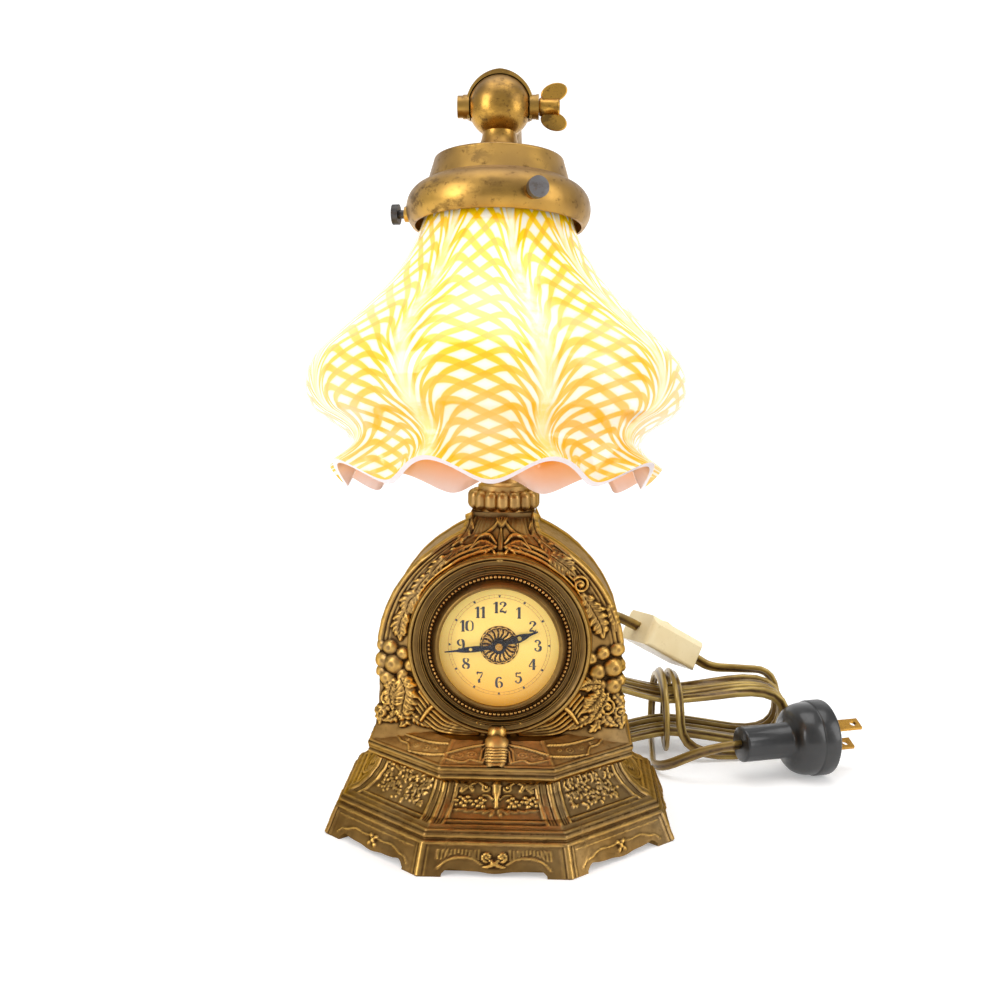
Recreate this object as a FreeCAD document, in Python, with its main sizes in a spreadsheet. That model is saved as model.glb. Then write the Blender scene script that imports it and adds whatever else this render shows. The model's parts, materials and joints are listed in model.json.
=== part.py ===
# Desk clock lamp: a cast octagonal base and arched case with a small clock, a
# curved arm behind, and a hinged head that holds a ruffled glass shade.
# Millimetres. X points right, Y back and Z up. The origin is the centre of the
# base on the table, and the dial faces -Y.
import FreeCAD, Part
import Sketcher
import math
import os

document = FreeCAD.newDocument("desk_clock_lamp")
sheet = document.addObject("Spreadsheet::Sheet", "sizes")

SIZES = {
    # Base casting: an octagon, given by its apothems and heights.
    "plinth_foot_apothem": 73.3,
    "plinth_top_apothem": 66.8,
    "plinth_height": 15.4,
    "plinth_flare_height": 12.5,
    "panel_foot_apothem": 64.4,
    "panel_foot_height": 17.0,
    "panel_neck_apothem": 50.3,
    "panel_neck_height": 31.0,
    "cornice_apothem": 55.3,
    "cornice_low_apothem": 53.8,
    "cornice_low_height": 33.5,
    "cornice_height": 38.5,
    "terrace_apothem": 44.0,
    "terrace_height": 46.0,
    "moulding_step": 0.6,
    "base_wall": 3.0,
    "base_rim_apothem": 60.0,
    "foot_length": 9.5,
    "scallop_height": 3.6,
    "scallop_depth": 6.5,
    "plate_apothem": 63.0,
    "plate_thickness": 1.2,
    "plate_recess": 0.8,
    "plate_gap": 0.3,
    "plate_screw_place": 52.0,
    "plate_screw_radius": 1.9,
    "plate_screw_head_radius": 3.4,
    "plate_screw_head_height": 0.7,
    "plate_screw_length": 9.0,
    "plate_boss_radius": 5.0,
    "wire_hole_radius": 14.0,
    # Case casting: an arch in front view, bowed in plan and leaning back above.
    "case_foot_half_width": 55.0,
    "case_foot_height": 38.5,
    "case_waist_half_width": 50.8,
    "case_waist_height": 60.0,
    "case_side_half_width": 50.2,
    "case_side_height": 84.0,
    "case_crown_radius": 57.0,
    "case_neck_half_width": 15.6,
    "case_neck_height": 128.3,
    "abacus_half_width": 13.3,
    "abacus_thickness": 2.2,
    "abacus_height": 135.5,
    "case_front": 37.0,
    "case_edge_front": 21.0,
    "case_back": 22.0,
    "case_neck_front": 15.5,
    "case_shoulder_height": 108.0,
    "case_side_radius": 70.0,
    "case_foot_radius": 60.0,
    "case_lean_radius": 26.0,
    "case_wall": 3.0,
    "ring_radius": 37.0,
    "ring_inner_radius": 31.8,
    "ring_stand": 1.6,
    "case_bore_radius": 28.6,
    "case_screw_half_spread": 34.0,
    "case_screw_spread": 18.0,
    "case_screw_radius": 1.9,
    "case_screw_head_radius": 3.6,
    "case_screw_head_height": 2.2,
    "case_screw_boss_radius": 5.0,
    "case_screw_boss_height": 8.0,
    "back_plate_thickness": 1.6,
    "back_plate_gap": 0.4,
    "back_plate_inset": 1.0,
    "back_hole_radius": 26.0,
    "back_screw_head_radius": 2.6,
    "back_screw_head_height": 1.4,
    "back_screw_radius": 1.4,
    "back_screw_length": 7.0,
    "back_boss_radius": 5.0,
    "back_boss_length": 9.0,
    "back_screw_low_half": 44.8,
    "back_screw_low_height": 53.0,
    "back_screw_high_half": 30.0,
    "back_screw_high_height": 110.5,
    # Clock: radii from the dial's centre, depths forward of the dial's face.
    "dial_centre_height": 84.2,
    "dial_plane": 37.0,
    "dial_radius": 25.6,
    "dial_thickness": 0.5,
    "dial_hole_radius": 2.5,
    "medallion_radius": 8.0,
    "medallion_thickness": 0.3,
    "bezel_radius": 31.2,
    "bezel_opening_radius": 24.4,
    "bezel_flange_thickness": 1.2,
    "bezel_bead_radius": 28.6,
    "bezel_bead_size": 1.0,
    "bezel_front": 5.4,
    "bezel_band": 1.6,
    "bezel_skirt_radius": 27.9,
    "bezel_skirt_wall": 0.7,
    "bezel_skirt_depth": 3.0,
    "crystal_radius": 25.9,
    "crystal_seat": 3.6,
    "crystal_rise": 1.3,
    "crystal_thickness": 0.8,
    "drum_radius": 28.2,
    "drum_wall": 0.7,
    "drum_depth": 40.0,
    "clock_gap": 0.05,
    "plate_radius": 25.8,
    "front_plate_depth": 7.0,
    "movement_plate_thickness": 1.4,
    "pillar_length": 26.0,
    "pillar_radius": 1.6,
    "pillar_place": 22.6,
    "centre_arbor_radius": 1.1,
    "cannon_radius": 1.7,
    "hour_pipe_radius": 2.15,
    "hour_pipe_front": 1.6,
    "cannon_front": 2.9,
    "hand_thickness": 0.35,
    "hand_nut_radius": 1.5,
    "hand_nut_thickness": 0.7,
    "minute_hand_length": 22.3,
    "hour_hand_length": 16.9,
    "minute_hand_bearing": 263.5,
    "hour_hand_bearing": 69.0,
    "hand_boss_radius": 3.0,
    "cannon_teeth": 12,
    "minute_wheel_teeth": 36,
    "minute_pinion_teeth": 10,
    "hour_wheel_teeth": 40,
    "motion_centre_distance": 12.0,
    "hour_wheel_depth": 2.6,
    "minute_wheel_depth": 4.6,
    "wheel_thickness": 0.9,
    "minute_stud_radius": 0.7,
    "centre_pinion_teeth": 8,
    "great_wheel_teeth": 48,
    "great_wheel_distance": 13.4,
    "great_wheel_depth": 11.0,
    "great_wheel_thickness": 1.4,
    "great_wheel_bore": 1.9,
    "winding_arbor_radius": 1.8,
    "ratchet_radius": 5.2,
    "ratchet_teeth": 12,
    "mainspring_radius": 10.4,
    "mainspring_core_radius": 3.2,
    "mainspring_width": 8.0,
    "balance_radius": 6.4,
    "balance_thickness": 1.0,
    "balance_distance": 14.0,
    "balance_staff_radius": 0.5,
    "regulator_length": 9.0,
    "regulator_width": 2.0,
    "set_knob_radius": 4.2,
    "set_knob_length": 4.5,
    "set_knob_stem": 10.0,
    "winding_key_half_width": 8.0,
    "winding_key_height": 9.0,
    "winding_key_thickness": 1.5,
    "winding_key_stem": 8.0,
    "winding_key_hub_radius": 2.6,
    "arbor_hole_gap": 0.06,
    # Neck and arm: a gadrooned collar, a curved tube and the yoke of the hinge.
    "collar_radius": 12.6,
    "collar_height": 10.4,
    "gadroon_count": 16,
    "gadroon_half_height": 4.3,
    "gadroon_radius": 2.8,
    "collar_cap_radius": 11.0,
    "ferrule_radius": 9.0,
    "ferrule_height": 5.0,
    "arm_radius": 7.0,
    "arm_bore_radius": 5.2,
    "arm_low_end": 119.0,
    "arm_bend_radius": 42.0,
    "arm_nut_half_width": 9.6,
    "arm_nut_thickness": 4.0,
    "arm_gap": 0.05,
    "pivot_forward": 67.0,
    "pivot_height": 293.0,
    "yoke_arch_radius": 13.64,
    "yoke_arch_offset": 1.04,
    "yoke_gap": 0.4,
    "yoke_front_reach": 3.0,
    "yoke_low_edge": 4.5,
    "yoke_collar_radius": 8.5,
    "yoke_collar_back": 42.0,
    "arm_tip": 52.0,
    # Hinge through the ball.
    "ball_radius": 11.5,
    "ball_neck_radius": 6.2,
    "ball_foot_radius": 10.4,
    "ball_foot_thickness": 1.4,
    "bolt_radius": 2.0,
    "bolt_head_radius": 4.05,
    "bolt_head_thickness": 2.0,
    "ear_radius": 4.4,
    "ear_face": 13.4,
    "washer_radius": 4.6,
    "washer_thickness": 0.9,
    "wing_hub_radius": 3.3,
    "wing_hub_length": 7.0,
    "wing_half_height": 8.75,
    "wing_width": 8.0,
    "wing_thickness": 1.8,
    "wing_lean": 3.0,
    "nut_gap": 0.1,
    "hinge_gap": 0.06,
    "head_lean": 8.9,
    # Shade holder: a spun cup below the ball, measured down the head's axis.
    "holder_top": 19.6,
    "holder_top_radius": 23.8,
    "holder_band_low": 28.4,
    "holder_band_radius": 26.0,
    "holder_step_radius": 27.2,
    "holder_bulge": 36.5,
    "holder_bulge_radius": 33.5,
    "holder_rim": 44.4,
    "holder_rim_radius": 31.4,
    "holder_wall": 1.0,
    "holder_hole_radius": 5.2,
    "holder_shoulder_curve": 8.5,
    "holder_rim_curve": 9.5,
    "holder_boss_radius": 2.9,
    "holder_boss_reach": 34.9,
    "screw_count": 3,
    "screw_bearing": 22.7,
    "screw_level": 38.6,
    "screw_radius": 1.6,
    "screw_tip": 27.0,
    "screw_neck_end": 37.2,
    "screw_head_radius": 3.75,
    "screw_head_thickness": 2.4,
    "screw_gap": 0.06,
    # Glass shade: radii and distances down the head's axis.
    "shade_top": 33.6,
    "shade_lip_radius": 28.4,
    "shade_neck_radius": 26.2,
    "shade_neck": 38.6,
    "shade_widest_radius": 68.8,
    "shade_widest": 103.5,
    "shade_waist_radius": 52.8,
    "shade_waist": 124.0,
    "shade_rim_radius": 58.6,
    "shade_rim": 135.0,
    "shade_wall": 2.2,
    "shade_ruffle_rise": 3.7,
    "shade_ruffle_reach": 3.8,
    "shade_ruffle_bearing": 21.0,
    "shade_ruffle_count": 9,
    # Lampholder and bulb.
    "nipple_radius": 5.0,
    "nipple_length": 6.0,
    "socket_cap_radius": 17.4,
    "socket_cap_top": 21.0,
    "socket_cap_low": 31.0,
    "socket_shell_radius": 16.8,
    "socket_wall": 0.5,
    "socket_low": 56.0,
    "liner_wall": 0.8,
    "socket_fit_gap": 0.1,
    "socket_core_radius": 15.0,
    "socket_core_low": 43.0,
    "bulb_cap_radius": 13.1,
    "bulb_cap_top": 43.4,
    "bulb_cap_low": 64.0,
    "bulb_contact_radius": 4.2,
    "bulb_neck_radius": 12.6,
    "bulb_radius": 23.0,
    "bulb_centre": 94.0,
    "bulb_wall": 0.8,
    # Cord, switch and plug.
    "cord_diameter": 5.2,
    "cord_sides": 8,
    "bushing_across": 37.0,
    "bushing_height": 84.0,
    "bushing_radius": 4.6,
    "bushing_flange_radius": 6.2,
    "bushing_flange_thickness": 1.6,
    "bushing_stand": 3.4,
    "switch_length": 38.0,
    "switch_width": 21.0,
    "switch_height": 15.0,
    "switch_corner": 3.0,
    "switch_across": 77.2,
    "switch_back": 94.7,
    "switch_up": 56.4,
    "switch_yaw": 37.0,
    "switch_dip": 28.7,
    "rocker_radius": 5.5,
    "rocker_width": 6.0,
    "rocker_rise": 1.6,
    "rocker_pivot_depth": 2.0,
    "rocker_gap": 0.4,
    "plug_sleeve_radius": 8.4,
    "plug_sleeve_length": 24.0,
    "plug_dome_length": 12.5,
    "plug_rim_radius": 18.0,
    "plug_rim_length": 8.0,
    "plug_face_radius": 16.4,
    "plug_across": 111.0,
    "plug_back": 46.0,
    "plug_yaw": 20.0,
    "plug_roll": 27.0,
    "blade_length": 17.5,
    "blade_width": 6.35,
    "blade_thickness": 1.5,
    "blade_spacing": 12.7,
    "blade_hole_radius": 1.6,
    "blade_hole_inset": 3.6,
    "blade_root": 6.0,
    # Hank: loops that stand on edge, drawn in by turns round the waist.
    "hank_across": 96.0,
    "hank_back": 112.0,
    "hank_up": 20.3,
    "hank_loops": 6,
    "hank_right_length": 42.0,
    "hank_left_length": 54.0,
    "hank_half_height": 17.0,
    "hank_start_along": 20.0,
    "hank_start_rise": 17.7,
    "hank_waist_start": 10.0,
    "hank_waist_end": 22.0,
    "hank_waist_half_height": 8.4,
    "hank_pitch": 5.9,
    "hank_wraps": 2,
    "hank_wrap_half_height": 17.6,
    "hank_wrap_clear": 10.6,
    "hank_wrap_step": 1.7,
    "overrun": 1.0,
}


class Size(float):
    """A length that also carries the expression which binds it to the sheet."""

    def __new__(cls, value, text):
        number = super().__new__(cls, value)
        number.text = text
        return number

    def __add__(self, other):
        return Size(float(self) + float(other), f"({self.text} + {text_of(other)})")

    __radd__ = __add__

    def __sub__(self, other):
        return Size(float(self) - float(other), f"({self.text} - {text_of(other)})")

    def __rsub__(self, other):
        return Size(float(other) - float(self), f"({text_of(other)} - {self.text})")

    def __mul__(self, other):
        return Size(float(self) * float(other), f"({self.text} * {text_of(other)})")

    __rmul__ = __mul__

    def __truediv__(self, other):
        return Size(float(self) / float(other), f"({self.text} / {text_of(other)})")

    def __neg__(self):
        return Size(-float(self), f"(0 - {self.text})")


def text_of(length):
    return length.text if isinstance(length, Size) else repr(float(length))


class Sizes:
    """The driving sizes by name, as lengths that a shape can be bound to."""


L = Sizes()
for row, (alias, value) in enumerate(SIZES.items(), start=1):
    sheet.set(f"A{row}", alias.replace("_", " "))
    sheet.set(f"B{row}", str(value))
    sheet.setAlias(f"B{row}", alias)
    setattr(L, alias, Size(value, "sizes." + alias))
document.recompute()

X_AXIS = FreeCAD.Vector(1, 0, 0)
Y_AXIS = FreeCAD.Vector(0, 1, 0)
Z_AXIS = FreeCAD.Vector(0, 0, 1)
UPRIGHT = FreeCAD.Rotation()
# Turns a shape's own Z towards the viewer (-Y), to the back (+Y) or to the right (+X).
FACING = FreeCAD.Rotation(X_AXIS, 90)
BACKWARD = FreeCAD.Rotation(X_AXIS, -90)
SIDEWAYS = FreeCAD.Rotation(Y_AXIS, 90)
parts = []


def bind(item, name, length):
    """Sets a property to a length and keeps it bound to the sheet."""
    setattr(item, name, float(length))
    if isinstance(length, Size):
        item.setExpression(name, length.text)


def place(item, x=0, y=0, z=0, turn=UPRIGHT):
    item.Placement = FreeCAD.Placement(FreeCAD.Vector(float(x), float(y), float(z)), turn)
    for axis, length in zip("xyz", (x, y, z)):
        if isinstance(length, Size):
            item.setExpression(".Placement.Base." + axis, length.text)
    return item


def add(kind, name, **lengths):
    item = document.addObject(kind, name)
    for key, length in lengths.items():
        bind(item, key, length)
    return item


def cylinder(name, radius, height, x=0, y=0, z=0, turn=UPRIGHT):
    return place(add("Part::Cylinder", name, Radius=radius, Height=height), x, y, z, turn)


def block(name, length, width, height, x=0, y=0, z=0, turn=UPRIGHT):
    item = add("Part::Box", name, Length=length, Width=width, Height=height)
    return place(item, x, y, z, turn)


def cut(name, base, tool):
    item = document.addObject("Part::Cut", name)
    item.Base, item.Tool = base, tool
    return item


def fuse(name, *pieces):
    item = document.addObject("Part::MultiFuse", name)
    item.Shapes = list(pieces)
    return item


def common(name, *pieces):
    item = document.addObject("Part::MultiCommon", name)
    item.Shapes = list(pieces)
    return item


def group(name, *pieces):
    """Equal solids that share one node."""
    item = document.addObject("Part::Compound", name)
    item.Links = list(pieces)
    return item


def keep(item, label):
    """Marks an object as a finished sub-part under its node's name."""
    item.Label = label
    parts.append(item)
    return item


def origin_item(body, role):
    return [item for item in body.Origin.OriginFeatures if item.Role == role][0]


def sketch_on(body, role, corners, name="profile"):
    """A closed outline of lines and arcs, every corner and radius bound to the sheet.

    A corner is (x, y), or (x, y, radius) where an arc arrives at it: a positive
    radius bends to the left on the way round, a negative one to the right.
    """
    sketch = body.newObject("Sketcher::SketchObject", body.Name + "_" + name)
    sketch.AttachmentSupport = [(origin_item(body, role), "")]
    sketch.MapMode = "FlatFace"
    ends = []
    for index, corner in enumerate(corners):
        start = corners[index - 1]
        first = FreeCAD.Vector(float(start[0]), float(start[1]), 0)
        last = FreeCAD.Vector(float(corner[0]), float(corner[1]), 0)
        if len(corner) == 2:
            sketch.addGeometry(Part.LineSegment(first, last), False)
            ends.append((1, 2))
            continue
        radius = abs(float(corner[2]))
        chord = last - first
        reach = math.sqrt(max(radius ** 2 - chord.Length ** 2 / 4, 0))
        left = FreeCAD.Vector(-chord.y, chord.x, 0).normalize()
        bends_left = float(corner[2]) > 0
        centre = (first + last) / 2 + left * (reach if bends_left else -reach)
        a, b = (first, last) if bends_left else (last, first)
        start_angle = math.atan2(a.y - centre.y, a.x - centre.x)
        end_angle = math.atan2(b.y - centre.y, b.x - centre.x)
        if end_angle <= start_angle:
            end_angle += 2 * math.pi
        circle = Part.Circle(centre, Z_AXIS, radius)
        sketch.addGeometry(Part.ArcOfCircle(circle, start_angle, end_angle), False)
        ends.append((1, 2) if bends_left else (2, 1))
    for index, corner in enumerate(corners):
        following = (index + 1) % len(corners)
        sketch.addConstraint(
            Sketcher.Constraint("Coincident", index, ends[index][1], following, ends[following][0])
        )
        for kind, length in (("DistanceX", corner[0]), ("DistanceY", corner[1])):
            number = sketch.addConstraint(
                Sketcher.Constraint(kind, -1, 1, index, ends[index][1], float(length))
            )
            if isinstance(length, Size):
                sketch.setExpression(f"Constraints[{number}]", length.text)
        if len(corner) == 3:
            radius = corner[2] if float(corner[2]) > 0 else -corner[2]
            number = sketch.addConstraint(Sketcher.Constraint("Radius", index, float(radius)))
            if isinstance(radius, Size):
                sketch.setExpression(f"Constraints[{number}]", radius.text)
    return sketch


def new_body(name):
    return document.addObject("PartDesign::Body", name)


def revolved(name, corners, x=0, y=0, z=0, turn=UPRIGHT):
    """A body turned about its own Z from (radius, height) corners."""
    body = new_body(name)
    sketch = sketch_on(body, "XZ_Plane", corners)
    turned = body.newObject("PartDesign::Revolution", name + "_turned")
    turned.Profile = sketch
    turned.ReferenceAxis = (sketch, ["V_Axis"])
    turned.Angle = 360
    sketch.Visibility = False
    return place(body, x, y, z, turn)


def padded(name, corners, length, x=0, y=0, z=0, turn=UPRIGHT):
    """A body raised along its own Z from an outline in its XY plane."""
    body = new_body(name)
    pad = body.newObject("PartDesign::Pad", name + "_pad")
    pad.Profile = sketch_on(body, "XY_Plane", corners)
    bind(pad, "Length", length)
    return place(body, x, y, z, turn)


# Base casting, with its scalloped foot, and the plate that closes it below.
SIDES = 8
HALF_SIDE_ANGLE = math.pi / SIDES
FLAT_SHARE = math.cos(HALF_SIDE_ANGLE)
SIDE_SHARE = math.tan(HALF_SIDE_ANGLE)
FLATS_AHEAD = FreeCAD.Rotation(Z_AXIS, math.degrees(HALF_SIDE_ANGLE))
# The hollow panel between plinth and cornice: shares of its fall in apothem and rise.
HOLLOW_SHARES = ((0.32, 0.13), (0.63, 0.40), (0.87, 0.71))


def octagon_stack(name, sections):
    """A solid through octagons given as (apothem, height), flat between each two."""
    rings = []
    for number, (apothem, height) in enumerate(sections):
        ring = document.addObject("Part::RegularPolygon", f"{name}_ring_{number}")
        ring.Polygon = SIDES
        bind(ring, "Circumradius", apothem / FLAT_SHARE)
        rings.append(place(ring, 0, 0, height, FLATS_AHEAD))
    stack = document.addObject("Part::Loft", name)
    stack.Sections = rings
    stack.Solid = True
    stack.Ruled = True
    return stack


def around(radius, bearing, turn=UPRIGHT):
    """Where a point at a bearing from the front lies, and the turn that faces it."""
    angle = math.radians(bearing)
    spun = FreeCAD.Rotation(Z_AXIS, bearing).multiply(turn)
    return radius * math.sin(angle), -(radius * math.cos(angle)), spun


panel_fall = L.panel_foot_apothem - L.panel_neck_apothem
panel_rise = L.panel_neck_height - L.panel_foot_height
base_sections = [
    (L.plinth_foot_apothem, 0),
    (L.plinth_top_apothem + L.base_wall / 2, L.plinth_flare_height),
    (L.plinth_top_apothem, L.plinth_flare_height + L.moulding_step),
    (L.plinth_top_apothem, L.plinth_height),
    (L.panel_foot_apothem, L.panel_foot_height),
]
for fall, rise in HOLLOW_SHARES:
    base_sections.append(
        (L.panel_foot_apothem - panel_fall * fall, L.panel_foot_height + panel_rise * rise)
    )
base_sections += [
    (L.panel_neck_apothem, L.panel_neck_height),
    (L.cornice_low_apothem, L.cornice_low_height),
    (L.cornice_apothem, L.cornice_low_height + L.moulding_step),
    (L.cornice_apothem, L.cornice_height),
    (L.terrace_apothem, L.terrace_height),
]
base_outside = octagon_stack("base_outside", base_sections)
base_hollow = octagon_stack("base_hollow", [
    (L.base_rim_apothem, -L.overrun),
    (L.base_rim_apothem, L.plinth_flare_height),
    (L.panel_neck_apothem - L.base_wall, L.panel_neck_height - L.base_wall),
    (L.panel_neck_apothem - L.base_wall, L.cornice_height - L.base_wall),
    (L.terrace_apothem - L.base_wall, L.terrace_height - L.base_wall),
])
plate_recess = octagon_stack("plate_recess", [
    (L.plate_apothem + L.plate_gap, -L.overrun),
    (L.plate_apothem + L.plate_gap, L.plate_recess + L.plate_thickness),
])
half_scallop = L.plinth_foot_apothem * SIDE_SHARE - L.foot_length
scallops = []
for side in range(SIDES):
    bearing = side * 360 / SIDES
    x, y, turn = around(L.plinth_foot_apothem - L.scallop_depth, bearing, FACING)
    scallops.append(padded(f"scallop_{side}", [
        (-half_scallop, -L.overrun),
        (half_scallop, -L.overrun),
        (half_scallop, 0),
        (half_scallop - L.scallop_height, L.scallop_height, L.scallop_height),
        (L.scallop_height - half_scallop, L.scallop_height),
        (-half_scallop, 0, L.scallop_height),
    ], L.scallop_depth + L.overrun, x, y, 0, turn))

plate_top = L.plate_recess + L.plate_thickness
plate_bosses, plate_holes, plate_screws = [], [], []
for number in range(4):
    x, y, turn = around(L.plate_screw_place, 45 + 90 * number)
    plate_bosses.append(cylinder(
        f"plate_boss_{number}", L.plate_boss_radius, L.plinth_height, x, y, plate_top))
    plate_holes.append(cylinder(
        f"plate_hole_{number}", L.plate_screw_radius, L.plate_screw_length, x, y, 0))
    shank = cylinder(
        f"plate_shank_{number}", L.plate_screw_radius, L.plate_screw_length, x, y, 0)
    head = cylinder(f"plate_head_{number}", L.plate_screw_head_radius,
                    L.plate_screw_head_height, x, y, L.plate_recess - L.plate_screw_head_height)
    place(shank, x, y, L.plate_recess - L.plate_screw_head_height / 2)
    place(plate_holes[-1], x, y, L.plate_recess - L.plate_screw_head_height / 2)
    plate_screws.append(fuse(f"plate_screw_{number}", shank, head))

case_screws, case_screw_holes = [], []
head_base = L.terrace_height - L.base_wall - L.case_screw_head_height
screw_reach = L.case_screw_head_height + L.base_wall + L.case_wall
for number, (side, end) in enumerate(((-1, -1), (1, -1), (1, 1), (-1, 1))):
    x, y = L.case_screw_half_spread * side, L.case_screw_spread * end
    shank = cylinder(f"case_shank_{number}", L.case_screw_radius, screw_reach, x, y, head_base)
    head = cylinder(f"case_head_{number}", L.case_screw_head_radius, L.case_screw_head_height,
                    x, y, head_base)
    case_screws.append(fuse(f"case_screw_{number}", shank, head))
    case_screw_holes.append(cylinder(
        f"case_screw_hole_{number}", L.case_screw_radius, screw_reach, x, y, head_base))
wire_hole = cylinder("wire_hole", L.wire_hole_radius, L.terrace_height, 0, 0,
                     L.cornice_height - L.overrun)

base_shell = cut("base_shell", base_outside, base_hollow)
base_bossed = fuse("base_bossed", base_shell, *plate_bosses)
base_cuts = fuse("base_cuts", plate_recess, wire_hole, *scallops, *plate_holes,
                 *case_screw_holes)
keep(cut("base", base_bossed, base_cuts), "base_casting")
plate_blank = octagon_stack("plate_blank", [
    (L.plate_apothem, L.plate_recess), (L.plate_apothem, plate_top)])
keep(cut("plate", plate_blank, group("plate_hole_set", *plate_holes)), "base_plate")
keep(group("plate_screw_set", *plate_screws), "base_plate_screws")
keep(group("case_screw_set", *case_screws), "case_screws")


# Case casting: the arch, its bowed front and its lean are crossed to give the form.
# Turns a side profile drawn as (Y, Z) so that it is raised along X.
PROFILE = FreeCAD.Rotation(FreeCAD.Vector(1, 1, 1), 120)


def case_arch(name, inset, foot, front, back):
    """The arch seen from the front, raised from the back plane to the front."""
    top = L.abacus_height - L.abacus_thickness - inset
    neck_top = L.abacus_half_width - inset
    half = [
        (L.case_foot_half_width - inset, foot),
        (L.case_waist_half_width - inset, L.case_waist_height, -L.case_foot_radius),
        (L.case_side_half_width - inset, L.case_side_height),
        (L.case_neck_half_width - inset, L.case_neck_height - inset, L.case_crown_radius - inset),
        (neck_top, top),
    ]
    mirrored = [(-half[-1][0], top)]
    for index in range(len(half) - 2, -1, -1):
        corner = (-half[index][0], half[index][1])
        if len(half[index + 1]) == 3:
            corner += (half[index + 1][2],)
        mirrored.append(corner)
    return padded(name, half + mirrored, front + back, 0, back, 0, FACING)


def case_bow(name, inset, foot):
    """The plan, flat behind and bowed in front, raised to the abacus."""
    half = L.case_foot_half_width + L.overrun
    sagitta = L.case_front - L.case_edge_front
    bow = (half * half + sagitta * sagitta) / (sagitta * 2)
    edge = L.case_edge_front - inset
    return padded(name, [
        (-half, L.case_back + L.overrun),
        (-half, -edge),
        (half, -edge, bow),
        (half, L.case_back + L.overrun),
    ], L.abacus_height - foot, 0, 0, foot)


def case_side(name, inset, foot):
    """The side profile: upright in front, leaning back over the shoulder to the neck."""
    half = L.case_foot_half_width + L.overrun
    back = L.case_back + L.overrun
    top = L.abacus_height - L.abacus_thickness - inset
    return padded(name, [
        (back, foot),
        (back, L.case_neck_height - inset),
        (L.abacus_half_width + inset, top),
        (inset - L.case_neck_front, top),
        (inset - L.case_front, L.case_shoulder_height, L.case_lean_radius - inset),
        (inset - L.case_front, foot),
    ], half * 2, -half, 0, 0, PROFILE)


def case_form(name, inset, foot, back):
    return common(
        name,
        case_arch(name + "_arch", inset, foot, L.case_front - inset, back),
        case_bow(name + "_bow", inset, foot),
        case_side(name + "_side", inset, foot),
    )


def facing_cylinder(name, radius, front, back, x=0, z=L.dial_centre_height):
    """A round bar along Y between two depths forward of the origin."""
    return cylinder(name, radius, front - back, x, -back, z, FACING)


case_outside = case_form("case_outside", 0, L.case_foot_height, L.case_back)
floor_height = L.terrace_height + L.case_wall
case_inside = case_form("case_inside", L.case_wall, floor_height, L.case_back + L.overrun)
ring_front = L.case_front + L.ring_stand
ring = facing_cylinder("ring", L.ring_radius, ring_front, L.case_edge_front)
sleeve = facing_cylinder("sleeve", L.case_bore_radius + L.case_wall / 2, L.case_front,
                         L.case_front - L.case_wall * 4)
case_bore = facing_cylinder("case_bore", L.case_bore_radius, ring_front + L.overrun, 0)
bezel_seat = facing_cylinder("bezel_seat", L.ring_inner_radius, ring_front + L.overrun,
                             L.dial_plane)
abacus = block("abacus", L.abacus_half_width * 2, L.abacus_half_width * 2, L.abacus_thickness,
               -L.abacus_half_width, -L.abacus_half_width,
               L.abacus_height - L.abacus_thickness)
nut_seat = L.abacus_height - L.abacus_thickness - L.case_wall
nut_low = nut_seat - L.arm_nut_thickness
neck_bore = cylinder("neck_bore", L.arm_radius + L.arm_gap, L.abacus_height, 0, 0,
                     nut_low - L.overrun)
back_face = -(L.case_back - L.back_plate_inset)
plate_inner = back_face + L.back_plate_thickness
back_bosses, back_holes, back_screws = [], [], []
for number, (side, across, height) in enumerate((
    (-1, L.back_screw_low_half, L.back_screw_low_height),
    (1, L.back_screw_low_half, L.back_screw_low_height),
    (1, L.back_screw_high_half, L.back_screw_high_height),
    (-1, L.back_screw_high_half, L.back_screw_high_height),
)):
    x = across * side
    back_bosses.append(facing_cylinder(
        f"back_boss_{number}", L.back_boss_radius, plate_inner + L.back_boss_length,
        plate_inner, x, height))
    back_holes.append(facing_cylinder(
        f"back_screw_hole_{number}", L.back_screw_radius, back_face + L.back_screw_length,
        back_face - L.overrun, x, height))
    shank = facing_cylinder(f"back_shank_{number}", L.back_screw_radius,
                            back_face + L.back_screw_length,
                            back_face - L.back_screw_head_height, x, height)
    head = facing_cylinder(f"back_head_{number}", L.back_screw_head_radius, back_face,
                           back_face - L.back_screw_head_height, x, height)
    back_screws.append(fuse(f"back_screw_{number}", shank, head))

case_ringed = fuse("case_ringed", case_outside, ring)
case_hollow = cut("case_hollow", case_ringed, case_inside)
case_bossed = fuse("case_bossed", case_hollow, sleeve, abacus, *back_bosses)
case_cuts = fuse("case_cuts", case_bore, bezel_seat, neck_bore)
case_bored = cut("case_bored", case_bossed, case_cuts)
case_drilled = cut("case_drilled", case_bored, group(
    "case_drills", wire_hole, *case_screw_holes, *back_holes))
keep(cut("case", case_drilled, base_outside), "case_shell")

plate_inset = L.case_wall + L.back_plate_gap
plate_foot = floor_height + L.back_plate_gap
back_blank = common(
    "back_blank",
    case_arch("back_outline", plate_inset, plate_foot, plate_inner, -back_face),
    case_side("back_slope", plate_inset, plate_foot))
back_opening = facing_cylinder("back_opening", L.back_hole_radius, plate_inner + L.overrun,
                               back_face - L.overrun)
bushing_hole = facing_cylinder("bushing_hole", L.bushing_radius, plate_inner + L.overrun,
                               back_face - L.overrun, L.bushing_across, L.bushing_height)
keep(cut("back", back_blank, group("back_cuts", back_opening, bushing_hole, *back_holes)),
     "case_back")
keep(group("back_screw_set", *back_screws), "case_back_screws")


# Clock. Each piece lies in a frame that faces the viewer: its Z is the depth
# forward of the dial's face, and its X and Y run right and up from the dial's centre.
def clock_place(item, depth=0, x=0, y=0, turn=UPRIGHT):
    return place(item, x, -L.dial_plane - depth, L.dial_centre_height + y,
                 FACING.multiply(turn))


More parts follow.
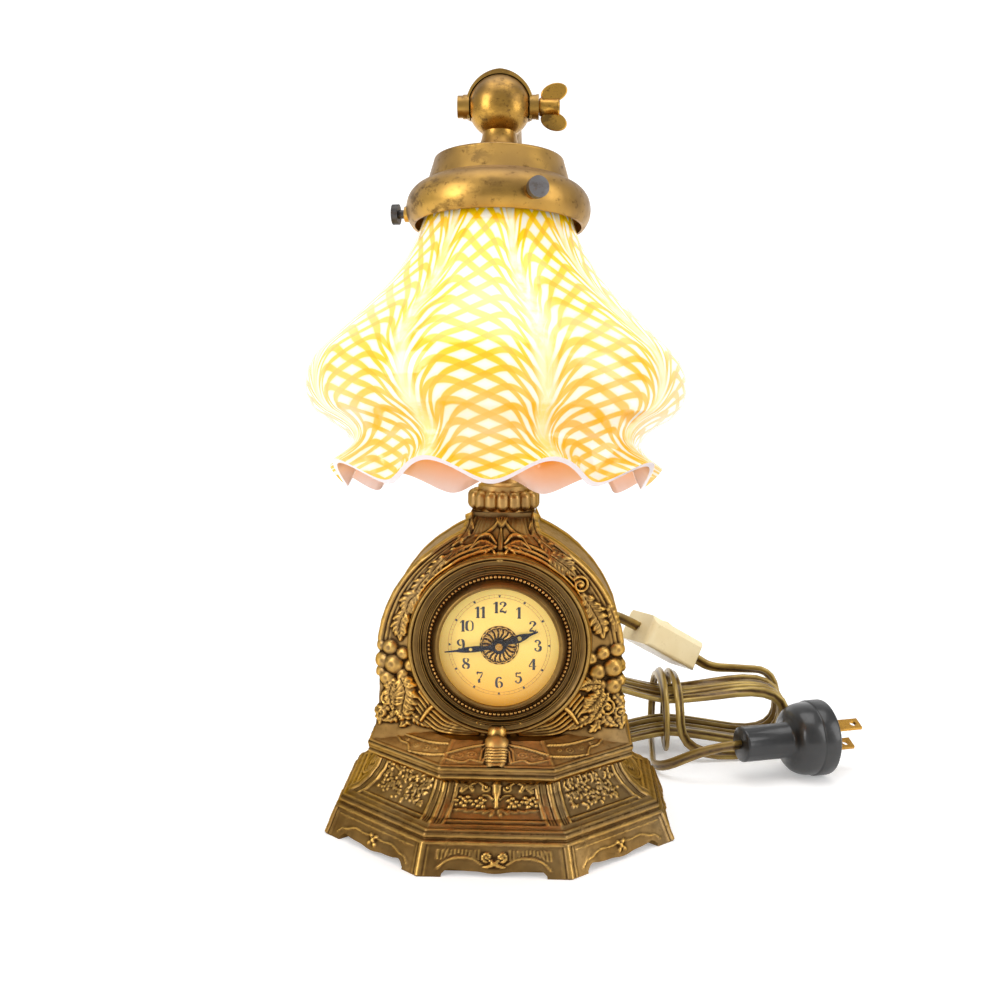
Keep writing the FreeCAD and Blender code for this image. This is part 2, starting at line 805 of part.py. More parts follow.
def clock_cylinder(name, radius, back, front, x=0, y=0):
    return clock_place(add("Part::Cylinder", name, Radius=radius, Height=front - back),
                       back, x, y)


# Tooth proportions, as shares of the module and of the tooth spacing.
ADDENDUM_SHARE = 0.85
DEDENDUM_SHARE = 1.2
TOOTH_HALF_SHARES = (0.27, 0.19, 0.08)


def gear(name, teeth, pitch_radius, thickness, bore=0):
    """A spur wheel about its own Z, with its first tooth on +X."""
    module = pitch_radius * 2 / teeth
    arc = pitch_radius * (2 * math.pi / float(teeth))
    root = pitch_radius - module * DEDENDUM_SHARE
    tip = pitch_radius + module * ADDENDUM_SHARE
    half_root, half_pitch, half_tip = (arc * share for share in TOOTH_HALF_SHARES)
    body = new_body(name)
    blank = body.newObject("PartDesign::AdditiveCylinder", name + "_blank")
    bind(blank, "Radius", root)
    bind(blank, "Height", thickness)
    tooth = body.newObject("PartDesign::Pad", name + "_tooth")
    tooth.Profile = sketch_on(body, "XY_Plane", [
        (root - module / 2, -half_root),
        (pitch_radius, -half_pitch),
        (tip, -half_tip),
        (tip, half_tip),
        (pitch_radius, half_pitch),
        (root - module / 2, half_root),
    ], "tooth_outline")
    bind(tooth, "Length", thickness)
    body.Tip = tooth
    document.recompute()
    ring_of_teeth = body.newObject("PartDesign::PolarPattern", name + "_teeth")
    ring_of_teeth.Originals = [tooth]
    ring_of_teeth.Axis = (origin_item(body, "Z_Axis"), [""])
    ring_of_teeth.Angle = 360
    ring_of_teeth.Occurrences = int(teeth)
    ring_of_teeth.setExpression("Occurrences", teeth.text)
    body.Tip = ring_of_teeth
    if bore:
        hole = add("Part::Cylinder", name + "_bore", Radius=bore, Height=thickness)
        body = cut(name + "_bored", body, hole)
    return body


skirt_radius = L.drum_radius - L.drum_wall - L.clock_gap
skirt_inner = skirt_radius - L.bezel_skirt_wall
crystal_top = L.crystal_seat + L.crystal_thickness
bezel = revolved("bezel", [
    (skirt_radius, -L.bezel_skirt_depth),
    (skirt_radius, 0),
    (L.bezel_radius, 0),
    (L.bezel_radius, L.bezel_flange_thickness),
    (L.bezel_bead_radius + L.bezel_bead_size, L.bezel_flange_thickness + L.bezel_bead_size / 2),
    (L.bezel_bead_radius - L.bezel_bead_size, L.bezel_flange_thickness + L.bezel_bead_size / 2),
    (L.bezel_opening_radius + L.bezel_band, L.bezel_front, L.bezel_front),
    (L.bezel_opening_radius, crystal_top + L.clock_gap),
    (L.crystal_radius + L.clock_gap, crystal_top + L.clock_gap),
    (skirt_inner, L.crystal_seat - L.crystal_thickness),
    (skirt_inner, -L.bezel_skirt_depth),
])
keep(clock_place(bezel), "clock_bezel")
dome = (L.bezel_opening_radius * L.bezel_opening_radius
        + L.crystal_rise * L.crystal_rise) / (L.crystal_rise * 2)
crystal = revolved("crystal", [
    (0, L.crystal_seat + L.crystal_rise),
    (L.bezel_opening_radius, L.crystal_seat, -dome),
    (L.crystal_radius, L.crystal_seat),
    (L.crystal_radius, crystal_top),
    (L.bezel_opening_radius, crystal_top),
    (0, crystal_top + L.crystal_rise, dome),
])
keep(clock_place(crystal), "clock_crystal")

dial_disc = clock_cylinder("dial_disc", skirt_inner - L.clock_gap, -L.dial_thickness, 0)
dial_feet = []
DIAL_FEET_BEARINGS = (0, 135, 225)
for number, bearing in enumerate(DIAL_FEET_BEARINGS):
    x, y, turn = around(L.pillar_place - L.pillar_radius, 180 - bearing)
    dial_feet.append(clock_cylinder(
        f"dial_foot_{number}", L.pillar_radius / 2, -L.front_plate_depth, 0, x, y))
dial_hole = clock_cylinder("dial_hole", L.dial_hole_radius, -L.dial_thickness - L.overrun,
                           L.overrun)
keep(cut("dial", fuse("dial_footed", dial_disc, *dial_feet), dial_hole), "clock_dial")
medallion_disc = clock_cylinder("medallion_disc", L.medallion_radius, 0, L.medallion_thickness)
keep(cut("medallion", medallion_disc, dial_hole), "dial_medallion")

drum_front = -L.bezel_skirt_depth
drum_tube = clock_cylinder("drum_tube", L.drum_radius, -L.drum_depth, -L.clock_gap)
drum_inside = clock_cylinder("drum_inside", L.drum_radius - L.drum_wall,
                             -L.drum_depth - L.overrun, L.overrun)
keep(cut("drum", drum_tube, drum_inside), "movement_drum")

front_plate_back = -L.front_plate_depth - L.movement_plate_thickness
back_plate_front = front_plate_back - L.pillar_length
back_plate_back = back_plate_front - L.movement_plate_thickness
drum_back_front = L.drum_wall - L.drum_depth
arbor_hole = clock_cylinder(
    "arbor_hole", L.centre_arbor_radius + L.arbor_hole_gap, -L.drum_depth - L.overrun, 0)
winding_hole = clock_cylinder(
    "winding_hole", L.winding_arbor_radius + L.arbor_hole_gap, -L.drum_depth - L.overrun, 0,
    0, -L.great_wheel_distance)
staff_hole = clock_cylinder(
    "staff_hole", L.balance_staff_radius + L.arbor_hole_gap, -L.drum_depth - L.overrun, 0,
    0, L.balance_distance)
drum_back = clock_cylinder("drum_back", L.drum_radius - L.drum_wall - L.clock_gap,
                           -L.drum_depth, drum_back_front)
keep(cut("drum_cover", drum_back, group("drum_back_holes", arbor_hole, winding_hole, staff_hole)),
     "movement_cover")

pillars, pillar_tails = [], []
for number in range(4):
    x, y, turn = around(L.pillar_place, 45 + 90 * number)
    pillars.append(clock_cylinder(f"pillar_{number}", L.pillar_radius, drum_back_front,
                                  front_plate_back, x, y))
    pillar_tails.append(clock_cylinder(
        f"pillar_hole_{number}", L.pillar_radius + L.arbor_hole_gap / 2, drum_back_front,
        back_plate_front + L.overrun, x, y))
keep(group("pillar_set", *pillars), "plate_pillars")
stud = clock_cylinder("minute_stud", L.minute_stud_radius, -L.front_plate_depth,
                      -L.hour_wheel_depth + L.wheel_thickness / 2, L.motion_centre_distance)
front_disc = clock_cylinder("front_disc", L.plate_radius, front_plate_back,
                            -L.front_plate_depth)
keep(fuse("front_plate", cut("front_plate_bored", front_disc, group(
    "front_plate_holes", arbor_hole, winding_hole)), stud), "front_plate")
back_disc = clock_cylinder("back_disc", L.plate_radius, back_plate_back, back_plate_front)
keep(cut("back_plate", back_disc, group(
    "back_plate_holes", arbor_hole, winding_hole, *pillar_tails)), "back_plate")

# Going train and motion work: the minute arbor turns once an hour, the hour wheel
# once in twelve, and the great wheel once in six.
cannon_pitch = (L.motion_centre_distance * L.cannon_teeth
                / (L.cannon_teeth + L.minute_wheel_teeth))
minute_pitch = L.motion_centre_distance - cannon_pitch
pinion_pitch = (L.motion_centre_distance * L.minute_pinion_teeth
                / (L.minute_pinion_teeth + L.hour_wheel_teeth))
hour_pitch = L.motion_centre_distance - pinion_pitch
centre_pitch = (L.great_wheel_distance * L.centre_pinion_teeth
                / (L.centre_pinion_teeth + L.great_wheel_teeth))
great_pitch = L.great_wheel_distance - centre_pitch


def half_tooth(teeth):
    """The turn that puts a gap where a wheel's tooth was."""
    return FreeCAD.Rotation(Z_AXIS, 180 / float(teeth))


knob_front = -L.drum_depth - L.set_knob_stem
arbor_bar = clock_cylinder("arbor_bar", L.centre_arbor_radius, knob_front - L.set_knob_length,
                           L.cannon_front + L.hand_thickness + L.hand_nut_thickness)
cannon_pipe = clock_cylinder("cannon_pipe", L.cannon_radius,
                             L.clock_gap - L.front_plate_depth, L.cannon_front)
cannon_gear = clock_place(
    gear("cannon_pinion", L.cannon_teeth, cannon_pitch, L.wheel_thickness),
    -L.minute_wheel_depth - L.wheel_thickness)
centre_gear = clock_place(
    gear("centre_pinion", L.centre_pinion_teeth, centre_pitch, L.great_wheel_thickness),
    -L.great_wheel_depth - L.great_wheel_thickness)
keep(fuse("centre_arbor", arbor_bar, cannon_pipe, cannon_gear, centre_gear), "centre_arbor")

minute_gear = clock_place(
    gear("minute_gear", L.minute_wheel_teeth, minute_pitch, L.wheel_thickness),
    -L.minute_wheel_depth - L.wheel_thickness, L.motion_centre_distance, 0,
    half_tooth(L.minute_wheel_teeth))
pinion_gear = clock_place(
    gear("pinion_gear", L.minute_pinion_teeth, pinion_pitch,
         L.minute_wheel_depth - L.hour_wheel_depth + L.wheel_thickness / 2),
    -L.minute_wheel_depth - L.wheel_thickness / 2, L.motion_centre_distance, 0,
    half_tooth(L.minute_pinion_teeth))
stud_hole = clock_cylinder(
    "stud_hole", L.minute_stud_radius + L.arbor_hole_gap, -L.front_plate_depth, 0,
    L.motion_centre_distance)
keep(cut("minute_wheel", fuse("minute_wheel_solid", minute_gear, pinion_gear), stud_hole),
     "minute_wheel")
hour_gear = clock_place(
    gear("hour_gear", L.hour_wheel_teeth, hour_pitch, L.wheel_thickness),
    -L.hour_wheel_depth - L.wheel_thickness / 2)
hour_pipe = clock_cylinder("hour_pipe", L.hour_pipe_radius, -L.hour_wheel_depth,
                           L.hour_pipe_front)
hour_bore = clock_cylinder("hour_bore", L.cannon_radius + L.arbor_hole_gap,
                           -L.front_plate_depth, L.hour_pipe_front + L.overrun)
keep(cut("hour_wheel", fuse("hour_wheel_solid", hour_gear, hour_pipe), hour_bore),
     "hour_wheel")

great_back = -L.great_wheel_depth - L.great_wheel_thickness
great_gear = clock_place(
    gear("great_gear", L.great_wheel_teeth, great_pitch, L.great_wheel_thickness,
         L.great_wheel_bore), great_back, 0, -L.great_wheel_distance,
    half_tooth(L.great_wheel_teeth))
keep(great_gear, "great_wheel")
ratchet = new_body("ratchet")
ratchet_blank = ratchet.newObject("PartDesign::AdditiveCylinder", "ratchet_blank")
bind(ratchet_blank, "Radius", L.ratchet_radius * 0.8)
bind(ratchet_blank, "Height", L.wheel_thickness)
ratchet_tooth = ratchet.newObject("PartDesign::Pad", "ratchet_tooth")
ratchet_tooth.Profile = sketch_on(ratchet, "XY_Plane", [
    (L.ratchet_radius * 0.7, -L.wheel_thickness / 2),
    (L.ratchet_radius, -L.wheel_thickness / 2),
    (L.ratchet_radius * 0.7, L.wheel_thickness * 1.6),
], "ratchet_tooth_outline")
bind(ratchet_tooth, "Length", L.wheel_thickness)
ratchet.Tip = ratchet_tooth
document.recompute()
ratchet_teeth = ratchet.newObject("PartDesign::PolarPattern", "ratchet_teeth")
ratchet_teeth.Originals = [ratchet_tooth]
ratchet_teeth.Axis = (origin_item(ratchet, "Z_Axis"), [""])
ratchet_teeth.Angle = 360
ratchet_teeth.Occurrences = int(L.ratchet_teeth)
ratchet_teeth.setExpression("Occurrences", L.ratchet_teeth.text)
ratchet.Tip = ratchet_teeth
spring_front = great_back - L.wheel_thickness * 2
clock_place(ratchet, spring_front + L.wheel_thickness / 2, 0, -L.great_wheel_distance)
key_front = -L.drum_depth - L.winding_key_stem
winding_bar = clock_cylinder("winding_bar", L.winding_arbor_radius, key_front,
                             front_plate_back + L.movement_plate_thickness / 2, 0,
                             -L.great_wheel_distance)
keep(fuse("winding_arbor", winding_bar, ratchet), "winding_arbor")
spring_coil = clock_cylinder("spring_coil", L.mainspring_radius,
                             spring_front - L.mainspring_width, spring_front, 0,
                             -L.great_wheel_distance)
spring_eye = clock_cylinder("spring_eye", L.mainspring_core_radius,
                            spring_front - L.mainspring_width - L.overrun,
                            spring_front + L.overrun, 0, -L.great_wheel_distance)
spring_post = clock_cylinder("spring_post", L.pillar_radius / 2, back_plate_front,
                             spring_front - L.mainspring_width / 2, 0,
                             -L.great_wheel_distance - L.mainspring_radius + L.pillar_radius)
keep(fuse("mainspring", cut("mainspring_ring", spring_coil, spring_eye), spring_post),
     "mainspring")

staff = clock_cylinder("balance_staff", L.balance_staff_radius,
                       -L.drum_depth + L.drum_wall / 2, back_plate_back - L.clock_gap,
                       0, L.balance_distance)
balance_middle = (back_plate_back + drum_back_front) / 2
balance_disc = clock_cylinder("balance_disc", L.balance_radius,
                              balance_middle - L.balance_thickness / 2,
                              balance_middle + L.balance_thickness / 2, 0, L.balance_distance)
balance_window = group("balance_window", *[
    clock_cylinder(f"balance_gap_{number}", L.balance_radius / 3,
                   balance_middle - L.balance_thickness, balance_middle + L.balance_thickness,
                   L.balance_radius / 2 * side, L.balance_distance)
    for number, side in enumerate((-1, 1))])
keep(fuse("balance", cut("balance_rim", balance_disc, balance_window), staff), "balance_wheel")

regulator_arm = block("regulator_arm", L.regulator_length, L.regulator_width,
                      L.wheel_thickness)
clock_place(regulator_arm, -L.drum_depth - L.clock_gap - L.wheel_thickness, 0,
            L.balance_distance - L.regulator_width / 2)
regulator_hub = clock_cylinder("regulator_hub", L.regulator_width,
                               -L.drum_depth - L.clock_gap - L.wheel_thickness,
                               -L.drum_depth - L.clock_gap, 0, L.balance_distance)
keep(fuse("regulator", regulator_arm, regulator_hub), "regulator_lever")

knob = revolved("knob", [
    (0, 0),
    (L.set_knob_radius * 0.9, 0),
    (L.set_knob_radius, L.set_knob_length * 0.15),
    (L.set_knob_radius, L.set_knob_length * 0.85),
    (L.set_knob_radius * 0.9, L.set_knob_length),
    (0, L.set_knob_length),
])
clock_place(knob, knob_front - L.set_knob_length)
keep(cut("set_knob_bored", knob, clock_cylinder(
    "knob_bore", L.centre_arbor_radius, knob_front - L.set_knob_length,
    knob_front + L.overrun)), "set_knob")
wing = L.winding_key_half_width
key_plate = padded("key_plate", [
    (-L.winding_key_hub_radius * 0.7, 0, L.winding_key_height * 0.6),
    (L.winding_key_hub_radius * 0.7, 0),
    (wing * 0.9, L.winding_key_height * 0.45, L.winding_key_height * 0.6),
    (wing * 0.55, L.winding_key_height, L.winding_key_height * 0.4),
    (0, L.winding_key_height * 0.8),
    (-wing * 0.55, L.winding_key_height),
    (-wing * 0.9, L.winding_key_height * 0.45, L.winding_key_height * 0.4),
], L.winding_key_thickness, 0, -L.dial_plane - key_front,
    L.dial_centre_height - L.great_wheel_distance - L.winding_key_thickness / 2)
key_hub = clock_cylinder("key_hub", L.winding_key_hub_radius,
                         key_front - L.winding_key_height / 2, key_front + L.winding_key_stem / 2,
                         0, -L.great_wheel_distance)
key_bore = clock_cylinder("key_bore", L.winding_arbor_radius, key_front,
                          key_front + L.winding_key_stem, 0, -L.great_wheel_distance)
keep(cut("key", fuse("key_solid", key_plate, key_hub), key_bore), "winding_key")


def hand(name, length, root_share, blade_share, tip_share, depth, bore, bearing):
    """A pierced hand: a swelling openwork blade, its eye, and a point."""
    root, swell, tip = length * root_share, length * blade_share, length * tip_share
    boss = L.hand_boss_radius
    body = padded(name + "_blade", [
        (-boss / 2, 0),
        (boss / 2, 0),
        (boss * 0.25, root),
        (swell, length * 0.52, length),
        (tip, length * 0.78, length),
        (tip / 2, length),
        (-tip / 2, length),
        (-tip, length * 0.78),
        (-swell, length * 0.52, length),
        (-boss * 0.25, root, length),
    ], L.hand_thickness)
    disc = add("Part::Cylinder", name + "_boss", Radius=boss, Height=L.hand_thickness)
    eye = add("Part::Cylinder", name + "_eye", Radius=swell * 0.55, Height=L.hand_thickness)
    place(eye, 0, length * 0.52, 0)
    hole = add("Part::Cylinder", name + "_hole", Radius=bore, Height=L.hand_thickness)
    pierced = cut(name + "_pierced", fuse(name + "_solid", body, disc),
                  group(name + "_piercing", eye, hole))
    return clock_place(pierced, depth, 0, 0, FreeCAD.Rotation(Z_AXIS, -float(bearing)))


keep(hand("minute", L.minute_hand_length, 0.25, 0.055, 0.02, L.cannon_front,
          L.centre_arbor_radius + L.clock_gap, L.minute_hand_bearing), "minute_hand")
keep(hand("hour", L.hour_hand_length, 0.25, 0.1, 0.035,
          L.hour_pipe_front - L.hand_thickness - L.clock_gap,
          L.hour_pipe_radius, L.hour_hand_bearing), "hour_hand")
nut_disc = clock_cylinder("nut_disc", L.hand_nut_radius, L.cannon_front + L.hand_thickness,
                          L.cannon_front + L.hand_thickness + L.hand_nut_thickness)
nut_hole = clock_cylinder("nut_hole", L.centre_arbor_radius, L.cannon_front,
                          L.crystal_seat + L.crystal_rise)
keep(cut("hand_nut", nut_disc, nut_hole), "hand_nut")


# Neck: a gadrooned collar on the abacus, and the hollow arm that rises behind the shade.
collar_top = L.abacus_height + L.collar_height
collar = revolved("collar", [
    (L.arm_radius + L.arm_gap, 0),
    (L.abacus_half_width, 0),
    (L.collar_radius, L.collar_height * 0.12),
    (L.collar_radius, L.collar_height * 0.7),
    (L.collar_cap_radius, L.collar_height * 0.8),
    (L.collar_cap_radius, L.collar_height),
    (L.ferrule_radius, L.collar_height + L.ferrule_height * 0.3, -L.ferrule_height),
    (L.arm_radius + L.arm_gap + L.ferrule_height * 0.2, L.collar_height + L.ferrule_height),
    (L.arm_radius + L.arm_gap, L.collar_height + L.ferrule_height),
])
gadroon_shaft = L.gadroon_half_height - L.gadroon_radius
gadroon_middle = L.collar_height * 0.42


def gadroon_piece(kind, name, height):
    """One third of a gadroon: its round shaft or one of its domed ends."""
    piece = collar.newObject("PartDesign::" + kind, name)
    bind(piece, "Radius", L.gadroon_radius)
    piece.AttachmentSupport = [(origin_item(collar, "XY_Plane"), "")]
    piece.MapMode = "FlatFace"
    piece.AttachmentOffset = FreeCAD.Placement(
        FreeCAD.Vector(float(L.collar_radius), 0, float(height)), UPRIGHT)
    piece.setExpression(".AttachmentOffset.Base.x", L.collar_radius.text)
    piece.setExpression(".AttachmentOffset.Base.z", height.text)
    return piece


shaft = gadroon_piece("AdditiveCylinder", "gadroon_shaft", gadroon_middle - gadroon_shaft)
bind(shaft, "Height", gadroon_shaft * 2)
gadroon_parts = [
    shaft,
    gadroon_piece("AdditiveSphere", "gadroon_foot", gadroon_middle - gadroon_shaft),
    gadroon_piece("AdditiveSphere", "gadroon_head", gadroon_middle + gadroon_shaft),
]
collar.Tip = gadroon_parts[-1]
document.recompute()
gadroons = collar.newObject("PartDesign::PolarPattern", "gadroons")
gadroons.Originals = gadroon_parts
gadroons.Axis = (origin_item(collar, "Z_Axis"), [""])
gadroons.Angle = 360
gadroons.Occurrences = int(L.gadroon_count)
gadroons.setExpression("Occurrences", L.gadroon_count.text)
collar.Tip = gadroons
keep(place(collar, 0, 0, L.abacus_height), "neck_collar")


def arm_sweep(name, radius):
    """A round bar that rises, bends forward in a quarter circle and ends in the yoke."""
    body = new_body(name)
    path = body.newObject("Sketcher::SketchObject", name + "_path")
    path.AttachmentSupport = [(origin_item(body, "YZ_Plane"), "")]
    path.MapMode = "FlatFace"
    bend_foot = L.pivot_height - L.arm_bend_radius
    low = FreeCAD.Vector(0, float(L.arm_low_end), 0)
    foot = FreeCAD.Vector(0, float(bend_foot), 0)
    centre = FreeCAD.Vector(-float(L.arm_bend_radius), float(bend_foot), 0)
    crown = FreeCAD.Vector(-float(L.arm_bend_radius), float(L.pivot_height), 0)
    tip = FreeCAD.Vector(-float(L.arm_tip), float(L.pivot_height), 0)
    path.addGeometry(Part.LineSegment(low, foot), False)
    circle = Part.Circle(centre, Z_AXIS, float(L.arm_bend_radius))
    path.addGeometry(Part.ArcOfCircle(circle, 0, math.pi / 2), False)
    path.addGeometry(Part.LineSegment(crown, tip), False)
    for constraint in (("Coincident", 0, 2, 1, 1), ("Coincident", 1, 2, 2, 1)):
        path.addConstraint(Sketcher.Constraint(*constraint))
    for line, end, across, height in (
        (0, 1, 0, L.arm_low_end),
        (0, 2, 0, bend_foot),
        (2, 1, -L.arm_bend_radius, L.pivot_height),
        (2, 2, -L.arm_tip, L.pivot_height),
    ):
        for kind, length in (("DistanceX", across), ("DistanceY", height)):
            number = path.addConstraint(
                Sketcher.Constraint(kind, -1, 1, line, end, float(length)))
            if isinstance(length, Size):
                path.setExpression(f"Constraints[{number}]", length.text)
    number = path.addConstraint(Sketcher.Constraint("Radius", 1, float(L.arm_bend_radius)))
    path.setExpression(f"Constraints[{number}]", L.arm_bend_radius.text)
    section = body.newObject("Sketcher::SketchObject", name + "_section")
    section.AttachmentSupport = [(origin_item(body, "XY_Plane"), "")]
    section.MapMode = "FlatFace"
    section.AttachmentOffset = FreeCAD.Placement(
        FreeCAD.Vector(0, 0, float(L.arm_low_end)), UPRIGHT)
    section.setExpression(".AttachmentOffset.Base.z", L.arm_low_end.text)
    section.addGeometry(Part.Circle(FreeCAD.Vector(0, 0, 0), Z_AXIS, float(radius)), False)
    section.addConstraint(Sketcher.Constraint("Coincident", 0, 3, -1, 1))
    number = section.addConstraint(Sketcher.Constraint("Radius", 0, float(radius)))
    section.setExpression(f"Constraints[{number}]", radius.text)
    document.recompute()
    pipe = body.newObject("PartDesign::AdditivePipe", name + "_pipe")
    pipe.Profile = section
    pipe.Spine = (path, [])
    return body


keep(cut("arm", arm_sweep("arm_outside", L.arm_radius), arm_sweep("arm_bore", L.arm_bore_radius)),
     "arm_tube")
nut_blank = document.addObject("Part::Prism", "arm_nut_blank")
nut_blank.Polygon = 6
bind(nut_blank, "Circumradius", L.arm_nut_half_width)
bind(nut_blank, "Height", L.arm_nut_thickness)
place(nut_blank, 0, 0, nut_low)
keep(cut("arm_nut", nut_blank, neck_bore), "arm_nut")

# Yoke: a pointed hood round the back of the ball, with an ear for the bolt each side.
PIVOT_Y = -L.pivot_forward


def at_pivot(item, x=0, y=0, z=0, turn=UPRIGHT):
    return place(item, x, PIVOT_Y + y, L.pivot_height + z, turn)


def pivot_bar(name, radius, left, right):
    """A round bar along X through the pivot's axis."""
    return at_pivot(add("Part::Cylinder", name, Radius=radius, Height=right - left),
                    left, 0, 0, SIDEWAYS)


arch_left = at_pivot(add("Part::Sphere", "arch_left", Radius=L.yoke_arch_radius),
                     -L.yoke_arch_offset)
arch_right = at_pivot(add("Part::Sphere", "arch_right", Radius=L.yoke_arch_radius),
                      L.yoke_arch_offset)
hood_reach = L.yoke_arch_radius + L.yoke_arch_offset
hood_room = block("hood_room", hood_reach * 2, L.yoke_front_reach + hood_reach,
                  L.yoke_low_edge + hood_reach, -hood_reach,
                  PIVOT_Y - L.yoke_front_reach, L.pivot_height - L.yoke_low_edge)
hood = common("hood", arch_left, arch_right, hood_room)
collar_back = place(
    add("Part::Cylinder", "yoke_collar", Radius=L.yoke_collar_radius,
        Height=L.pivot_forward - L.yoke_collar_back - L.ball_radius * 0.8),
    0, PIVOT_Y + L.ball_radius * 0.8, L.pivot_height, BACKWARD)
ears = pivot_bar("ears", L.ear_radius, -L.ear_face, L.ear_face)
ball_room = at_pivot(add("Part::Sphere", "ball_room", Radius=L.ball_radius + L.yoke_gap))
bolt_hole = pivot_bar("bolt_hole", L.bolt_radius + L.hinge_gap, -L.pivot_forward,
                      L.pivot_forward)
arm_socket = place(
    add("Part::Cylinder", "arm_socket", Radius=L.arm_radius + L.arm_gap,
        Height=L.arm_tip - L.yoke_collar_back + L.overrun),
    0, -L.arm_tip, L.pivot_height, BACKWARD)
wire_way = place(
    add("Part::Cylinder", "wire_way", Radius=L.arm_bore_radius, Height=L.pivot_forward),
    0, PIVOT_Y, L.pivot_height, BACKWARD)
keep(cut("yoke", fuse("yoke_solid", hood, collar_back, ears),
         fuse("yoke_cuts", ball_room, bolt_hole, arm_socket, wire_way)), "swivel_yoke")
bolt_shank = pivot_bar("bolt_shank", L.bolt_radius, -L.ear_face,
                       L.ear_face + L.washer_thickness + L.wing_hub_length + L.nut_gap)
bolt_head = pivot_bar("bolt_head", L.bolt_head_radius, -L.ear_face - L.bolt_head_thickness,
                      -L.ear_face)
keep(fuse("bolt", bolt_shank, bolt_head), "swivel_bolt")
washer_disc = pivot_bar("washer_disc", L.washer_radius, L.ear_face,
                        L.ear_face + L.washer_thickness)
keep(cut("washer", washer_disc, bolt_hole), "swivel_washer")

wing_base = L.ear_face + L.washer_thickness + L.nut_gap
wing_hub = pivot_bar("wing_hub", L.wing_hub_radius, wing_base, wing_base + L.wing_hub_length)
wing_pair = []
for side in (-1, 1):
    root = L.wing_hub_radius * 0.5 * side
    tip = L.wing_half_height * side
    bend = L.wing_half_height * 0.72 * side
    corners = [
        (wing_base + L.wing_hub_length * 0.15, root),
        (wing_base + L.wing_hub_length * 0.9, root),
        (wing_base + L.wing_width + L.wing_lean * 0.4, bend),
        (wing_base + L.wing_width * 0.62 + L.wing_lean * 0.4, tip, L.wing_width * 0.5 * side),
        (wing_base + L.wing_lean * 0.6, bend, L.wing_width * 0.5 * side),
    ]
    wing_pair.append(at_pivot(
        padded("wing_low" if side < 0 else "wing_high", corners, L.wing_thickness),
        0, L.wing_thickness / 2, 0, FACING))
keep(cut("wing", fuse("wing_solid", wing_hub, *wing_pair), bolt_hole), "wing_nut")


# Head: every piece is made about the head's own axis, with the pivot as its origin
# and distances running down it, and then leans with the head.
HEAD_LEAN = FreeCAD.Rotation(X_AXIS, -float(L.head_lean))


def on_head(item, label):
    item.Placement = FreeCAD.Placement(
        FreeCAD.Vector(0, float(PIVOT_Y), float(L.pivot_height)), HEAD_LEAN)
    item.setExpression(".Placement.Base.y", PIVOT_Y.text)
    item.setExpression(".Placement.Base.z", L.pivot_height.text)
    item.setExpression(".Placement.Rotation.Angle", (-L.head_lean).text)
    return keep(item, label)


ball = add("Part::Sphere", "ball_sphere", Radius=L.ball_radius)
ball_bolt_hole = place(
    add("Part::Cylinder", "ball_bolt_hole", Radius=L.bolt_radius + L.hinge_gap,
        Height=L.ball_radius * 2 + L.overrun), -L.ball_radius - L.overrun / 2, 0, 0, SIDEWAYS)
ball_foot_top = L.ball_foot_thickness - L.holder_top
ball_neck = revolved("ball_neck", [
    (0, -L.ball_radius * 0.8),
    (L.ball_neck_radius, -L.ball_radius * 0.8),
    (L.ball_foot_radius, ball_foot_top, L.ball_radius),
    (L.ball_foot_radius, -L.holder_top),
    (0, -L.holder_top),
])
on_head(cut("ball", fuse("ball_solid", ball, ball_neck), ball_bolt_hole), "swivel_ball")

wall = L.holder_wall
holder = revolved("holder", [
    (L.holder_hole_radius, -L.holder_top),
    (L.holder_hole_radius, -L.holder_top - wall),
    (L.holder_top_radius - wall, -L.holder_top - wall),
    (L.holder_band_radius - wall, -L.holder_band_low - wall),
    (L.holder_bulge_radius - wall, -L.holder_bulge, -L.holder_shoulder_curve),
    (L.holder_rim_radius - wall, -L.holder_rim, -L.holder_rim_curve),
    (L.holder_rim_radius, -L.holder_rim),
    (L.holder_bulge_radius, -L.holder_bulge, L.holder_rim_curve),
    (L.holder_step_radius, -L.holder_band_low - wall, L.holder_shoulder_curve),
    (L.holder_band_radius, -L.holder_band_low),
    (L.holder_top_radius, -L.holder_top - wall),
    (L.holder_top_radius - wall, -L.holder_top, wall),
])
screw_bosses, screw_holes = [], []
SCREW_TURN = 360 / 3


def radial_bar(name, radius, near, far, number):
    """A round bar that runs out from the head's axis at one of the three screws."""
    bearing = float(L.screw_bearing) + SCREW_TURN * number
    x, y, turn = around(near, bearing, FACING)
    item = add("Part::Cylinder", name, Radius=radius, Height=far - near)
    return place(item, x, y, -L.screw_level, turn)


for number in range(3):
    screw_bosses.append(radial_bar(f"screw_boss_{number}", L.holder_boss_radius,
                                   L.holder_bulge_radius - wall * 2, L.holder_boss_reach, number))
    screw_holes.append(radial_bar(f"screw_hole_{number}", L.screw_radius + L.screw_gap,
                                  L.shade_neck_radius, L.screw_neck_end, number))
on_head(cut("holder_bored", fuse("holder_bossed", holder, *screw_bosses),
            group("screw_holes", *screw_holes)), "shade_holder")
SCREW_NAMES = ("thumbscrew_front", "thumbscrew_back", "thumbscrew_left")
for number, label in enumerate(SCREW_NAMES):
    shank = radial_bar(f"screw_shank_{number}", L.screw_radius, L.screw_tip,
                       L.screw_neck_end, number)
    head = radial_bar(f"screw_head_{number}", L.screw_head_radius, L.screw_neck_end,
                      L.screw_neck_end + L.screw_head_thickness, number)
    on_head(fuse(f"screw_{number}", shank, head), label)

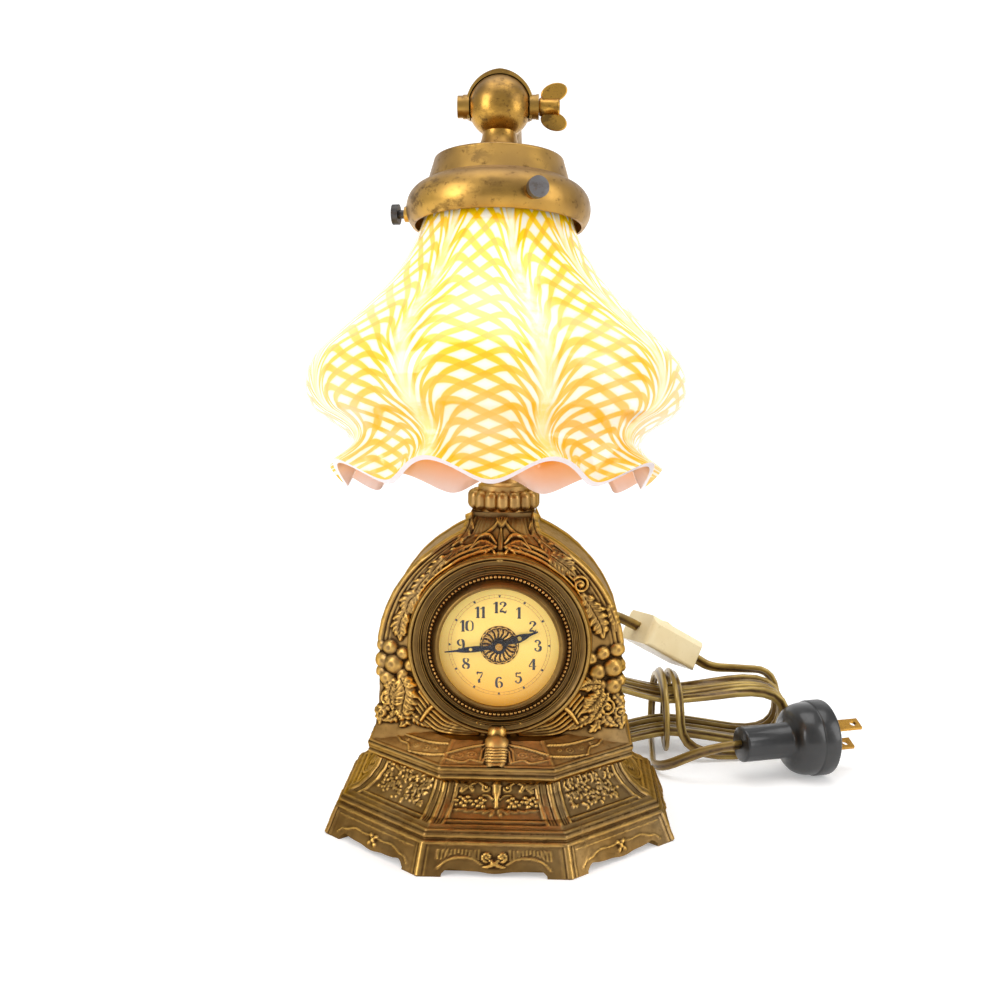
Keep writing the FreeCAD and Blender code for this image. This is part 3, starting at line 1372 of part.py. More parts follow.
# Lampholder under the holder's top, and the bulb in it.
nipple = revolved("nipple", [
    (L.arm_bore_radius * 0.7, -L.holder_top),
    (L.nipple_radius, -L.holder_top),
    (L.nipple_radius, -L.holder_top - L.nipple_length),
    (L.arm_bore_radius * 0.7, -L.holder_top - L.nipple_length),
])
on_head(nipple, "holder_nipple")
cap_wall = L.socket_wall
on_head(revolved("socket_cap", [
    (L.nipple_radius + L.socket_fit_gap, -L.socket_cap_top),
    (L.nipple_radius + L.socket_fit_gap, -L.socket_cap_top - cap_wall),
    (L.socket_cap_radius * 0.7, -L.socket_cap_top - cap_wall),
    (L.socket_cap_radius - cap_wall, -L.socket_cap_low * 0.85, -L.socket_cap_radius),
    (L.socket_cap_radius - cap_wall, -L.socket_cap_low),
    (L.socket_cap_radius, -L.socket_cap_low),
    (L.socket_cap_radius, -L.socket_cap_low * 0.85),
    (L.socket_cap_radius * 0.7, -L.socket_cap_top, L.socket_cap_radius),
]), "socket_cap")
on_head(revolved("socket_shell", [
    (L.socket_shell_radius, -L.socket_cap_low * 0.9),
    (L.socket_shell_radius, -L.socket_low),
    (L.socket_shell_radius - cap_wall, -L.socket_low),
    (L.socket_shell_radius - cap_wall, -L.socket_cap_low * 0.9),
]), "socket_shell")
liner_radius = L.socket_shell_radius - cap_wall - L.socket_fit_gap
on_head(revolved("socket_liner", [
    (liner_radius, -L.socket_cap_low * 0.92),
    (liner_radius, -L.socket_low),
    (liner_radius - L.liner_wall, -L.socket_low),
    (liner_radius - L.liner_wall, -L.socket_cap_low * 0.92),
]), "socket_liner")
on_head(revolved("socket_core", [
    (0, -L.socket_cap_low),
    (L.socket_core_radius, -L.socket_cap_low),
    (L.socket_core_radius, -L.socket_low * 0.95),
    (L.bulb_cap_radius + L.socket_fit_gap, -L.socket_low * 0.95),
    (L.bulb_cap_radius + L.socket_fit_gap, -L.socket_core_low),
    (0, -L.socket_core_low),
]), "socket_core")
on_head(revolved("bulb_cap", [
    (0, -L.bulb_cap_top),
    (L.bulb_contact_radius, -L.bulb_cap_top),
    (L.bulb_contact_radius * 2, -L.bulb_cap_top - L.bulb_contact_radius / 2),
    (L.bulb_cap_radius, -L.bulb_cap_top - L.bulb_contact_radius),
    (L.bulb_cap_radius, -L.bulb_cap_low),
    (0, -L.bulb_cap_low),
]), "bulb_cap")
bulb_inner = L.bulb_radius - L.bulb_wall
neck_inner = L.bulb_neck_radius - L.bulb_wall
on_head(revolved("bulb", [
    (0, -L.bulb_centre - L.bulb_radius),
    (L.bulb_radius, -L.bulb_centre, L.bulb_radius),
    (L.bulb_neck_radius + L.bulb_wall, -L.bulb_cap_low - L.bulb_neck_radius * 0.5,
     L.bulb_radius * 1.3),
    (L.bulb_neck_radius, -L.bulb_cap_low),
    (neck_inner, -L.bulb_cap_low),
    (L.bulb_neck_radius, -L.bulb_cap_low - L.bulb_neck_radius * 0.5),
    (bulb_inner, -L.bulb_centre, -L.bulb_radius * 1.3),
    (0, -L.bulb_centre - bulb_inner, -bulb_inner),
]), "bulb_glass")


# Glass shade: a turned bell with a drawn waist, and a ruffled skirt that flares from it.
# Stations run from the neck to the widest ring, on to the waist and out to the rim; each
# gives its share of the way down, its share of the way out or in, how far the arc that
# arrives there bulges outwards as a share of its chord, and its share of the ruffle.
BELL_SHARES = ((0, 0, 0, 0), (0.53, 0.458, -0.068, 0), (0.806, 0.878, 0, 0))
DRAWN_SHARES = ((0, 0, 0.0995, 0), (0.512, 0.325, 0.115, 0), (0.785, 0.85, 0, 0.16))
FLARE_SHARES = ((0, 0, 0, 0.3), (0.4545, 0.2, 0, 0.6), (1, 1, 0, 1))
POINTS_PER_LOBE = 4


def shade_stations():
    """The outside as rows of radius, distance down the axis, bulge and ruffle."""
    stations = [(L.shade_lip_radius, L.shade_top, 0, 0)]
    spans = (
        (BELL_SHARES, L.shade_neck_radius, L.shade_neck, L.shade_widest_radius, L.shade_widest),
        (DRAWN_SHARES, L.shade_widest_radius, L.shade_widest, L.shade_waist_radius,
         L.shade_waist),
        (FLARE_SHARES, L.shade_waist_radius, L.shade_waist, L.shade_rim_radius, L.shade_rim),
    )
    for shares, near_radius, near, far_radius, far in spans:
        for down, out, bulge, ruffle in shares:
            stations.append((float(near_radius + (far_radius - near_radius) * out),
                             float(near + (far - near) * down), bulge, ruffle))
    return stations


def slope(start, end):
    """The profile's direction where it arrives at a station, from the axis outwards."""
    straight = math.atan2(end[0] - start[0], end[1] - start[1])
    return straight - 2 * math.atan(2 * end[2])


def inner_stations(stations):
    """The same stations moved in by the wall, square to the profile."""
    inner = []
    for index, (radius, distance, bulge, ruffle) in enumerate(stations):
        before = stations[max(index - 1, 0)]
        after = stations[min(index + 1, len(stations) - 1)]
        if bulge:
            angle = slope(before, stations[index])
        else:
            angle = math.atan2(after[0] - before[0], after[1] - before[1])
        inner.append((radius - L.shade_wall * math.cos(angle),
                      distance + L.shade_wall * math.sin(angle), bulge, ruffle))
    return inner


def shade_ring(radius, distance, _, ruffle):
    """One closed section of the skirt, with its lobes thrown out and up."""
    start = math.radians(L.shade_ruffle_bearing)
    if not ruffle:
        circle = Part.Circle(FreeCAD.Vector(0, 0, -distance), Z_AXIS, radius)
        ring = circle.toShape()
        ring.rotate(FreeCAD.Vector(), Z_AXIS, math.degrees(start) - 90)
        return Part.Wire(ring)
    points = []
    count = int(L.shade_ruffle_count) * POINTS_PER_LOBE
    for step in range(count):
        lobe = math.cos(2 * math.pi * step / POINTS_PER_LOBE)
        bearing = start + 2 * math.pi * step / count
        reach = radius + L.shade_ruffle_reach * ruffle * lobe
        points.append(FreeCAD.Vector(
            reach * math.sin(bearing), -reach * math.cos(bearing),
            L.shade_ruffle_rise * ruffle * lobe - distance))
    ring = Part.BSplineCurve()
    ring.interpolate(points, PeriodicFlag=True)
    return Part.Wire(ring.toShape())


def shade_wall_faces(stations):
    """One side of the wall: the turned bell, the skirt, and the rings at its two ends."""
    turned = [station for station in stations if not station[3]]
    bell_faces = []
    for start, end in zip(turned, turned[1:]):
        first = FreeCAD.Vector(start[0], 0, -start[1])
        last = FreeCAD.Vector(end[0], 0, -end[1])
        outwards = FreeCAD.Vector(end[1] - start[1], 0, end[0] - start[0])
        middle = (first + last) / 2 + outwards * end[2]
        line = Part.Arc(first, middle, last) if end[2] else Part.LineSegment(first, last)
        edge = line.toShape()
        edge.rotate(FreeCAD.Vector(), Z_AXIS, float(L.shade_ruffle_bearing) - 90)
        bell_faces += edge.revolve(FreeCAD.Vector(), Z_AXIS, 360).Faces
    skirt = [shade_ring(*station) for station in stations[len(turned) - 1:]]
    return bell_faces + Part.makeLoft(skirt, False, False).Faces, (
        shade_ring(*turned[0]), skirt[-1])


def shade_solid():
    outside = shade_stations()
    outer_faces, outer_rings = shade_wall_faces(outside)
    inner_faces, inner_rings = shade_wall_faces(inner_stations(outside))
    faces = outer_faces + inner_faces
    for outer_ring, inner_ring in zip(outer_rings, inner_rings):
        faces.append(Part.makeRuledSurface(outer_ring.Edges[0], inner_ring.Edges[0]))
    shell = Part.makeShell(faces)
    shell.sewShape()
    return Part.makeSolid(shell)


shade = document.addObject("Part::Feature", "shade")
shade.Shape = shade_solid()
on_head(shade, "glass_shade")


# Cord. Every free stretch is straight runs joined by tangent arcs, each arc taking
# the same share of the shorter run beside it.
CORD_ARC_SHARE = 0.45
CORD_SECTION_AREA = (L.cord_sides / 2 * (L.cord_diameter / 2) ** 2
                     * math.sin(2 * math.pi / L.cord_sides))
cord_length = 0.0


def cord_edges(points):
    """The edges of a route, and the radius of each of its arcs."""
    edges, radii, start = [], [], points[0]
    for before, corner, after in zip(points, points[1:], points[2:]):
        arriving, leaving = corner - before, after - corner
        half_turn = arriving.getAngle(leaving) / 2
        reach = min(arriving.Length, leaving.Length) * CORD_ARC_SHARE
        radius = reach / math.tan(half_turn)
        arriving.normalize()
        leaving.normalize()
        middle = corner + (leaving - arriving).normalize() * (
            radius / math.cos(half_turn) - radius)
        first, last = corner - arriving * reach, corner + leaving * reach
        edges.append(Part.LineSegment(start, first).toShape())
        edges.append(Part.Arc(first, middle, last).toShape())
        radii.append(radius)
        start = last
    edges.append(Part.LineSegment(start, points[-1]).toShape())
    return edges, radii


def cord_tube(label, points):
    """A length of cord along its route, as one swept tube."""
    global cord_length
    edges, radii = cord_edges(points)
    path = document.addObject("Part::Feature", label + "_path")
    path.Shape = Part.Wire(edges)
    section = document.addObject("Part::RegularPolygon", label + "_section")
    section.Polygon = int(L.cord_sides)
    section.setExpression("Polygon", L.cord_sides.text)
    bind(section, "Circumradius", L.cord_diameter / 2)
    start = FreeCAD.Rotation(Z_AXIS, points[1] - points[0])
    place(section, points[0].x, points[0].y, points[0].z, start)
    tube = document.addObject("Part::Sweep", label + "_tube")
    tube.Sections = [section]
    tube.Spine = (path, [f"Edge{number}" for number in range(1, len(edges) + 1)])
    tube.Solid = True
    tube.Frenet = False
    document.recompute()
    length = path.Shape.Length
    cord_length += length
    share = tube.Shape.Volume / (CORD_SECTION_AREA * length)
    print(f"{label}: {length:.1f} mm, tightest arc {min(radii):.1f} mm, volume share {share:.4f}")
    return keep(tube, label)


def points_of(*rows):
    return [FreeCAD.Vector(*(float(value) for value in row)) for row in rows]


# Switch on the cord, in two halves, with its rocker on top.
switch_turn = FreeCAD.Rotation(Z_AXIS, float(L.switch_yaw)).multiply(
    FreeCAD.Rotation(Y_AXIS, float(L.switch_dip)))
switch_frame = FreeCAD.Placement(FreeCAD.Vector(
    float(L.switch_across), float(L.switch_back), float(L.switch_up)), switch_turn)


def in_frame(frame, item, x=0, y=0, z=0, turn=UPRIGHT):
    """Places a shape in the local frame of the switch or the plug."""
    local = FreeCAD.Placement(FreeCAD.Vector(float(x), float(y), float(z)), turn)
    item.Placement = frame.multiply(local)
    return item


half_switch = L.switch_length / 2
half_wide = L.switch_width / 2
half_tall = L.switch_height / 2
corner = L.switch_corner
switch_plan = in_frame(switch_frame, padded("switch_plan", [
    (corner - half_switch, -half_wide, corner),
    (half_switch - corner, -half_wide),
    (half_switch, corner - half_wide, corner),
    (half_switch, half_wide - corner),
    (half_switch - corner, half_wide, corner),
    (corner - half_switch, half_wide),
    (-half_switch, half_wide - corner, corner),
    (-half_switch, corner - half_wide),
], L.switch_height), 0, 0, -half_tall)
edge = corner * 0.6
switch_end = in_frame(switch_frame, padded("switch_end", [
    (edge - half_wide, -half_tall, edge),
    (half_wide - edge, -half_tall),
    (half_wide, edge - half_tall, edge),
    (half_wide, half_tall - corner),
    (half_wide - corner, half_tall),
    (corner - half_wide, half_tall),
    (-half_wide, half_tall - corner),
    (-half_wide, edge - half_tall),
], L.switch_length), -half_switch, 0, 0, PROFILE)
switch_form = common("switch_form", switch_plan, switch_end)
switch_low_room = in_frame(
    switch_frame, add("Part::Box", "switch_low_room", Length=L.switch_length,
                      Width=L.switch_width, Height=half_tall), -half_switch, -half_wide, -half_tall)
keep(common("switch_low", switch_form, switch_low_room), "switch_body")
rocker_pivot = half_tall - L.rocker_pivot_depth
rocker_room = in_frame(
    switch_frame, add("Part::Cylinder", "rocker_room", Radius=L.rocker_radius + L.rocker_gap,
                      Height=L.rocker_width + L.rocker_gap * 2),
    0, L.rocker_width / 2 + L.rocker_gap, rocker_pivot, FACING)
keep(cut("switch_high", cut("switch_top", switch_form, switch_low_room), rocker_room),
     "switch_cover")
rocker_top = L.rocker_pivot_depth + L.rocker_rise
rocker_drop = L.rocker_rise
rocker_disc = in_frame(
    switch_frame, add("Part::Cylinder", "rocker_disc", Radius=L.rocker_radius,
                      Height=L.rocker_width), 0, L.rocker_width / 2, rocker_pivot, FACING)
rocker_roof = in_frame(switch_frame, padded("rocker_roof", [
    (-L.rocker_radius, -L.rocker_radius),
    (L.rocker_radius, -L.rocker_radius),
    (L.rocker_radius, rocker_top - rocker_drop),
    (0, rocker_top - rocker_drop / 2),
    (-L.rocker_radius, rocker_top),
], L.rocker_width), 0, L.rocker_width / 2, rocker_pivot, FACING)
keep(common("rocker", rocker_disc, rocker_roof), "switch_rocker")

# Plug: a sleeve, a dome and a grip rim, lying on its rim, with two blades.
plug_turn = FreeCAD.Rotation(Z_AXIS, float(L.plug_yaw)).multiply(SIDEWAYS)
plug_frame = FreeCAD.Placement(FreeCAD.Vector(
    float(L.plug_across), float(L.plug_back), float(L.plug_rim_radius)), plug_turn)
dome_end = L.plug_sleeve_length + L.plug_dome_length
plug_end = dome_end + L.plug_rim_length
plug_form = in_frame(plug_frame, revolved("plug_form", [
    (0, 0),
    (L.plug_sleeve_radius, 0),
    (L.plug_sleeve_radius, L.plug_sleeve_length),
    (L.plug_rim_radius, dome_end, -L.plug_rim_radius),
    (L.plug_rim_radius, plug_end - L.switch_corner / 2),
    (L.plug_face_radius, plug_end),
    (0, plug_end),
]))
blades, blade_slots = [], []
blade_turn = FreeCAD.Rotation(Z_AXIS, float(L.plug_roll))
for number, side in enumerate((-1, 1)):
    corner_point = blade_turn.multVec(FreeCAD.Vector(
        float(L.blade_spacing / 2 * side - L.blade_thickness / 2),
        -float(L.blade_width / 2), float(plug_end - L.blade_root)))
    flat = in_frame(plug_frame, add(
        "Part::Box", f"blade_flat_{number}", Length=L.blade_thickness, Width=L.blade_width,
        Height=L.blade_root + L.blade_length), *corner_point, blade_turn)
    slot = in_frame(plug_frame, add(
        "Part::Box", f"blade_slot_{number}", Length=L.blade_thickness, Width=L.blade_width,
        Height=L.blade_root + L.overrun), *corner_point, blade_turn)
    hole_point = blade_turn.multVec(FreeCAD.Vector(
        float(L.blade_spacing / 2 * side - L.blade_width / 2), 0,
        float(plug_end + L.blade_length - L.blade_hole_inset)))
    hole = in_frame(plug_frame, add(
        "Part::Cylinder", f"blade_hole_{number}", Radius=L.blade_hole_radius,
        Height=L.blade_width), *hole_point, blade_turn.multiply(SIDEWAYS))
    blades.append(cut(f"blade_{number}", flat, hole))
    blade_slots.append(slot)
keep(cut("plug", plug_form, group("blade_slots", *blade_slots)), "plug_body")
keep(group("blade_pair", *blades), "plug_blades")

bushing_face = -(back_face - L.bushing_stand)
bushing = revolved("bushing", [
    (0, 0),
    (L.bushing_radius, 0),
    (L.bushing_radius, L.back_plate_thickness),
    (L.bushing_flange_radius, L.back_plate_thickness),
    (L.bushing_flange_radius, L.back_plate_thickness + L.bushing_flange_thickness),
    (L.cord_diameter * 0.7, L.back_plate_thickness + L.bushing_stand),
    (0, L.back_plate_thickness + L.bushing_stand),
], L.bushing_across, -plate_inner, L.bushing_height, BACKWARD)
keep(bushing, "cord_bushing")

# The cord's route, from the bushing through the switch and the hank to the plug.
switch_entry = switch_frame.multVec(FreeCAD.Vector(-float(half_switch), 0, 0))
switch_exit = switch_frame.multVec(FreeCAD.Vector(float(half_switch), 0, 0))
cord_tube("cord_lead", points_of(
    (L.bushing_across, bushing_face, L.bushing_height), (L.bushing_across, 37.5, L.bushing_height),
    (39.8, 52, 80.5), (45.5, 66.5, 75.5), (54.3, 77.4, 72.1), switch_entry))


def hank_point(along, up, across):
    """A point of the hank: along its length, up, and towards the viewer."""
    return FreeCAD.Vector(float(L.hank_across + along), float(L.hank_back - across),
                          float(L.hank_up + up))


HANK_STEP_SHARE = 0.72
right, left, rise = L.hank_right_length, -L.hank_left_length, L.hank_half_height
waist_start, waist_end, waist_rise = (
    L.hank_waist_start, L.hank_waist_end, L.hank_waist_half_height)
hank_start = hank_point(L.hank_start_along, L.hank_start_rise, 0)
hank_points = [hank_start]
for loop in range(int(L.hank_loops)):
    near = L.hank_pitch * loop
    far = near + L.hank_pitch
    hank_points += [hank_point(right, rise, near), hank_point(right, -rise, near)]
    if loop == L.hank_loops - 1:
        break
    hank_points += [
        hank_point(-waist_start, -waist_rise, (near + far) / 2),
        hank_point(-waist_end, -waist_rise, near + L.hank_pitch * HANK_STEP_SHARE),
        hank_point(left, -rise, far),
        hank_point(left, rise, far),
        hank_point(-waist_end, waist_rise, far),
        hank_point(-waist_start, waist_rise, far),
    ]
wrap_front = L.hank_pitch * (L.hank_loops - 1) + L.hank_wrap_clear
wrap_back = -L.hank_wrap_clear
wrap_rise = L.hank_wrap_half_height
for turn in range(int(L.hank_wraps)):
    for quarter, (up, across) in enumerate((
        (-wrap_rise, wrap_front), (wrap_rise, wrap_front), (wrap_rise, wrap_back),
        (-wrap_rise, wrap_back),
    )):
        along = -waist_start - L.hank_wrap_step * (4 * turn + quarter)
        hank_points.append(hank_point(along, up, across))
hank_end = hank_point(
    -waist_start - L.hank_wrap_step * 4 * L.hank_wraps, -wrap_rise, wrap_front * HANK_STEP_SHARE)
hank_points.append(hank_end)
cord_tube("cord_link", [switch_exit] + points_of((95.4, 108.6, 43.9), (103.4, 112, 38.3))
          + [hank_start])
hank = cord_tube("cord_hank", hank_points)
hank_samples = hank.Spine[0].Shape.discretize(Distance=1.5)
least_gap = min(
    first.distanceToPoint(second)
    for number, first in enumerate(hank_samples)
    for second in hank_samples[number + 16:]) - L.cord_diameter
print(f"hank: least gap to itself {least_gap:.2f} mm")
plug_face = FreeCAD.Vector(float(L.plug_across), float(L.plug_back), float(L.plug_rim_radius))
cord_tube("cord_tail", [hank_end] + points_of((71, 50, 2.7), (95.96, 40.53, 18)) + [plug_face])
print(f"cord in all: {cord_length:.0f} mm")

# Every object is checked before anything is written.
document.recompute()
faults = [item.Name for item in document.Objects
          if "Invalid" in item.State or "Error" in item.State]
for item in parts:
    if item.Shape.isNull() or not item.Shape.isValid():
        faults.append(item.Label)
if faults:
    raise RuntimeError("not built: " + ", ".join(faults))
os.makedirs("parts", exist_ok=True)
for item in parts:
    item.Shape.exportStep(f"parts/{item.Label}.step")
print(len(parts), "sub-parts written")
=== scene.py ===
# %% [markdown]
# A desk clock lamp: a cast and gilded case with a small clock in it, a bent arm
# behind, and a tilting head with a ruffled glass shade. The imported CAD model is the
# frame. Every solid is already at its real size there, so each cell below either
# gives a solid its finish or lays a carved, blown or moulded skin over it.

# %% Open the frame
import bmesh
import bpy
import json
import math
import numpy as np
from mathutils import Matrix, Vector


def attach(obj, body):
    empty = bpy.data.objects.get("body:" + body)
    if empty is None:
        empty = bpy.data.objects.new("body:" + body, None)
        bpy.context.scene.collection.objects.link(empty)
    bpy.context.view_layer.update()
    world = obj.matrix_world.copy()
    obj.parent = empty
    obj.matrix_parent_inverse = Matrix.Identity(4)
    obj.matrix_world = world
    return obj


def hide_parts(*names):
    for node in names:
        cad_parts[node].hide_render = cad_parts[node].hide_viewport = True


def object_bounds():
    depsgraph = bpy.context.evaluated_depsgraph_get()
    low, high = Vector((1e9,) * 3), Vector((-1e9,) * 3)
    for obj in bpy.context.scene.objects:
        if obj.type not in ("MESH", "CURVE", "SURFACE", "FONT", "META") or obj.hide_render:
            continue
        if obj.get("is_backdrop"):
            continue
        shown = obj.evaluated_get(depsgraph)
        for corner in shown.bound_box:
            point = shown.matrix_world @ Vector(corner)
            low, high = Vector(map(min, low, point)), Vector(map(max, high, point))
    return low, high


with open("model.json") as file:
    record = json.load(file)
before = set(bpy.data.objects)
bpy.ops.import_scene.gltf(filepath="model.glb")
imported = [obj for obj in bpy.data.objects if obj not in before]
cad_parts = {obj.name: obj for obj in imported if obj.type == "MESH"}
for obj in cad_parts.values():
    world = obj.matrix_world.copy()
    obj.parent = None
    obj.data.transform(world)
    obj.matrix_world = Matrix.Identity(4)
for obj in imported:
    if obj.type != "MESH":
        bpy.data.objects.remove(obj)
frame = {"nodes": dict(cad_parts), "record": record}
cad_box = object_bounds()
MM = 0.001
print("solids:", len(frame["nodes"]), "box:", [round(v / MM, 1) for p in cad_box for v in p])

# %% [markdown]
# The photograph was taken from about six tenths of a metre, a little to the right of
# the lamp and a little above its middle. Such a short distance shows in the picture,
# because near things grow, so the camera stands at that distance and isn't simply
# zoomed in from further off.

# %% Camera
VIEW_DISTANCE = 575.9 * MM
VIEW_HEIGHT = 214.4 * MM
VIEW_ASIDE = -1.6 * MM
VIEW_PITCH = 0.13
VIEW_YAW = 0.04
VIEW_ROLL = 0.007
FOCAL_MM = 48.6
SENSOR_MM = 36
eye = bpy.data.cameras.new("eye")
eye.lens = FOCAL_MM
eye.sensor_width = SENSOR_MM
camera = bpy.data.objects.new("camera", eye)
bpy.context.scene.collection.objects.link(camera)
camera.location = (VIEW_DISTANCE * math.sin(VIEW_YAW) + VIEW_ASIDE,
                   -VIEW_DISTANCE * math.cos(VIEW_YAW), VIEW_HEIGHT)
camera.rotation_euler = (math.pi / 2 - VIEW_PITCH, 0, VIEW_YAW)
camera.rotation_euler.rotate_axis("Z", VIEW_ROLL)
bpy.context.scene.camera = camera
bpy.context.scene.view_settings.view_transform = "Standard"
print("camera at", [round(v, 3) for v in camera.location])

# %% [markdown]
# A finish is a small graph of shader nodes. Most finishes below need the same few
# steps: take a place on the object, feed it to a noise, turn the noise into a mask,
# and mix two colours by it. A short class keeps that from being written many times.
# Places are read as Object coordinates, in metres, so a pattern with marks of five
# millimetres needs a scale of about two hundred.

# %% A finish and its nodes
class Finish:
    """A material, with short ways to add the nodes that most finishes share."""

    def __init__(self, name, **values):
        self.material = bpy.data.materials.new(name)
        self.material.use_nodes = True
        self.tree = self.material.node_tree
        self.shader = self.tree.nodes["Principled BSDF"]
        for socket, value in values.items():
            self.shader.inputs[socket.replace("_", " ")].default_value = value

    def node(self, kind, **settings):
        made = self.tree.nodes.new("ShaderNode" + kind)
        for key, value in settings.items():
            setattr(made, key, value)
        return made

    def join(self, source, target):
        self.tree.links.new(source, target)

    def put(self, value, socket):
        """A number, a colour or another node's output goes into a socket."""
        if isinstance(value, bpy.types.NodeSocket):
            self.join(value, socket)
        else:
            socket.default_value = value

    def places(self):
        return self.node("TexCoord").outputs["Object"]

    def attribute(self, name):
        return self.node("Attribute", attribute_name=name).outputs["Fac"]

    def noise(self, scale, detail=3.0, roughness=0.55, place=None, stretch=None):
        made = self.node("TexNoise")
        made.inputs["Scale"].default_value = scale
        made.inputs["Detail"].default_value = detail
        made.inputs["Roughness"].default_value = roughness
        source = place or self.places()
        if stretch:
            mapping = self.node("Mapping")
            mapping.inputs["Scale"].default_value = stretch
            self.join(source, mapping.inputs["Vector"])
            source = mapping.outputs["Vector"]
        self.join(source, made.inputs["Vector"])
        return made.outputs["Fac"]

    def span(self, value, low, high, start=0.0, end=1.0):
        """A value between low and high becomes one between start and end."""
        made = self.node("MapRange", clamp=True)
        for socket, number in zip(made.inputs[:5], (value, low, high, start, end)):
            self.put(number, socket)
        return made.outputs["Result"]

    def sum(self, kind, first, second):
        made = self.node("Math", operation=kind)
        self.put(first, made.inputs[0])
        self.put(second, made.inputs[1])
        return made.outputs["Value"]

    def mix(self, share, first, second, blend="MIX"):
        made = self.node("Mix", data_type="RGBA", blend_type=blend)
        self.put(share, made.inputs["Factor"])
        self.put(first, made.inputs["A"])
        self.put(second, made.inputs["B"])
        return made.outputs["Result"]

    def mix_value(self, share, a, b):
        """A number that goes from a to b with the share."""
        return self.sum("ADD", self.sum("MULTIPLY", a, self.sum("SUBTRACT", 1.0, share)),
                        self.sum("MULTIPLY", b, share))

    def bump(self, height, depth_mm, strength=1.0):
        made = self.node("Bump")
        made.inputs["Strength"].default_value = strength
        made.inputs["Distance"].default_value = depth_mm * MM
        self.join(height, made.inputs["Height"])
        self.join(made.outputs["Normal"], self.shader.inputs["Normal"])

    def set(self, **values):
        for socket, value in values.items():
            self.put(value, self.shader.inputs[socket.replace("_", " ")])
        return self


def tone(red, green, blue):
    """A colour given as it looks on a screen, from 0 to 1, made linear for the shader."""
    shares = [v / 12.92 if v <= 0.04045 else ((v + 0.055) / 1.055) ** 2.4
              for v in (red, green, blue)]
    return (*shares, 1.0)


print("half grey on a screen is", round(tone(0.5, 0.5, 0.5)[0], 3), "in linear light")

# %% [markdown]
# The lamp stands on a white sheet that runs up behind it. The sheet is plain white in
# its own colour, and where the camera, a mirror-like surface or clear glass looks at
# it, it is shown a little brighter than it is lit, so that it reads as clean white
# while the lamps stay at a plain level. Its shadow under the base is kept.

# %% Floor and backdrop
def sheet_mesh(name, rows):
    """A mesh from rows of points, row by row, with quads between them."""
    rows = np.asarray(rows, float)
    count, width = rows.shape[:2]
    index = np.arange(count * width).reshape(count, width)
    faces = np.stack([index[:-1, :-1], index[:-1, 1:], index[1:, 1:], index[1:, :-1]], -1)
    mesh = bpy.data.meshes.new(name)
    mesh.from_pydata(rows.reshape(-1, 3).tolist(), [], faces.reshape(-1, 4).tolist())
    return mesh


def new_object(name, data):
    """Puts a mesh, a curve or a light into the scene."""
    made = bpy.data.objects.new(name, data)
    bpy.context.scene.collection.objects.link(made)
    return made


SHEET_FRONT, SHEET_BACK = -1.6, 0.75
SHEET_TOP, SHEET_SIDE = 2.2, 2.2
SWEEP_RADIUS, SWEEP_STEPS = 0.35, 12
SHEET_WHITE, SHEET_GLOW = 0.86, 0.32
floor_line = [(SHEET_FRONT, 0.0), (SHEET_BACK, 0.0)]
for step in range(1, SWEEP_STEPS + 1):
    angle = step / SWEEP_STEPS * math.pi / 2
    floor_line.append((SHEET_BACK + SWEEP_RADIUS * math.sin(angle),
                       SWEEP_RADIUS * (1 - math.cos(angle))))
floor_line.append((SHEET_BACK + SWEEP_RADIUS, SHEET_TOP))
floor = new_object("floor", sheet_mesh(
    "floor", [[(x, y, z) for x in (-SHEET_SIDE, SHEET_SIDE)] for y, z in floor_line]))
paper = Finish("white_sheet", Base_Color=(SHEET_WHITE, SHEET_WHITE, SHEET_WHITE, 1), Roughness=0.7)
seen = paper.node("LightPath")
looked_at = paper.sum("MAXIMUM", seen.outputs["Is Camera Ray"], paper.sum(
    "MAXIMUM", seen.outputs["Is Glossy Ray"], seen.outputs["Is Transmission Ray"]))
paper.set(Emission_Color=(1, 1, 1, 1),
          Emission_Strength=paper.sum("MULTIPLY", looked_at, SHEET_GLOW))
floor.data.materials.append(paper.material)
floor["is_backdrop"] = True
print("sheet with a bend of", SWEEP_STEPS, "steps")

# %% [markdown]
# A clock and lamp seller photographs in a light tent: light comes from both sides and
# from above, and metal shows it as broad soft bands. Two tall panels stand left and
# right of the camera, and a third lies over the lamp. The world adds a weak even
# light, so that no side is black.

# %% Lights
LAMP_MIDDLE = Vector((0, -0.03, 0.14))
TENT_LIGHT, TENT_SEEN = 0.55, 1.0


def panel(name, power, size, place):
    """A rectangular light that faces the lamp, in watts and metres."""
    light = bpy.data.lights.new(name, "AREA")
    light.energy = power
    light.shape = "RECTANGLE"
    light.size, light.size_y = size
    made = new_object(name, light)
    made.location = place
    made.rotation_euler = (LAMP_MIDDLE - made.location).to_track_quat("-Z", "Y").to_euler()
    print(name, power, "W at", place)


panel("left_panel", 7.5, (0.5, 0.9), (-0.85, -0.75, 0.55))
panel("right_panel", 4.5, (0.5, 0.9), (0.95, -0.45, 0.5))
panel("top_panel", 6.0, (1.0, 0.8), (0.0, -0.1, 1.15))
world = bpy.data.worlds.new("tent")
world.use_nodes = True
bpy.context.scene.world = world
sky = world.node_tree.nodes["Background"]
sky.inputs["Color"].default_value = (1, 1, 1, 1)
looking = world.node_tree.nodes.new("ShaderNodeLightPath")
shown = world.node_tree.nodes.new("ShaderNodeMapRange")
shown.inputs["To Min"].default_value = TENT_LIGHT
shown.inputs["To Max"].default_value = TENT_SEEN
world.node_tree.links.new(looking.outputs["Is Camera Ray"], shown.inputs["Value"])
world.node_tree.links.new(shown.outputs["Result"], sky.inputs["Strength"])

# %% [markdown]
# The cord is one length of flat twin lead, about 1.7 m. From the bushing behind the
# case it goes down through the switch, into a hank of six loops that two turns of its
# own end hold together, and out along the table to the plug. Each stretch follows a
# smooth NURBS line through the same points as its solid in the frame.

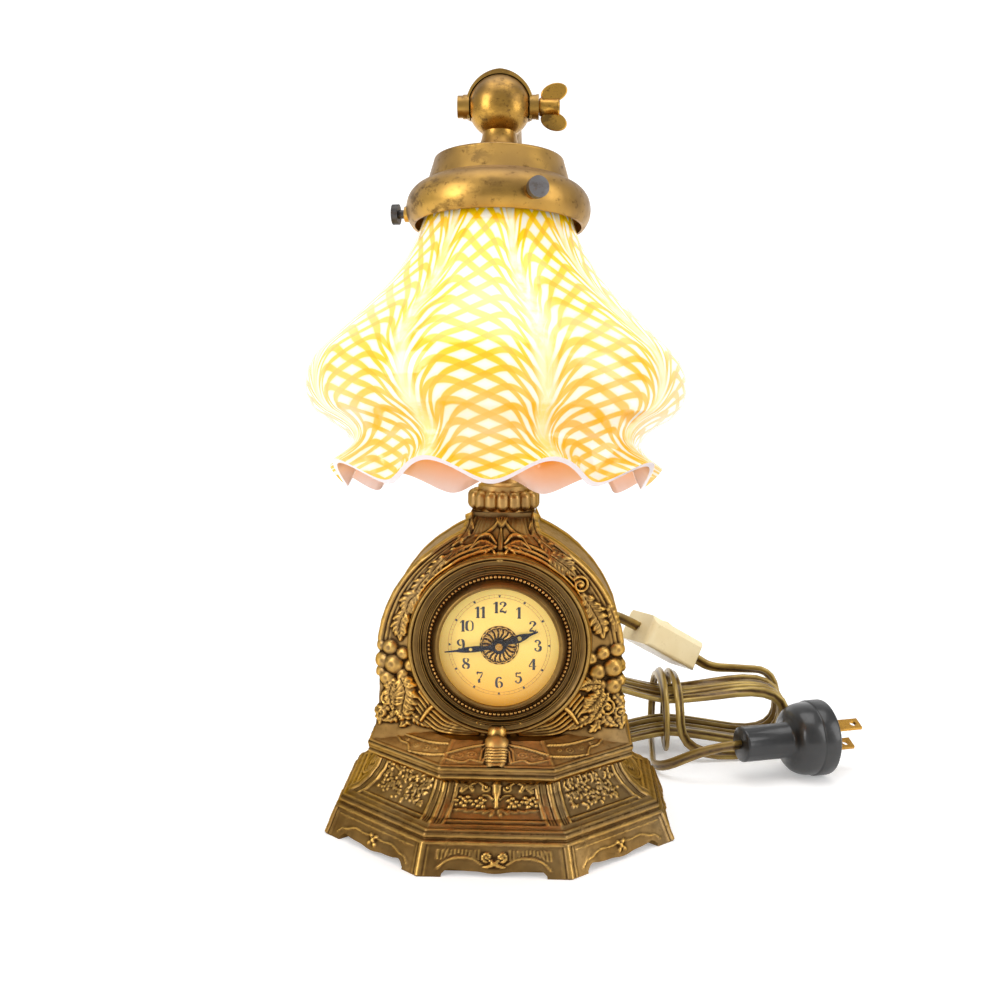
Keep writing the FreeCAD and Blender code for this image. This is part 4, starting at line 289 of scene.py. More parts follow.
# %% The cord's two routes
CORD_WIDTH = 5.2
HANK_MIDDLE = (96.0, 112.0, 20.3)
LOOPS, PITCH = 6, 5.9
RIGHT, LEFT, RISE = 42.0, -54.0, 17.0
WAIST_NEAR, WAIST_FAR, WAIST_RISE = -10, -22, 8.4
CLOSE_SHARE = 0.72
WRAP_TURNS, WRAP_STEP = 2, 1.7
WRAP_RISE, WRAP_FRONT, WRAP_BACK = 17.6, 40.1, -10.6
SWITCH_ENTRY = (63.89, 84.67, 65.52)
SWITCH_EXIT = (90.51, 104.73, 47.28)
PLUG_MOUTH = (111.0, 46.0, 18.0)

lead_route = [(37, 24.4, 84), (37, 37.5, 84), (39.8, 52, 80.5), (45.5, 66.5, 75.5),
              (54.3, 77.4, 72.1), SWITCH_ENTRY]


def hank_point(along, up, across):
    return (HANK_MIDDLE[0] + along, HANK_MIDDLE[1] - across, HANK_MIDDLE[2] + up)


hank_route = [SWITCH_EXIT, (95.4, 108.6, 43.9), (103.4, 112, 38.3), hank_point(20, 17.7, 0)]
for loop in range(LOOPS):
    near, far = PITCH * loop, PITCH * (loop + 1)
    hank_route += [hank_point(RIGHT, RISE, near), hank_point(RIGHT, -RISE, near)]
    if loop == LOOPS - 1:
        break
    hank_route += [hank_point(WAIST_NEAR, -WAIST_RISE, (near + far) / 2),
                   hank_point(WAIST_FAR, -WAIST_RISE, near + PITCH * CLOSE_SHARE),
                   hank_point(LEFT, -RISE, far),
                   hank_point(LEFT, RISE, far),
                   hank_point(WAIST_FAR, WAIST_RISE, far),
                   hank_point(WAIST_NEAR, WAIST_RISE, far)]
WRAP_CORNERS = ((-WRAP_RISE, WRAP_FRONT), (WRAP_RISE, WRAP_FRONT),
                (WRAP_RISE, WRAP_BACK), (-WRAP_RISE, WRAP_BACK))
for number, (up, across) in enumerate(WRAP_CORNERS * WRAP_TURNS):
    hank_route.append(hank_point(WAIST_NEAR - WRAP_STEP * number, up, across))
hank_route += [hank_point(-23.6, -WRAP_RISE, WRAP_FRONT * CLOSE_SHARE),
               (71, 50, 2.7), (95.96, 40.53, 18), PLUG_MOUTH]
print("route points:", len(lead_route), "and", len(hank_route))

# %% [markdown]
# A flat twin lead has a waist between its two cores, and it turns about its own line
# as it goes. A plain bevelled curve can't show that, so the tube is a mesh: an outline
# with two lobes is carried along the points of the spline. Its sideways direction is
# passed on from point to point, the least turn each time, and a slow twist is added.

# %% Flat twin lead
def spline_points(route, steps):
    """The points of a NURBS line with these control points, in millimetres."""
    curve = bpy.data.curves.new("line", "CURVE")
    curve.dimensions = "3D"
    spline = curve.splines.new("NURBS")
    spline.points.add(len(route) - 1)
    for point, place in zip(spline.points, route):
        point.co = (*place, 1)
    spline.order_u = 3
    spline.use_endpoint_u = True
    spline.resolution_u = steps
    line = new_object("line", curve)
    mesh = bpy.data.meshes.new_from_object(line)
    points = np.array([v.co for v in mesh.vertices])
    bpy.data.objects.remove(line)
    keep = np.append(True, np.linalg.norm(np.diff(points, axis=0), axis=1) > 1e-4)
    return points[keep]


def carried_sides(points, first_side):
    """A sideways direction at each point, turned as little as possible on the way."""
    runs = np.gradient(points, axis=0)
    runs /= np.linalg.norm(runs, axis=1)[:, None]
    side = np.array(first_side, float)
    sides = []
    for run in runs:
        side = side - run * np.dot(side, run)
        side /= np.linalg.norm(side)
        sides.append(side)
    return runs, np.array(sides)


def close_seams(mesh, distance=1e-6, smooth=True, ends=True):
    """Merges doubled points, closes open ends and makes the faces point outwards."""
    work = bmesh.new()
    work.from_mesh(mesh)
    bmesh.ops.remove_doubles(work, verts=work.verts, dist=distance)
    edges = [e for e in work.edges if e.is_boundary]
    if edges and ends:
        bmesh.ops.holes_fill(work, edges=edges, sides=0)
    bmesh.ops.recalc_face_normals(work, faces=work.faces)
    for face in work.faces:
        face.smooth = smooth
    work.to_mesh(mesh)
    work.free()


def mark_points(mesh, label, values):
    """Stores one number per point, for a finish to read."""
    mesh.attributes.new(label, "FLOAT", "POINT").data.foreach_set("value", np.ravel(values))


LEAD_POINTS, LEAD_THICKNESS = 20, 3.1
LEAD_STEPS, LEAD_SWAY = 6, 0.5
SWAY_LENGTH = 37.0


def twin_outline():
    """Half widths and heights round a flat twin lead, with a waist between its cores."""
    turn = np.linspace(0, 2 * math.pi, LEAD_POINTS, endpoint=False)
    across = np.cos(turn) * CORD_WIDTH / 2
    up = np.sin(turn) * LEAD_THICKNESS / 2 * (0.62 + 0.475 * np.abs(np.cos(turn)) ** 0.7)
    return across, up


def lead_piece(name, route, first_side, twist_per_m):
    """Carries the outline along a route; gives the piece, its path and its length."""
    points = spline_points(route, LEAD_STEPS)
    length = np.append(0, np.cumsum(np.linalg.norm(np.diff(points, axis=0), axis=1)))
    runs, sides = carried_sides(points, first_side)
    turn = length * MM * twist_per_m + LEAD_SWAY * np.sin(length / SWAY_LENGTH)
    ups = np.cross(runs, sides)
    wide = sides * np.cos(turn)[:, None] + ups * np.sin(turn)[:, None]
    tall = np.cross(runs, wide)
    across, up = twin_outline()
    rows = (points[:, None] + wide[:, None] * across[None, :, None]
            + tall[:, None] * up[None, :, None])
    rows = np.concatenate([rows, rows[:, :1]], 1)
    mesh = sheet_mesh(name, rows[:, ::-1] * MM)
    bands = np.abs(np.append(across, across[0]))[::-1] / (CORD_WIDTH / 2)
    mark_points(mesh, "core", np.tile(bands, len(points)))
    close_seams(mesh)
    print(name, "length", round(length[-1], 1), "mm of", len(points), "points")
    return new_object(name, mesh), points * MM, length[-1] * MM


lead, lead_path, lead_length = lead_piece("lead_to_switch", lead_route, (0, 0, 1), 4.0)
hank, hank_path, hank_length = lead_piece("hank_of_lead", hank_route, (0.3, 0, 1), 9.0)

# %% [markdown]
# The plug is one moulding of black rubber: a ribbed sleeve to hold it by, a waist, a
# domed cheek and a flat rim with fine notches round its face. It was moulded in a form
# turned on a lathe, so it is an outline swept round the plug's own line. The ribs and
# notches are cut by making the radius a little smaller at even bearings.

# %% The plug
PLUG_YAW = math.radians(20)
PLUG_RADIUS = 18.0
SLEEVE_WAVES, SLEEVE_CUT = 7, 0.35
RIM_WAVES, RIM_CUT = 36, 0.22
PLUG_OUTLINE = ((0, 0.0), (7.4, 0.0), (8.3, 0.5), (8.4, 1.4), (8.4, 23.4), (9.0, 24.3),
                (11.4, 24.7), (13.6, 25.6), (15.4, 27.4), (16.6, 29.8), (17.2, 32.6),
                (17.4, 35.2), (17.35, 35.9), (17.7, 36.1), (18.0, 36.4), (18.0, 43.0),
                (17.8, 43.6), (17.2, 43.9), (16.9, 44.1), (16.6, 44.5), (15.9, 44.5),
                (15.6, 44.1), (0, 44.1))


def plug_piece(name):
    """The outline turned about the plug's line, with shallow ribs on sleeve and rim."""
    turn = np.linspace(0, 2 * math.pi, 145)[:, None]
    radius, along = np.array(PLUG_OUTLINE).T[:, None]
    sleeve = np.interp(along, (0.6, 2.5, 21, 23.2), (0, 1, 1, 0)) * (along < 23.3)
    rim = (along > 36.2) & (along < 43.5)
    radius = (radius + sleeve * SLEEVE_CUT * (np.abs(np.cos(turn * SLEEVE_WAVES)) ** 6 - 1)
              - rim * RIM_CUT * np.cos(turn * RIM_WAVES) ** 8)
    radius = np.minimum(radius, PLUG_RADIUS)
    side = radius * np.cos(turn)
    rows = np.stack([PLUG_MOUTH[0] + along * math.cos(PLUG_YAW) - side * math.sin(PLUG_YAW),
                     PLUG_MOUTH[1] + along * math.sin(PLUG_YAW) + side * math.cos(PLUG_YAW),
                     PLUG_MOUTH[2] + radius * np.sin(turn)], -1)
    mesh = sheet_mesh(name, rows * MM)
    close_seams(mesh, 1e-7)
    print(name, len(mesh.polygons), "faces")
    return new_object(name, mesh)


plug = plug_piece("moulded_plug")
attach(plug, "stand")
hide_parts("plug_body")

# %% [markdown]
# The sleeve of the lead is clear brown vinyl over bright copper strands. Light that
# goes in comes back golden where the sleeve is thin and brown along the waist between
# the cores. Real see-through vinyl is slow to render and is lost in an export, so the
# graph paints that: brown in the waist, straw on the cores, long faint strands, and a
# clear coat for the wet-looking highlights.

# %% Vinyl lead finish
vinyl = Finish("vinyl_lead", Roughness=0.3, Coat_Weight=0.4, Coat_Roughness=0.1,
               Metallic=0.35, Specular_IOR_Level=0.5, Specular_Tint=tone(0.95, 0.85, 0.6))
core = vinyl.attribute("core")
strand = vinyl.noise(420, 2.0, stretch=(1, 1, 2.2))
cloud = vinyl.noise(55, 2.0)
straw = vinyl.mix(vinyl.span(cloud, 0.38, 0.66), tone(0.52, 0.41, 0.20), tone(0.72, 0.61, 0.33))
brown = vinyl.mix(vinyl.span(strand, 0.35, 0.65), tone(0.24, 0.16, 0.07), tone(0.38, 0.27, 0.13))
vinyl.set(Base_Color=vinyl.mix(vinyl.span(core, 0.16, 0.5), brown, straw))
vinyl.bump(strand, 0.05, 0.4)


def dress(piece, finish, body):
    """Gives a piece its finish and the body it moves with."""
    piece.data.materials.append(finish.material)
    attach(piece, body)
    return piece


dress(lead, vinyl, "stand")
dress(hank, vinyl, "stand")
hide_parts("cord_lead")
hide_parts("cord_link", "cord_hank", "cord_tail")
print("cord in all", round((lead_length + hank_length) / MM), "mm")

# %% [markdown]
# The case, terrace and base are one thin-walled casting each, with shallow carving all
# over. Carving is easiest to think of as a height above a plain surface, drawn in
# strokes, as a modeller lays rolls of wax on a slab: each stroke has a path, a width
# that swells and tapers, and a round top. Where strokes meet, the higher one wins, and
# that leaves the crease between two leaves or two grapes. A cut stroke is scored in
# afterwards, as a vein or a line is.

# %% A slab to carve
class Slab:
    """Heights in millimetres over a grid of places (across, up) on a surface."""

    def __init__(self, across, up, height=None):
        self.across, self.up = across, up
        self.height = np.zeros(across.shape) if height is None else height

    def mirrored(self):
        """The same slab seen in a mirror, so that one drawing serves both halves."""
        return Slab(-self.across, self.up, self.height)

    def cells_near(self, path, widths):
        """Cells near a path, with distance over half width and share along the path."""
        half = np.interp(np.linspace(0, 1, len(path)), np.linspace(0, 1, len(widths)), widths)
        low, high = path.min(0) - half.max(), path.max(0) + half.max()
        cells = np.nonzero((self.across > low[0]) & (self.across < high[0])
                           & (self.up > low[1]) & (self.up < high[1]))
        spots = np.stack([self.across[cells], self.up[cells]], -1)[:, None]
        start, run = path[:-1], np.diff(path, axis=0)
        share = ((spots - start) * run).sum(-1) / np.maximum((run ** 2).sum(-1), 1e-9)
        share = np.clip(share, 0, 1)
        far = np.linalg.norm(spots - start - share[..., None] * run, axis=-1)
        ratio = far / np.maximum(half[:-1] + (half[1:] - half[:-1]) * share, 1e-3)
        best = ratio.argmin(1)
        row = np.arange(len(best))
        return cells, ratio[row, best], (best + share[row, best]) / len(run)

    def lay_on(self, other_height):
        """Adds a height that was worked out for the whole slab."""
        np.maximum(self.height, other_height, out=self.height)


def smooth_path(points, steps=7):
    """A curve through given points, as (across, up)."""
    points = np.array(points, float)
    if len(points) < 3:
        return np.linspace(points[0], points[-1], steps)
    ends = [2 * points[0] - points[1], *points, 2 * points[-1] - points[-2]]
    p0, p1, p2, p3 = (np.array(ends)[i:len(ends) - 3 + i, None] for i in range(4))
    t = np.linspace(0, 1, steps, endpoint=False)[None, :, None]
    line = 0.5 * (2 * p1 + (p2 - p0) * t + (2 * p0 - 5 * p1 + 4 * p2 - p3) * t ** 2
                  + (3 * p1 - p0 - 3 * p2 + p3) * t ** 3)
    return np.append(line.reshape(-1, 2), points[-1:], axis=0)


print("three points become", len(smooth_path([(0, 0), (1, 1), (2, 0)])), "on a smooth path")

# %% [markdown]
# A carver repeats a few motifs: a roll of wax, a scored line, a toothed leaf, a scroll,
# a round fruit, a sheaf of reeds. Each is a short function here, and the ornament
# itself is then a table that says which motif goes where, in millimetres. Both halves
# of an even ornament come from one table, by carving the mirrored slab as well.

# %% Motifs
def roll(slab, points, widths, height, roundness=0.5, ends=(1, 1)):
    """A roll of wax along a path, whose height may fall towards its two ends."""
    cells, ratio, along = slab.cells_near(smooth_path(points), widths)
    rise = height * np.interp(along, (0, 0.5, 1), (ends[0], 1, ends[1]))
    slab.height[cells] = np.maximum(slab.height[cells],
                                    rise * np.clip(1 - ratio ** 2, 0, 1) ** roundness)


def score(slab, points, width, depth):
    """A scored line."""
    cells, ratio, _ = slab.cells_near(smooth_path(points), (width * 0.5, width, width * 0.5))
    slab.height[cells] -= depth * np.clip(1 - ratio ** 2, 0, 1)


def leaf(slab, points, width, height, teeth=4, lean=0.8):
    """A toothed leaf along a midrib, with lobes each side and scored veins."""
    rib = smooth_path(points)
    roll(slab, rib, (width * 0.4, width * 0.92, width * 0.78, width * 0.2), height * 0.78, 0.45)
    stations = []
    for mark in np.linspace(0.12, 0.82, teeth):
        index = int(mark * (len(rib) - 2))
        run = rib[index + 1] - rib[index]
        run /= np.linalg.norm(run)
        swell = width * (1.15 - 0.75 * abs(mark - 0.42) / 0.58)
        stations += [(rib[index], run, np.array((-run[1], run[0])) * hand, swell)
                     for hand in (1, -1)]
    for foot, run, out, swell in stations:
        bend = foot + out * swell * 0.55 + run * swell * 0.2
        tip = foot + out * swell + run * swell * lean
        roll(slab, [foot, bend, tip], (width * 0.3, width * 0.44, width * 0.16), height,
             ends=(0.8, 0.7))
    for foot, run, out, _ in stations:
        score(slab, [foot + out * width * 0.2, foot + (out + run * lean) * width * 0.8], 0.26,
              height * 0.2)
    score(slab, rib, 0.3, height * 0.3)


def fruit(slab, centre, radius, height, nib=False):
    """A round fruit or grape, with or without the dent of its stalk."""
    spot = np.array([centre, centre], float) + ((0, -1e-4), (0, 1e-4))
    cells, ratio, _ = slab.cells_near(spot, (radius, radius))
    dome = height * np.sqrt(np.clip(1 - ratio ** 2, 0, 1))
    slab.height[cells] = np.maximum(slab.height[cells], dome)
    if nib:
        dent = radius * 0.12
        score(slab, [(centre[0], centre[1] - dent), (centre[0], centre[1] + dent)],
              radius * 0.3, height * 0.14)


def scroll(slab, centre, radius, turns, width, height, start=0.0, hand=1):
    """A spiral that ends in a raised eye."""
    angles = np.linspace(0, turns * 2 * math.pi, 22)
    radii = radius * (1 - angles / angles[-1] * 0.78)
    path = np.stack([centre[0] + radii * np.cos(start + hand * angles),
                     centre[1] + radii * np.sin(start + hand * angles)], -1)
    roll(slab, path, (width, width * 0.8, width * 0.6), height, 0.6, (0.8, 1.05))
    fruit(slab, centre, radius * 0.3, height * 1.15)


def reeds(slab, inner, outer, count, width, height):
    """Parallel rods between two edges given by their own points."""
    inner, outer = np.array(inner, float), np.array(outer, float)
    for number in range(count):
        share = number / (count - 1)
        roll(slab, inner + (outer - inner) * share, (width * 0.8, width, width * 0.7),
             height * (1 - 0.25 * abs(share - 0.5)), 0.5, (0.9, 0.6))


def oval(centre, across, up, points=11):
    """A closed path, for a frame or a ringed spot."""
    turn = np.linspace(0, 2 * math.pi, points)
    return np.stack([centre[0] + across * np.cos(turn), centre[1] + up * np.sin(turn)], -1)


def carve(slab, *rows, both=False):
    """Carves rows of a motif and its values; both also carves the mirrored half."""
    for half in (slab, slab.mirrored()) if both else (slab,):
        for motif, *values in rows:
            motif(half, *values)


print("motifs:", [motif.__name__ for motif in (roll, score, leaf, fruit, scroll, reeds)])

# %% [markdown]
# A finished slab becomes a skin: every point of the plain surface moves out along its
# normal by the carved height, and by a little unevenness, because no casting is smooth.
# The skin also keeps two numbers at each point for its finish: how high it stands,
# which gets the rubbing and a painted highlight, and how deep it lies beside its
# neighbours, which gets dirt and painted shade.

# %% From a slab to a skin
def blurred(values, cells):
    """The grid averaged over a few cells each way."""
    kernel = np.hanning(2 * cells + 3)[1:-1]
    kernel /= kernel.sum()
    for axis in (0, 1):
        values = np.apply_along_axis(
            lambda line: np.convolve(np.pad(line, cells, "edge"), kernel, "valid"), axis, values)
    return values


def cut_open(mesh, inside):
    """Takes away the points of a skin where it would cover an opening."""
    work = bmesh.new()
    work.from_mesh(mesh)
    gone = [vert for vert, out in zip(work.verts, inside) if out]
    bmesh.ops.delete(work, geom=gone, context="VERTS")
    work.to_mesh(mesh)
    work.free()


FULL_RISE = 2.4


def carved_piece(name, base, carved, lift, wander=0.06, seed=3, open_at=None, crisp=0.5):
    """A skin over a surface: base points in millimetres, raised along their normals."""
    chance = np.random.default_rng(seed)
    uneven = blurred(chance.normal(size=carved.shape), 5)
    uneven = uneven / uneven.std() * wander
    run_down, run_along = np.gradient(base, axis=0), np.gradient(base, axis=1)
    normals = np.cross(run_along, run_down)
    normals /= np.linalg.norm(normals, axis=-1)[..., None]
    height = carved + uneven
    points = base + normals * (height + lift)[..., None]
    mesh = sheet_mesh(name, points * MM)
    mark_points(mesh, "rise", np.clip(height / FULL_RISE, 0, 1))
    mark_points(mesh, "hollow", np.clip((blurred(height, 4) - height) / crisp, -1, 1))
    mesh.polygons.foreach_set("use_smooth", np.ones(len(mesh.polygons), bool))
    if open_at is not None:
        cut_open(mesh, open_at.ravel())
    print(name, "grid", carved.shape, "relief up to", round(carved.max(), 2), "mm")
    return new_object(name, mesh)


# %% [markdown]
# The gilding is old. It is rubbed bright on the high places, and a painted highlight
# brightens them more; it is soft brown over the flats, and nearly black down in the
# creases, which is dirt and painted shade together, with a greenish grey film here and
# there. The graph therefore reads two values that the carving leaves on its points, how
# high a point stands and how deep it lies beside its neighbours. Solids that carry no
# such values read zero for both and come out in the soft brown.

# %% Old gilding
def old_gilding(name, bright=1.0, rub_and_highlight_share=1.0, film=1.0, roughness=0.36):
    """Gilt rubbed bright with a painted highlight where it stands high, and dark with dirt and painted
    shade where it lies deep.
    """
    gilt = Finish(name, Metallic=1.0, Specular_Tint=tone(0.86, 0.76, 0.6))
    rise, hollow = gilt.attribute("rise"), gilt.attribute("hollow")
    broad, fine = gilt.noise(38, 4.0), gilt.noise(420, 5.0, 0.6)
    brown, gold = (0.45, 0.335, 0.18), (0.62, 0.485, 0.28)
    ground = gilt.mix(gilt.span(broad, 0.36, 0.66), tone(*(v * bright for v in brown)),
                      tone(*(v * bright for v in gold)))
    ground = gilt.mix(gilt.span(gilt.noise(17, 3.0), 0.48, 0.7, 0, 0.6 * film), ground,
                      tone(0.46, 0.41, 0.32))
    # painted highlight: the high and tall places are brightened beyond their real rubbing
    rubbed_and_highlight = gilt.sum("ADD", gilt.span(hollow, -0.12, -0.75, 0, 0.85 * rub_and_highlight_share),
                   gilt.span(rise, 0.55, 1.0, 0, 0.08 * rub_and_highlight_share))
    rubbed_and_highlight = gilt.sum("MULTIPLY", rubbed_and_highlight, gilt.span(fine, 0.3, 0.6, 0.45, 1.0))
    rubbed_and_highlit = gilt.mix(rubbed_and_highlight, ground, tone(0.92, 0.73, 0.38))
    # painted shade: the deep places go nearly black, shade laid over their old dirt
    dark = gilt.span(hollow, 0.04, 0.55, 0, 0.96)
    dark = gilt.sum("MULTIPLY", dark, gilt.span(broad, 0.25, 0.6, 0.8, 1.0))
    dirty_and_shaded = gilt.mix(dark, rubbed_and_highlit, tone(0.19, 0.12, 0.06))
    gilt.set(Base_Color=gilt.mix(gilt.span(fine, 0.56, 0.72, 0, 0.35 * film), dirty_and_shaded,
                                 tone(0.33, 0.24, 0.13)),
             Roughness=gilt.sum("ADD", gilt.span(fine, 0.3, 0.7, roughness - 0.08, roughness + 0.1),
                                gilt.span(dark, 0, 1, 0, 0.25)))
    gilt.bump(fine, 0.12, 0.35)
    return gilt


casting_gilt = old_gilding("old_gilding")
print("gilding of", len(casting_gilt.tree.nodes), "nodes")

# %% [markdown]
# The front of the case is bowed in plan and leans back over the shoulders to the neck.
# These two surfaces and the outline of the arch are circles and straight lines, the
# same as in the frame, so the skin can be laid exactly on the solid: a grid runs from
# the back edge of the left side, round the front, to the back edge of the right side.

# %% The surface of the case
BOW_RADIUS, BOW_BACK = 106.0, 69.0
LEAN_RADIUS, LEAN_CENTRE = 26.0, (-11.0, 107.7)
CASE_BACK, CASE_TOP = 22.0, 133.3
TERRACE_EDGE, TERRACE_TOP, TERRACE_SLOPE = 44.0, 46.0, 7.5 / 11.3
DIAL_HEIGHT, DIAL_OPENING = 84.2, 33.0
FOOT_RADIUS, FOOT_CENTRE, FOOT_TOP = 60.0, (110.8, 60.6), 60.0
CROWN_RADIUS, CROWN_CENTRE, CROWN_TOP = 57.0, (-6.2, 75.6), 128.3
WAIST_TOP, WAIST_WIDTHS = 84.0, (50.8, 50.2)
NECK_WIDTHS, SHOULDER_HEIGHT = (15.6, 13.3), 108.0


def chord(radius, offset):
    """How far a circle reaches, at an offset from its centre."""
    return np.sqrt(np.clip(radius ** 2 - offset ** 2, 0, None))


def half_width(z):
    """Half the width of the arch at a height."""
    foot = FOOT_CENTRE[0] - chord(FOOT_RADIUS, z - FOOT_CENTRE[1])
    crown = CROWN_CENTRE[0] + chord(CROWN_RADIUS, z - CROWN_CENTRE[1])
    waist = np.interp(z, (FOOT_TOP, WAIST_TOP), WAIST_WIDTHS)
    neck = np.interp(z, (CROWN_TOP, CASE_TOP), NECK_WIDTHS)
    return np.select([z < FOOT_TOP, z < WAIST_TOP, z < CROWN_TOP], [foot, waist, crown], neck)


def front_y(x, z):
    """How far forward the case stands: bowed in plan, leaning back over the shoulders."""
    bow = BOW_BACK - chord(BOW_RADIUS, x)
    lean = LEAN_CENTRE[0] - chord(LEAN_RADIUS, np.maximum(z, SHOULDER_HEIGHT) - LEAN_CENTRE[1])
    return np.maximum(bow, lean)


def terrace_z(x, y):
    """Height of the sloping terrace that the case stands on."""
    apothem = np.maximum.reduce([np.abs(x), np.abs(y), (np.abs(x) + np.abs(y)) / math.sqrt(2)])
    return TERRACE_TOP - np.maximum(apothem - TERRACE_EDGE, 0) * TERRACE_SLOPE


ROWS, FRONT_COLUMNS, SIDE_COLUMNS = 214, 236, 22
front_share = np.linspace(-1, 1, FRONT_COLUMNS)
side_share = np.linspace(0, 1, SIDE_COLUMNS + 1)[1:]
climb = np.linspace(0, 1, ROWS)[:, None]


def case_grid():
    """Points from side to side and from the terrace up, with their share across."""
    share = np.concatenate([-1 - side_share[::-1], front_share, 1 + side_share])[None]
    inward = np.clip(share, -1, 1)
    z = TERRACE_TOP + (CASE_TOP - TERRACE_TOP) * climb + 0 * share
    for _ in range(3):
        x = inward * half_width(z)
        edge_y = front_y(x, z)
        y = edge_y + (CASE_BACK - edge_y) * np.clip(np.abs(share) - 1, 0, 1)
        low = terrace_z(x, y) - 0.3
        z = low + (CASE_TOP - low) * climb
    return np.stack([x, y, z], -1), share + 0 * z


case_base, case_share = case_grid()
across = case_base[..., 0] + np.sign(case_share) * (
    np.clip(np.abs(case_share) - 1, 0, 1) * (CASE_BACK + 26))
case_slab = Slab(across, case_base[..., 2])
from_edge = half_width(case_base[..., 2]) - np.abs(across)
dial_half = float(half_width(np.array(DIAL_HEIGHT)))
print("case grid", case_base.shape, "half width at the dial", round(dial_half, 1))

# %% [markdown]
# First come the plain mouldings: a rounded rim along the outline of the arch, a thin
# line inside it, and more lines where the side turns back. They keep one distance from
# the outline, so each is a half round over that distance, laid on the slab at once
# instead of being drawn as a stroke. They stop above the fruit.

# %% Mouldings of the case
def ridge(distance, place, width, height):
    """A half round that keeps its place at one distance."""
    return height * np.sqrt(np.clip(1 - ((distance - place) / width) ** 2, 0, 1))


above_fruit = np.clip((case_base[..., 2] - 77) / 6, 0, 1)
for place, width, height in ((0.0, 1.5, 1.0), (2.5, 0.7, 0.6), (4.2, 0.5, 0.35),
                             (-3.6, 0.9, 0.5), (-6.5, 1.2, 0.8), (-42.0, 1.6, 0.7)):
    case_slab.lay_on(ridge(from_edge, place, width, height) * above_fruit)
print("mouldings up to", round(case_slab.height.max(), 2), "mm")

# %% [markdown]
# Acanthus tips curl out of the neck, and over the dial a small creature spreads its
# wings: feathers are thin tapering rolls that fan from the shoulder over a low swelling,
# and the head is one round fruit with a beak below. Both halves are alike, so only the
# right one is drawn, and the slab's mirror image is carved with the same strokes.

# %% Neck and winged creature
for half in (case_slab, case_slab.mirrored()):
    leaf(half, [(14.2, 134.6), (13.2, 131.5), (15.2, 127.5), (19.5, 123.8)], 1.9, 1.6, 4, 0.6)
    fruit(half, (13.4, 133.9), 1.8, 2.8)
    roll(half, [(1.2, 132.4), (3.9, 129.8), (7.4, 127.9), (10.5, 127.4)], (0.55, 0.5, 0.25), 1.0)
    roll(half, [(1.6, 124.6), (4.6, 127.6), (8.5, 127.0), (12.4, 122.6)], (0.4, 0.55, 0.3), 1.5)
    for tip, bend in (((12.4, 122.6), (7.6, 125.6)), ((10.4, 120.6), (6.4, 123.6)),
                      ((7.6, 119.6), (4.6, 122.2)), ((13.9, 119.8), (8.6, 121.9))):
        roll(half, [(1.5, 123.4), bend, tip], (0.42, 0.36, 0.2), 1.4)
    roll(half, [(2, 124), (7, 124.6), (11, 121.8)], (1.2, 2.4, 1.2), 0.75, 0.9)
    roll(half, [(1.2, 119.4), (2.6, 121.4), (3.3, 122.6)], (1.0, 0.8, 0.2), 2.6, 0.6, (1, 0.5))
    roll(half, [(1.6, 117.0), (3.4, 115.6), (4.2, 114.4)], (1.2, 0.8, 0.3), 4.0)
for spread in (-2.2, -1.2, 0, 1.2, 2.2):
    roll(case_slab, [(0, 130.3), (spread * 0.6, 131.8), (spread, 133.0)], (0.3, 0.6, 0.35), 1.2)
roll(case_slab, [(0, 129.2), (0, 125.5), (0, 121.5)], (0.5, 1.35, 1.1), 2.0)
fruit(case_slab, (0, 118.8), 2.9, 5.0)
roll(case_slab, [(0, 117.4), (0, 115.4), (0, 114.2)], (1.4, 1.7, 0.9), 4.6)
for half in (case_slab, case_slab.mirrored()):
    score(half, [(0.6, 119.4), (1.7, 120.0)], 0.5, 0.7)
    score(half, [(0.3, 116.2), (1.3, 115.6)], 0.3, 0.5)

print("neck and creature up to", round(case_slab.height.max(), 2), "mm")

# %% [markdown]
# Bands of leaves hang down both shoulders, between three thin reeds that run round the
# dial. The two sides differ on the real casting, so their leaves are listed one by one.

# %% Leaf bands on the shoulders
def round_dial(radius, start, end, steps=7):
    """Points on a circle round the dial, from one clock bearing to another."""
    turn = np.radians(np.linspace(start, end, steps))
    return np.stack([radius * np.sin(turn), DIAL_HEIGHT + radius * np.cos(turn)], -1)


for radius, start, end, height in ((38.3, 7, 62, 1.5), (39.9, 9, 55, 1.3), (41.6, 12, 46, 1.1)):
    carve(case_slab, (roll, round_dial(radius, start, end), (0.5, 0.75, 0.25), height), both=True)
carve(case_slab,
      (leaf, [(-14.6, 123.4), (-18.6, 121.6), (-22.4, 117.9)], 1.5, 1.2, 3),
      (leaf, [(-22.0, 119.6), (-26.2, 115.4), (-29.0, 110.6)], 2.3, 1.4, 4),
      (leaf, [(-29.4, 112.0), (-33.4, 107.0), (-35.4, 101.4)], 2.4, 1.4, 4),
      (leaf, [(-33.2, 104.6), (-37.2, 100.4), (-38.6, 94.0)], 3.4, 1.7, 5),
      (leaf, [(-38.9, 96.0), (-41.2, 90.2), (-41.0, 84.0)], 3.2, 1.9, 5),
      (scroll, (-39.0, 92.6), 1.9, 1.2, 0.55, 1.7, 1.2, -1),
      (leaf, [(16.6, 125.4), (20.6, 122.6), (23.4, 118.2)], 2.0, 1.4, 4),
      (leaf, [(20.2, 120.8), (25.6, 117.4), (30.6, 112.6)], 3.3, 1.7, 6),
      (scroll, (32.4, 108.9), 3.6, 1.6, 0.8, 2.0, 2.4, -1),
      (leaf, [(33.6, 104.4), (37.6, 98.0), (40.9, 91.6), (42.2, 86.4)], 3.9, 2.0, 6, 0.5),
      (leaf, [(44.2, 99.4), (46.4, 94.4), (47.6, 88.6)], 1.8, 1.5, 4))

print("leaf bands up to", round(case_slab.height.max(), 2), "mm")

# %% [markdown]
# At each hip hangs a bunch of round fruit with a dent for the stalk, and under it large
# toothed leaves and scrolls run down to the terrace. A fruit is given as across, up,
# radius and height. Where two meet, the higher wins, and the crease comes by itself.

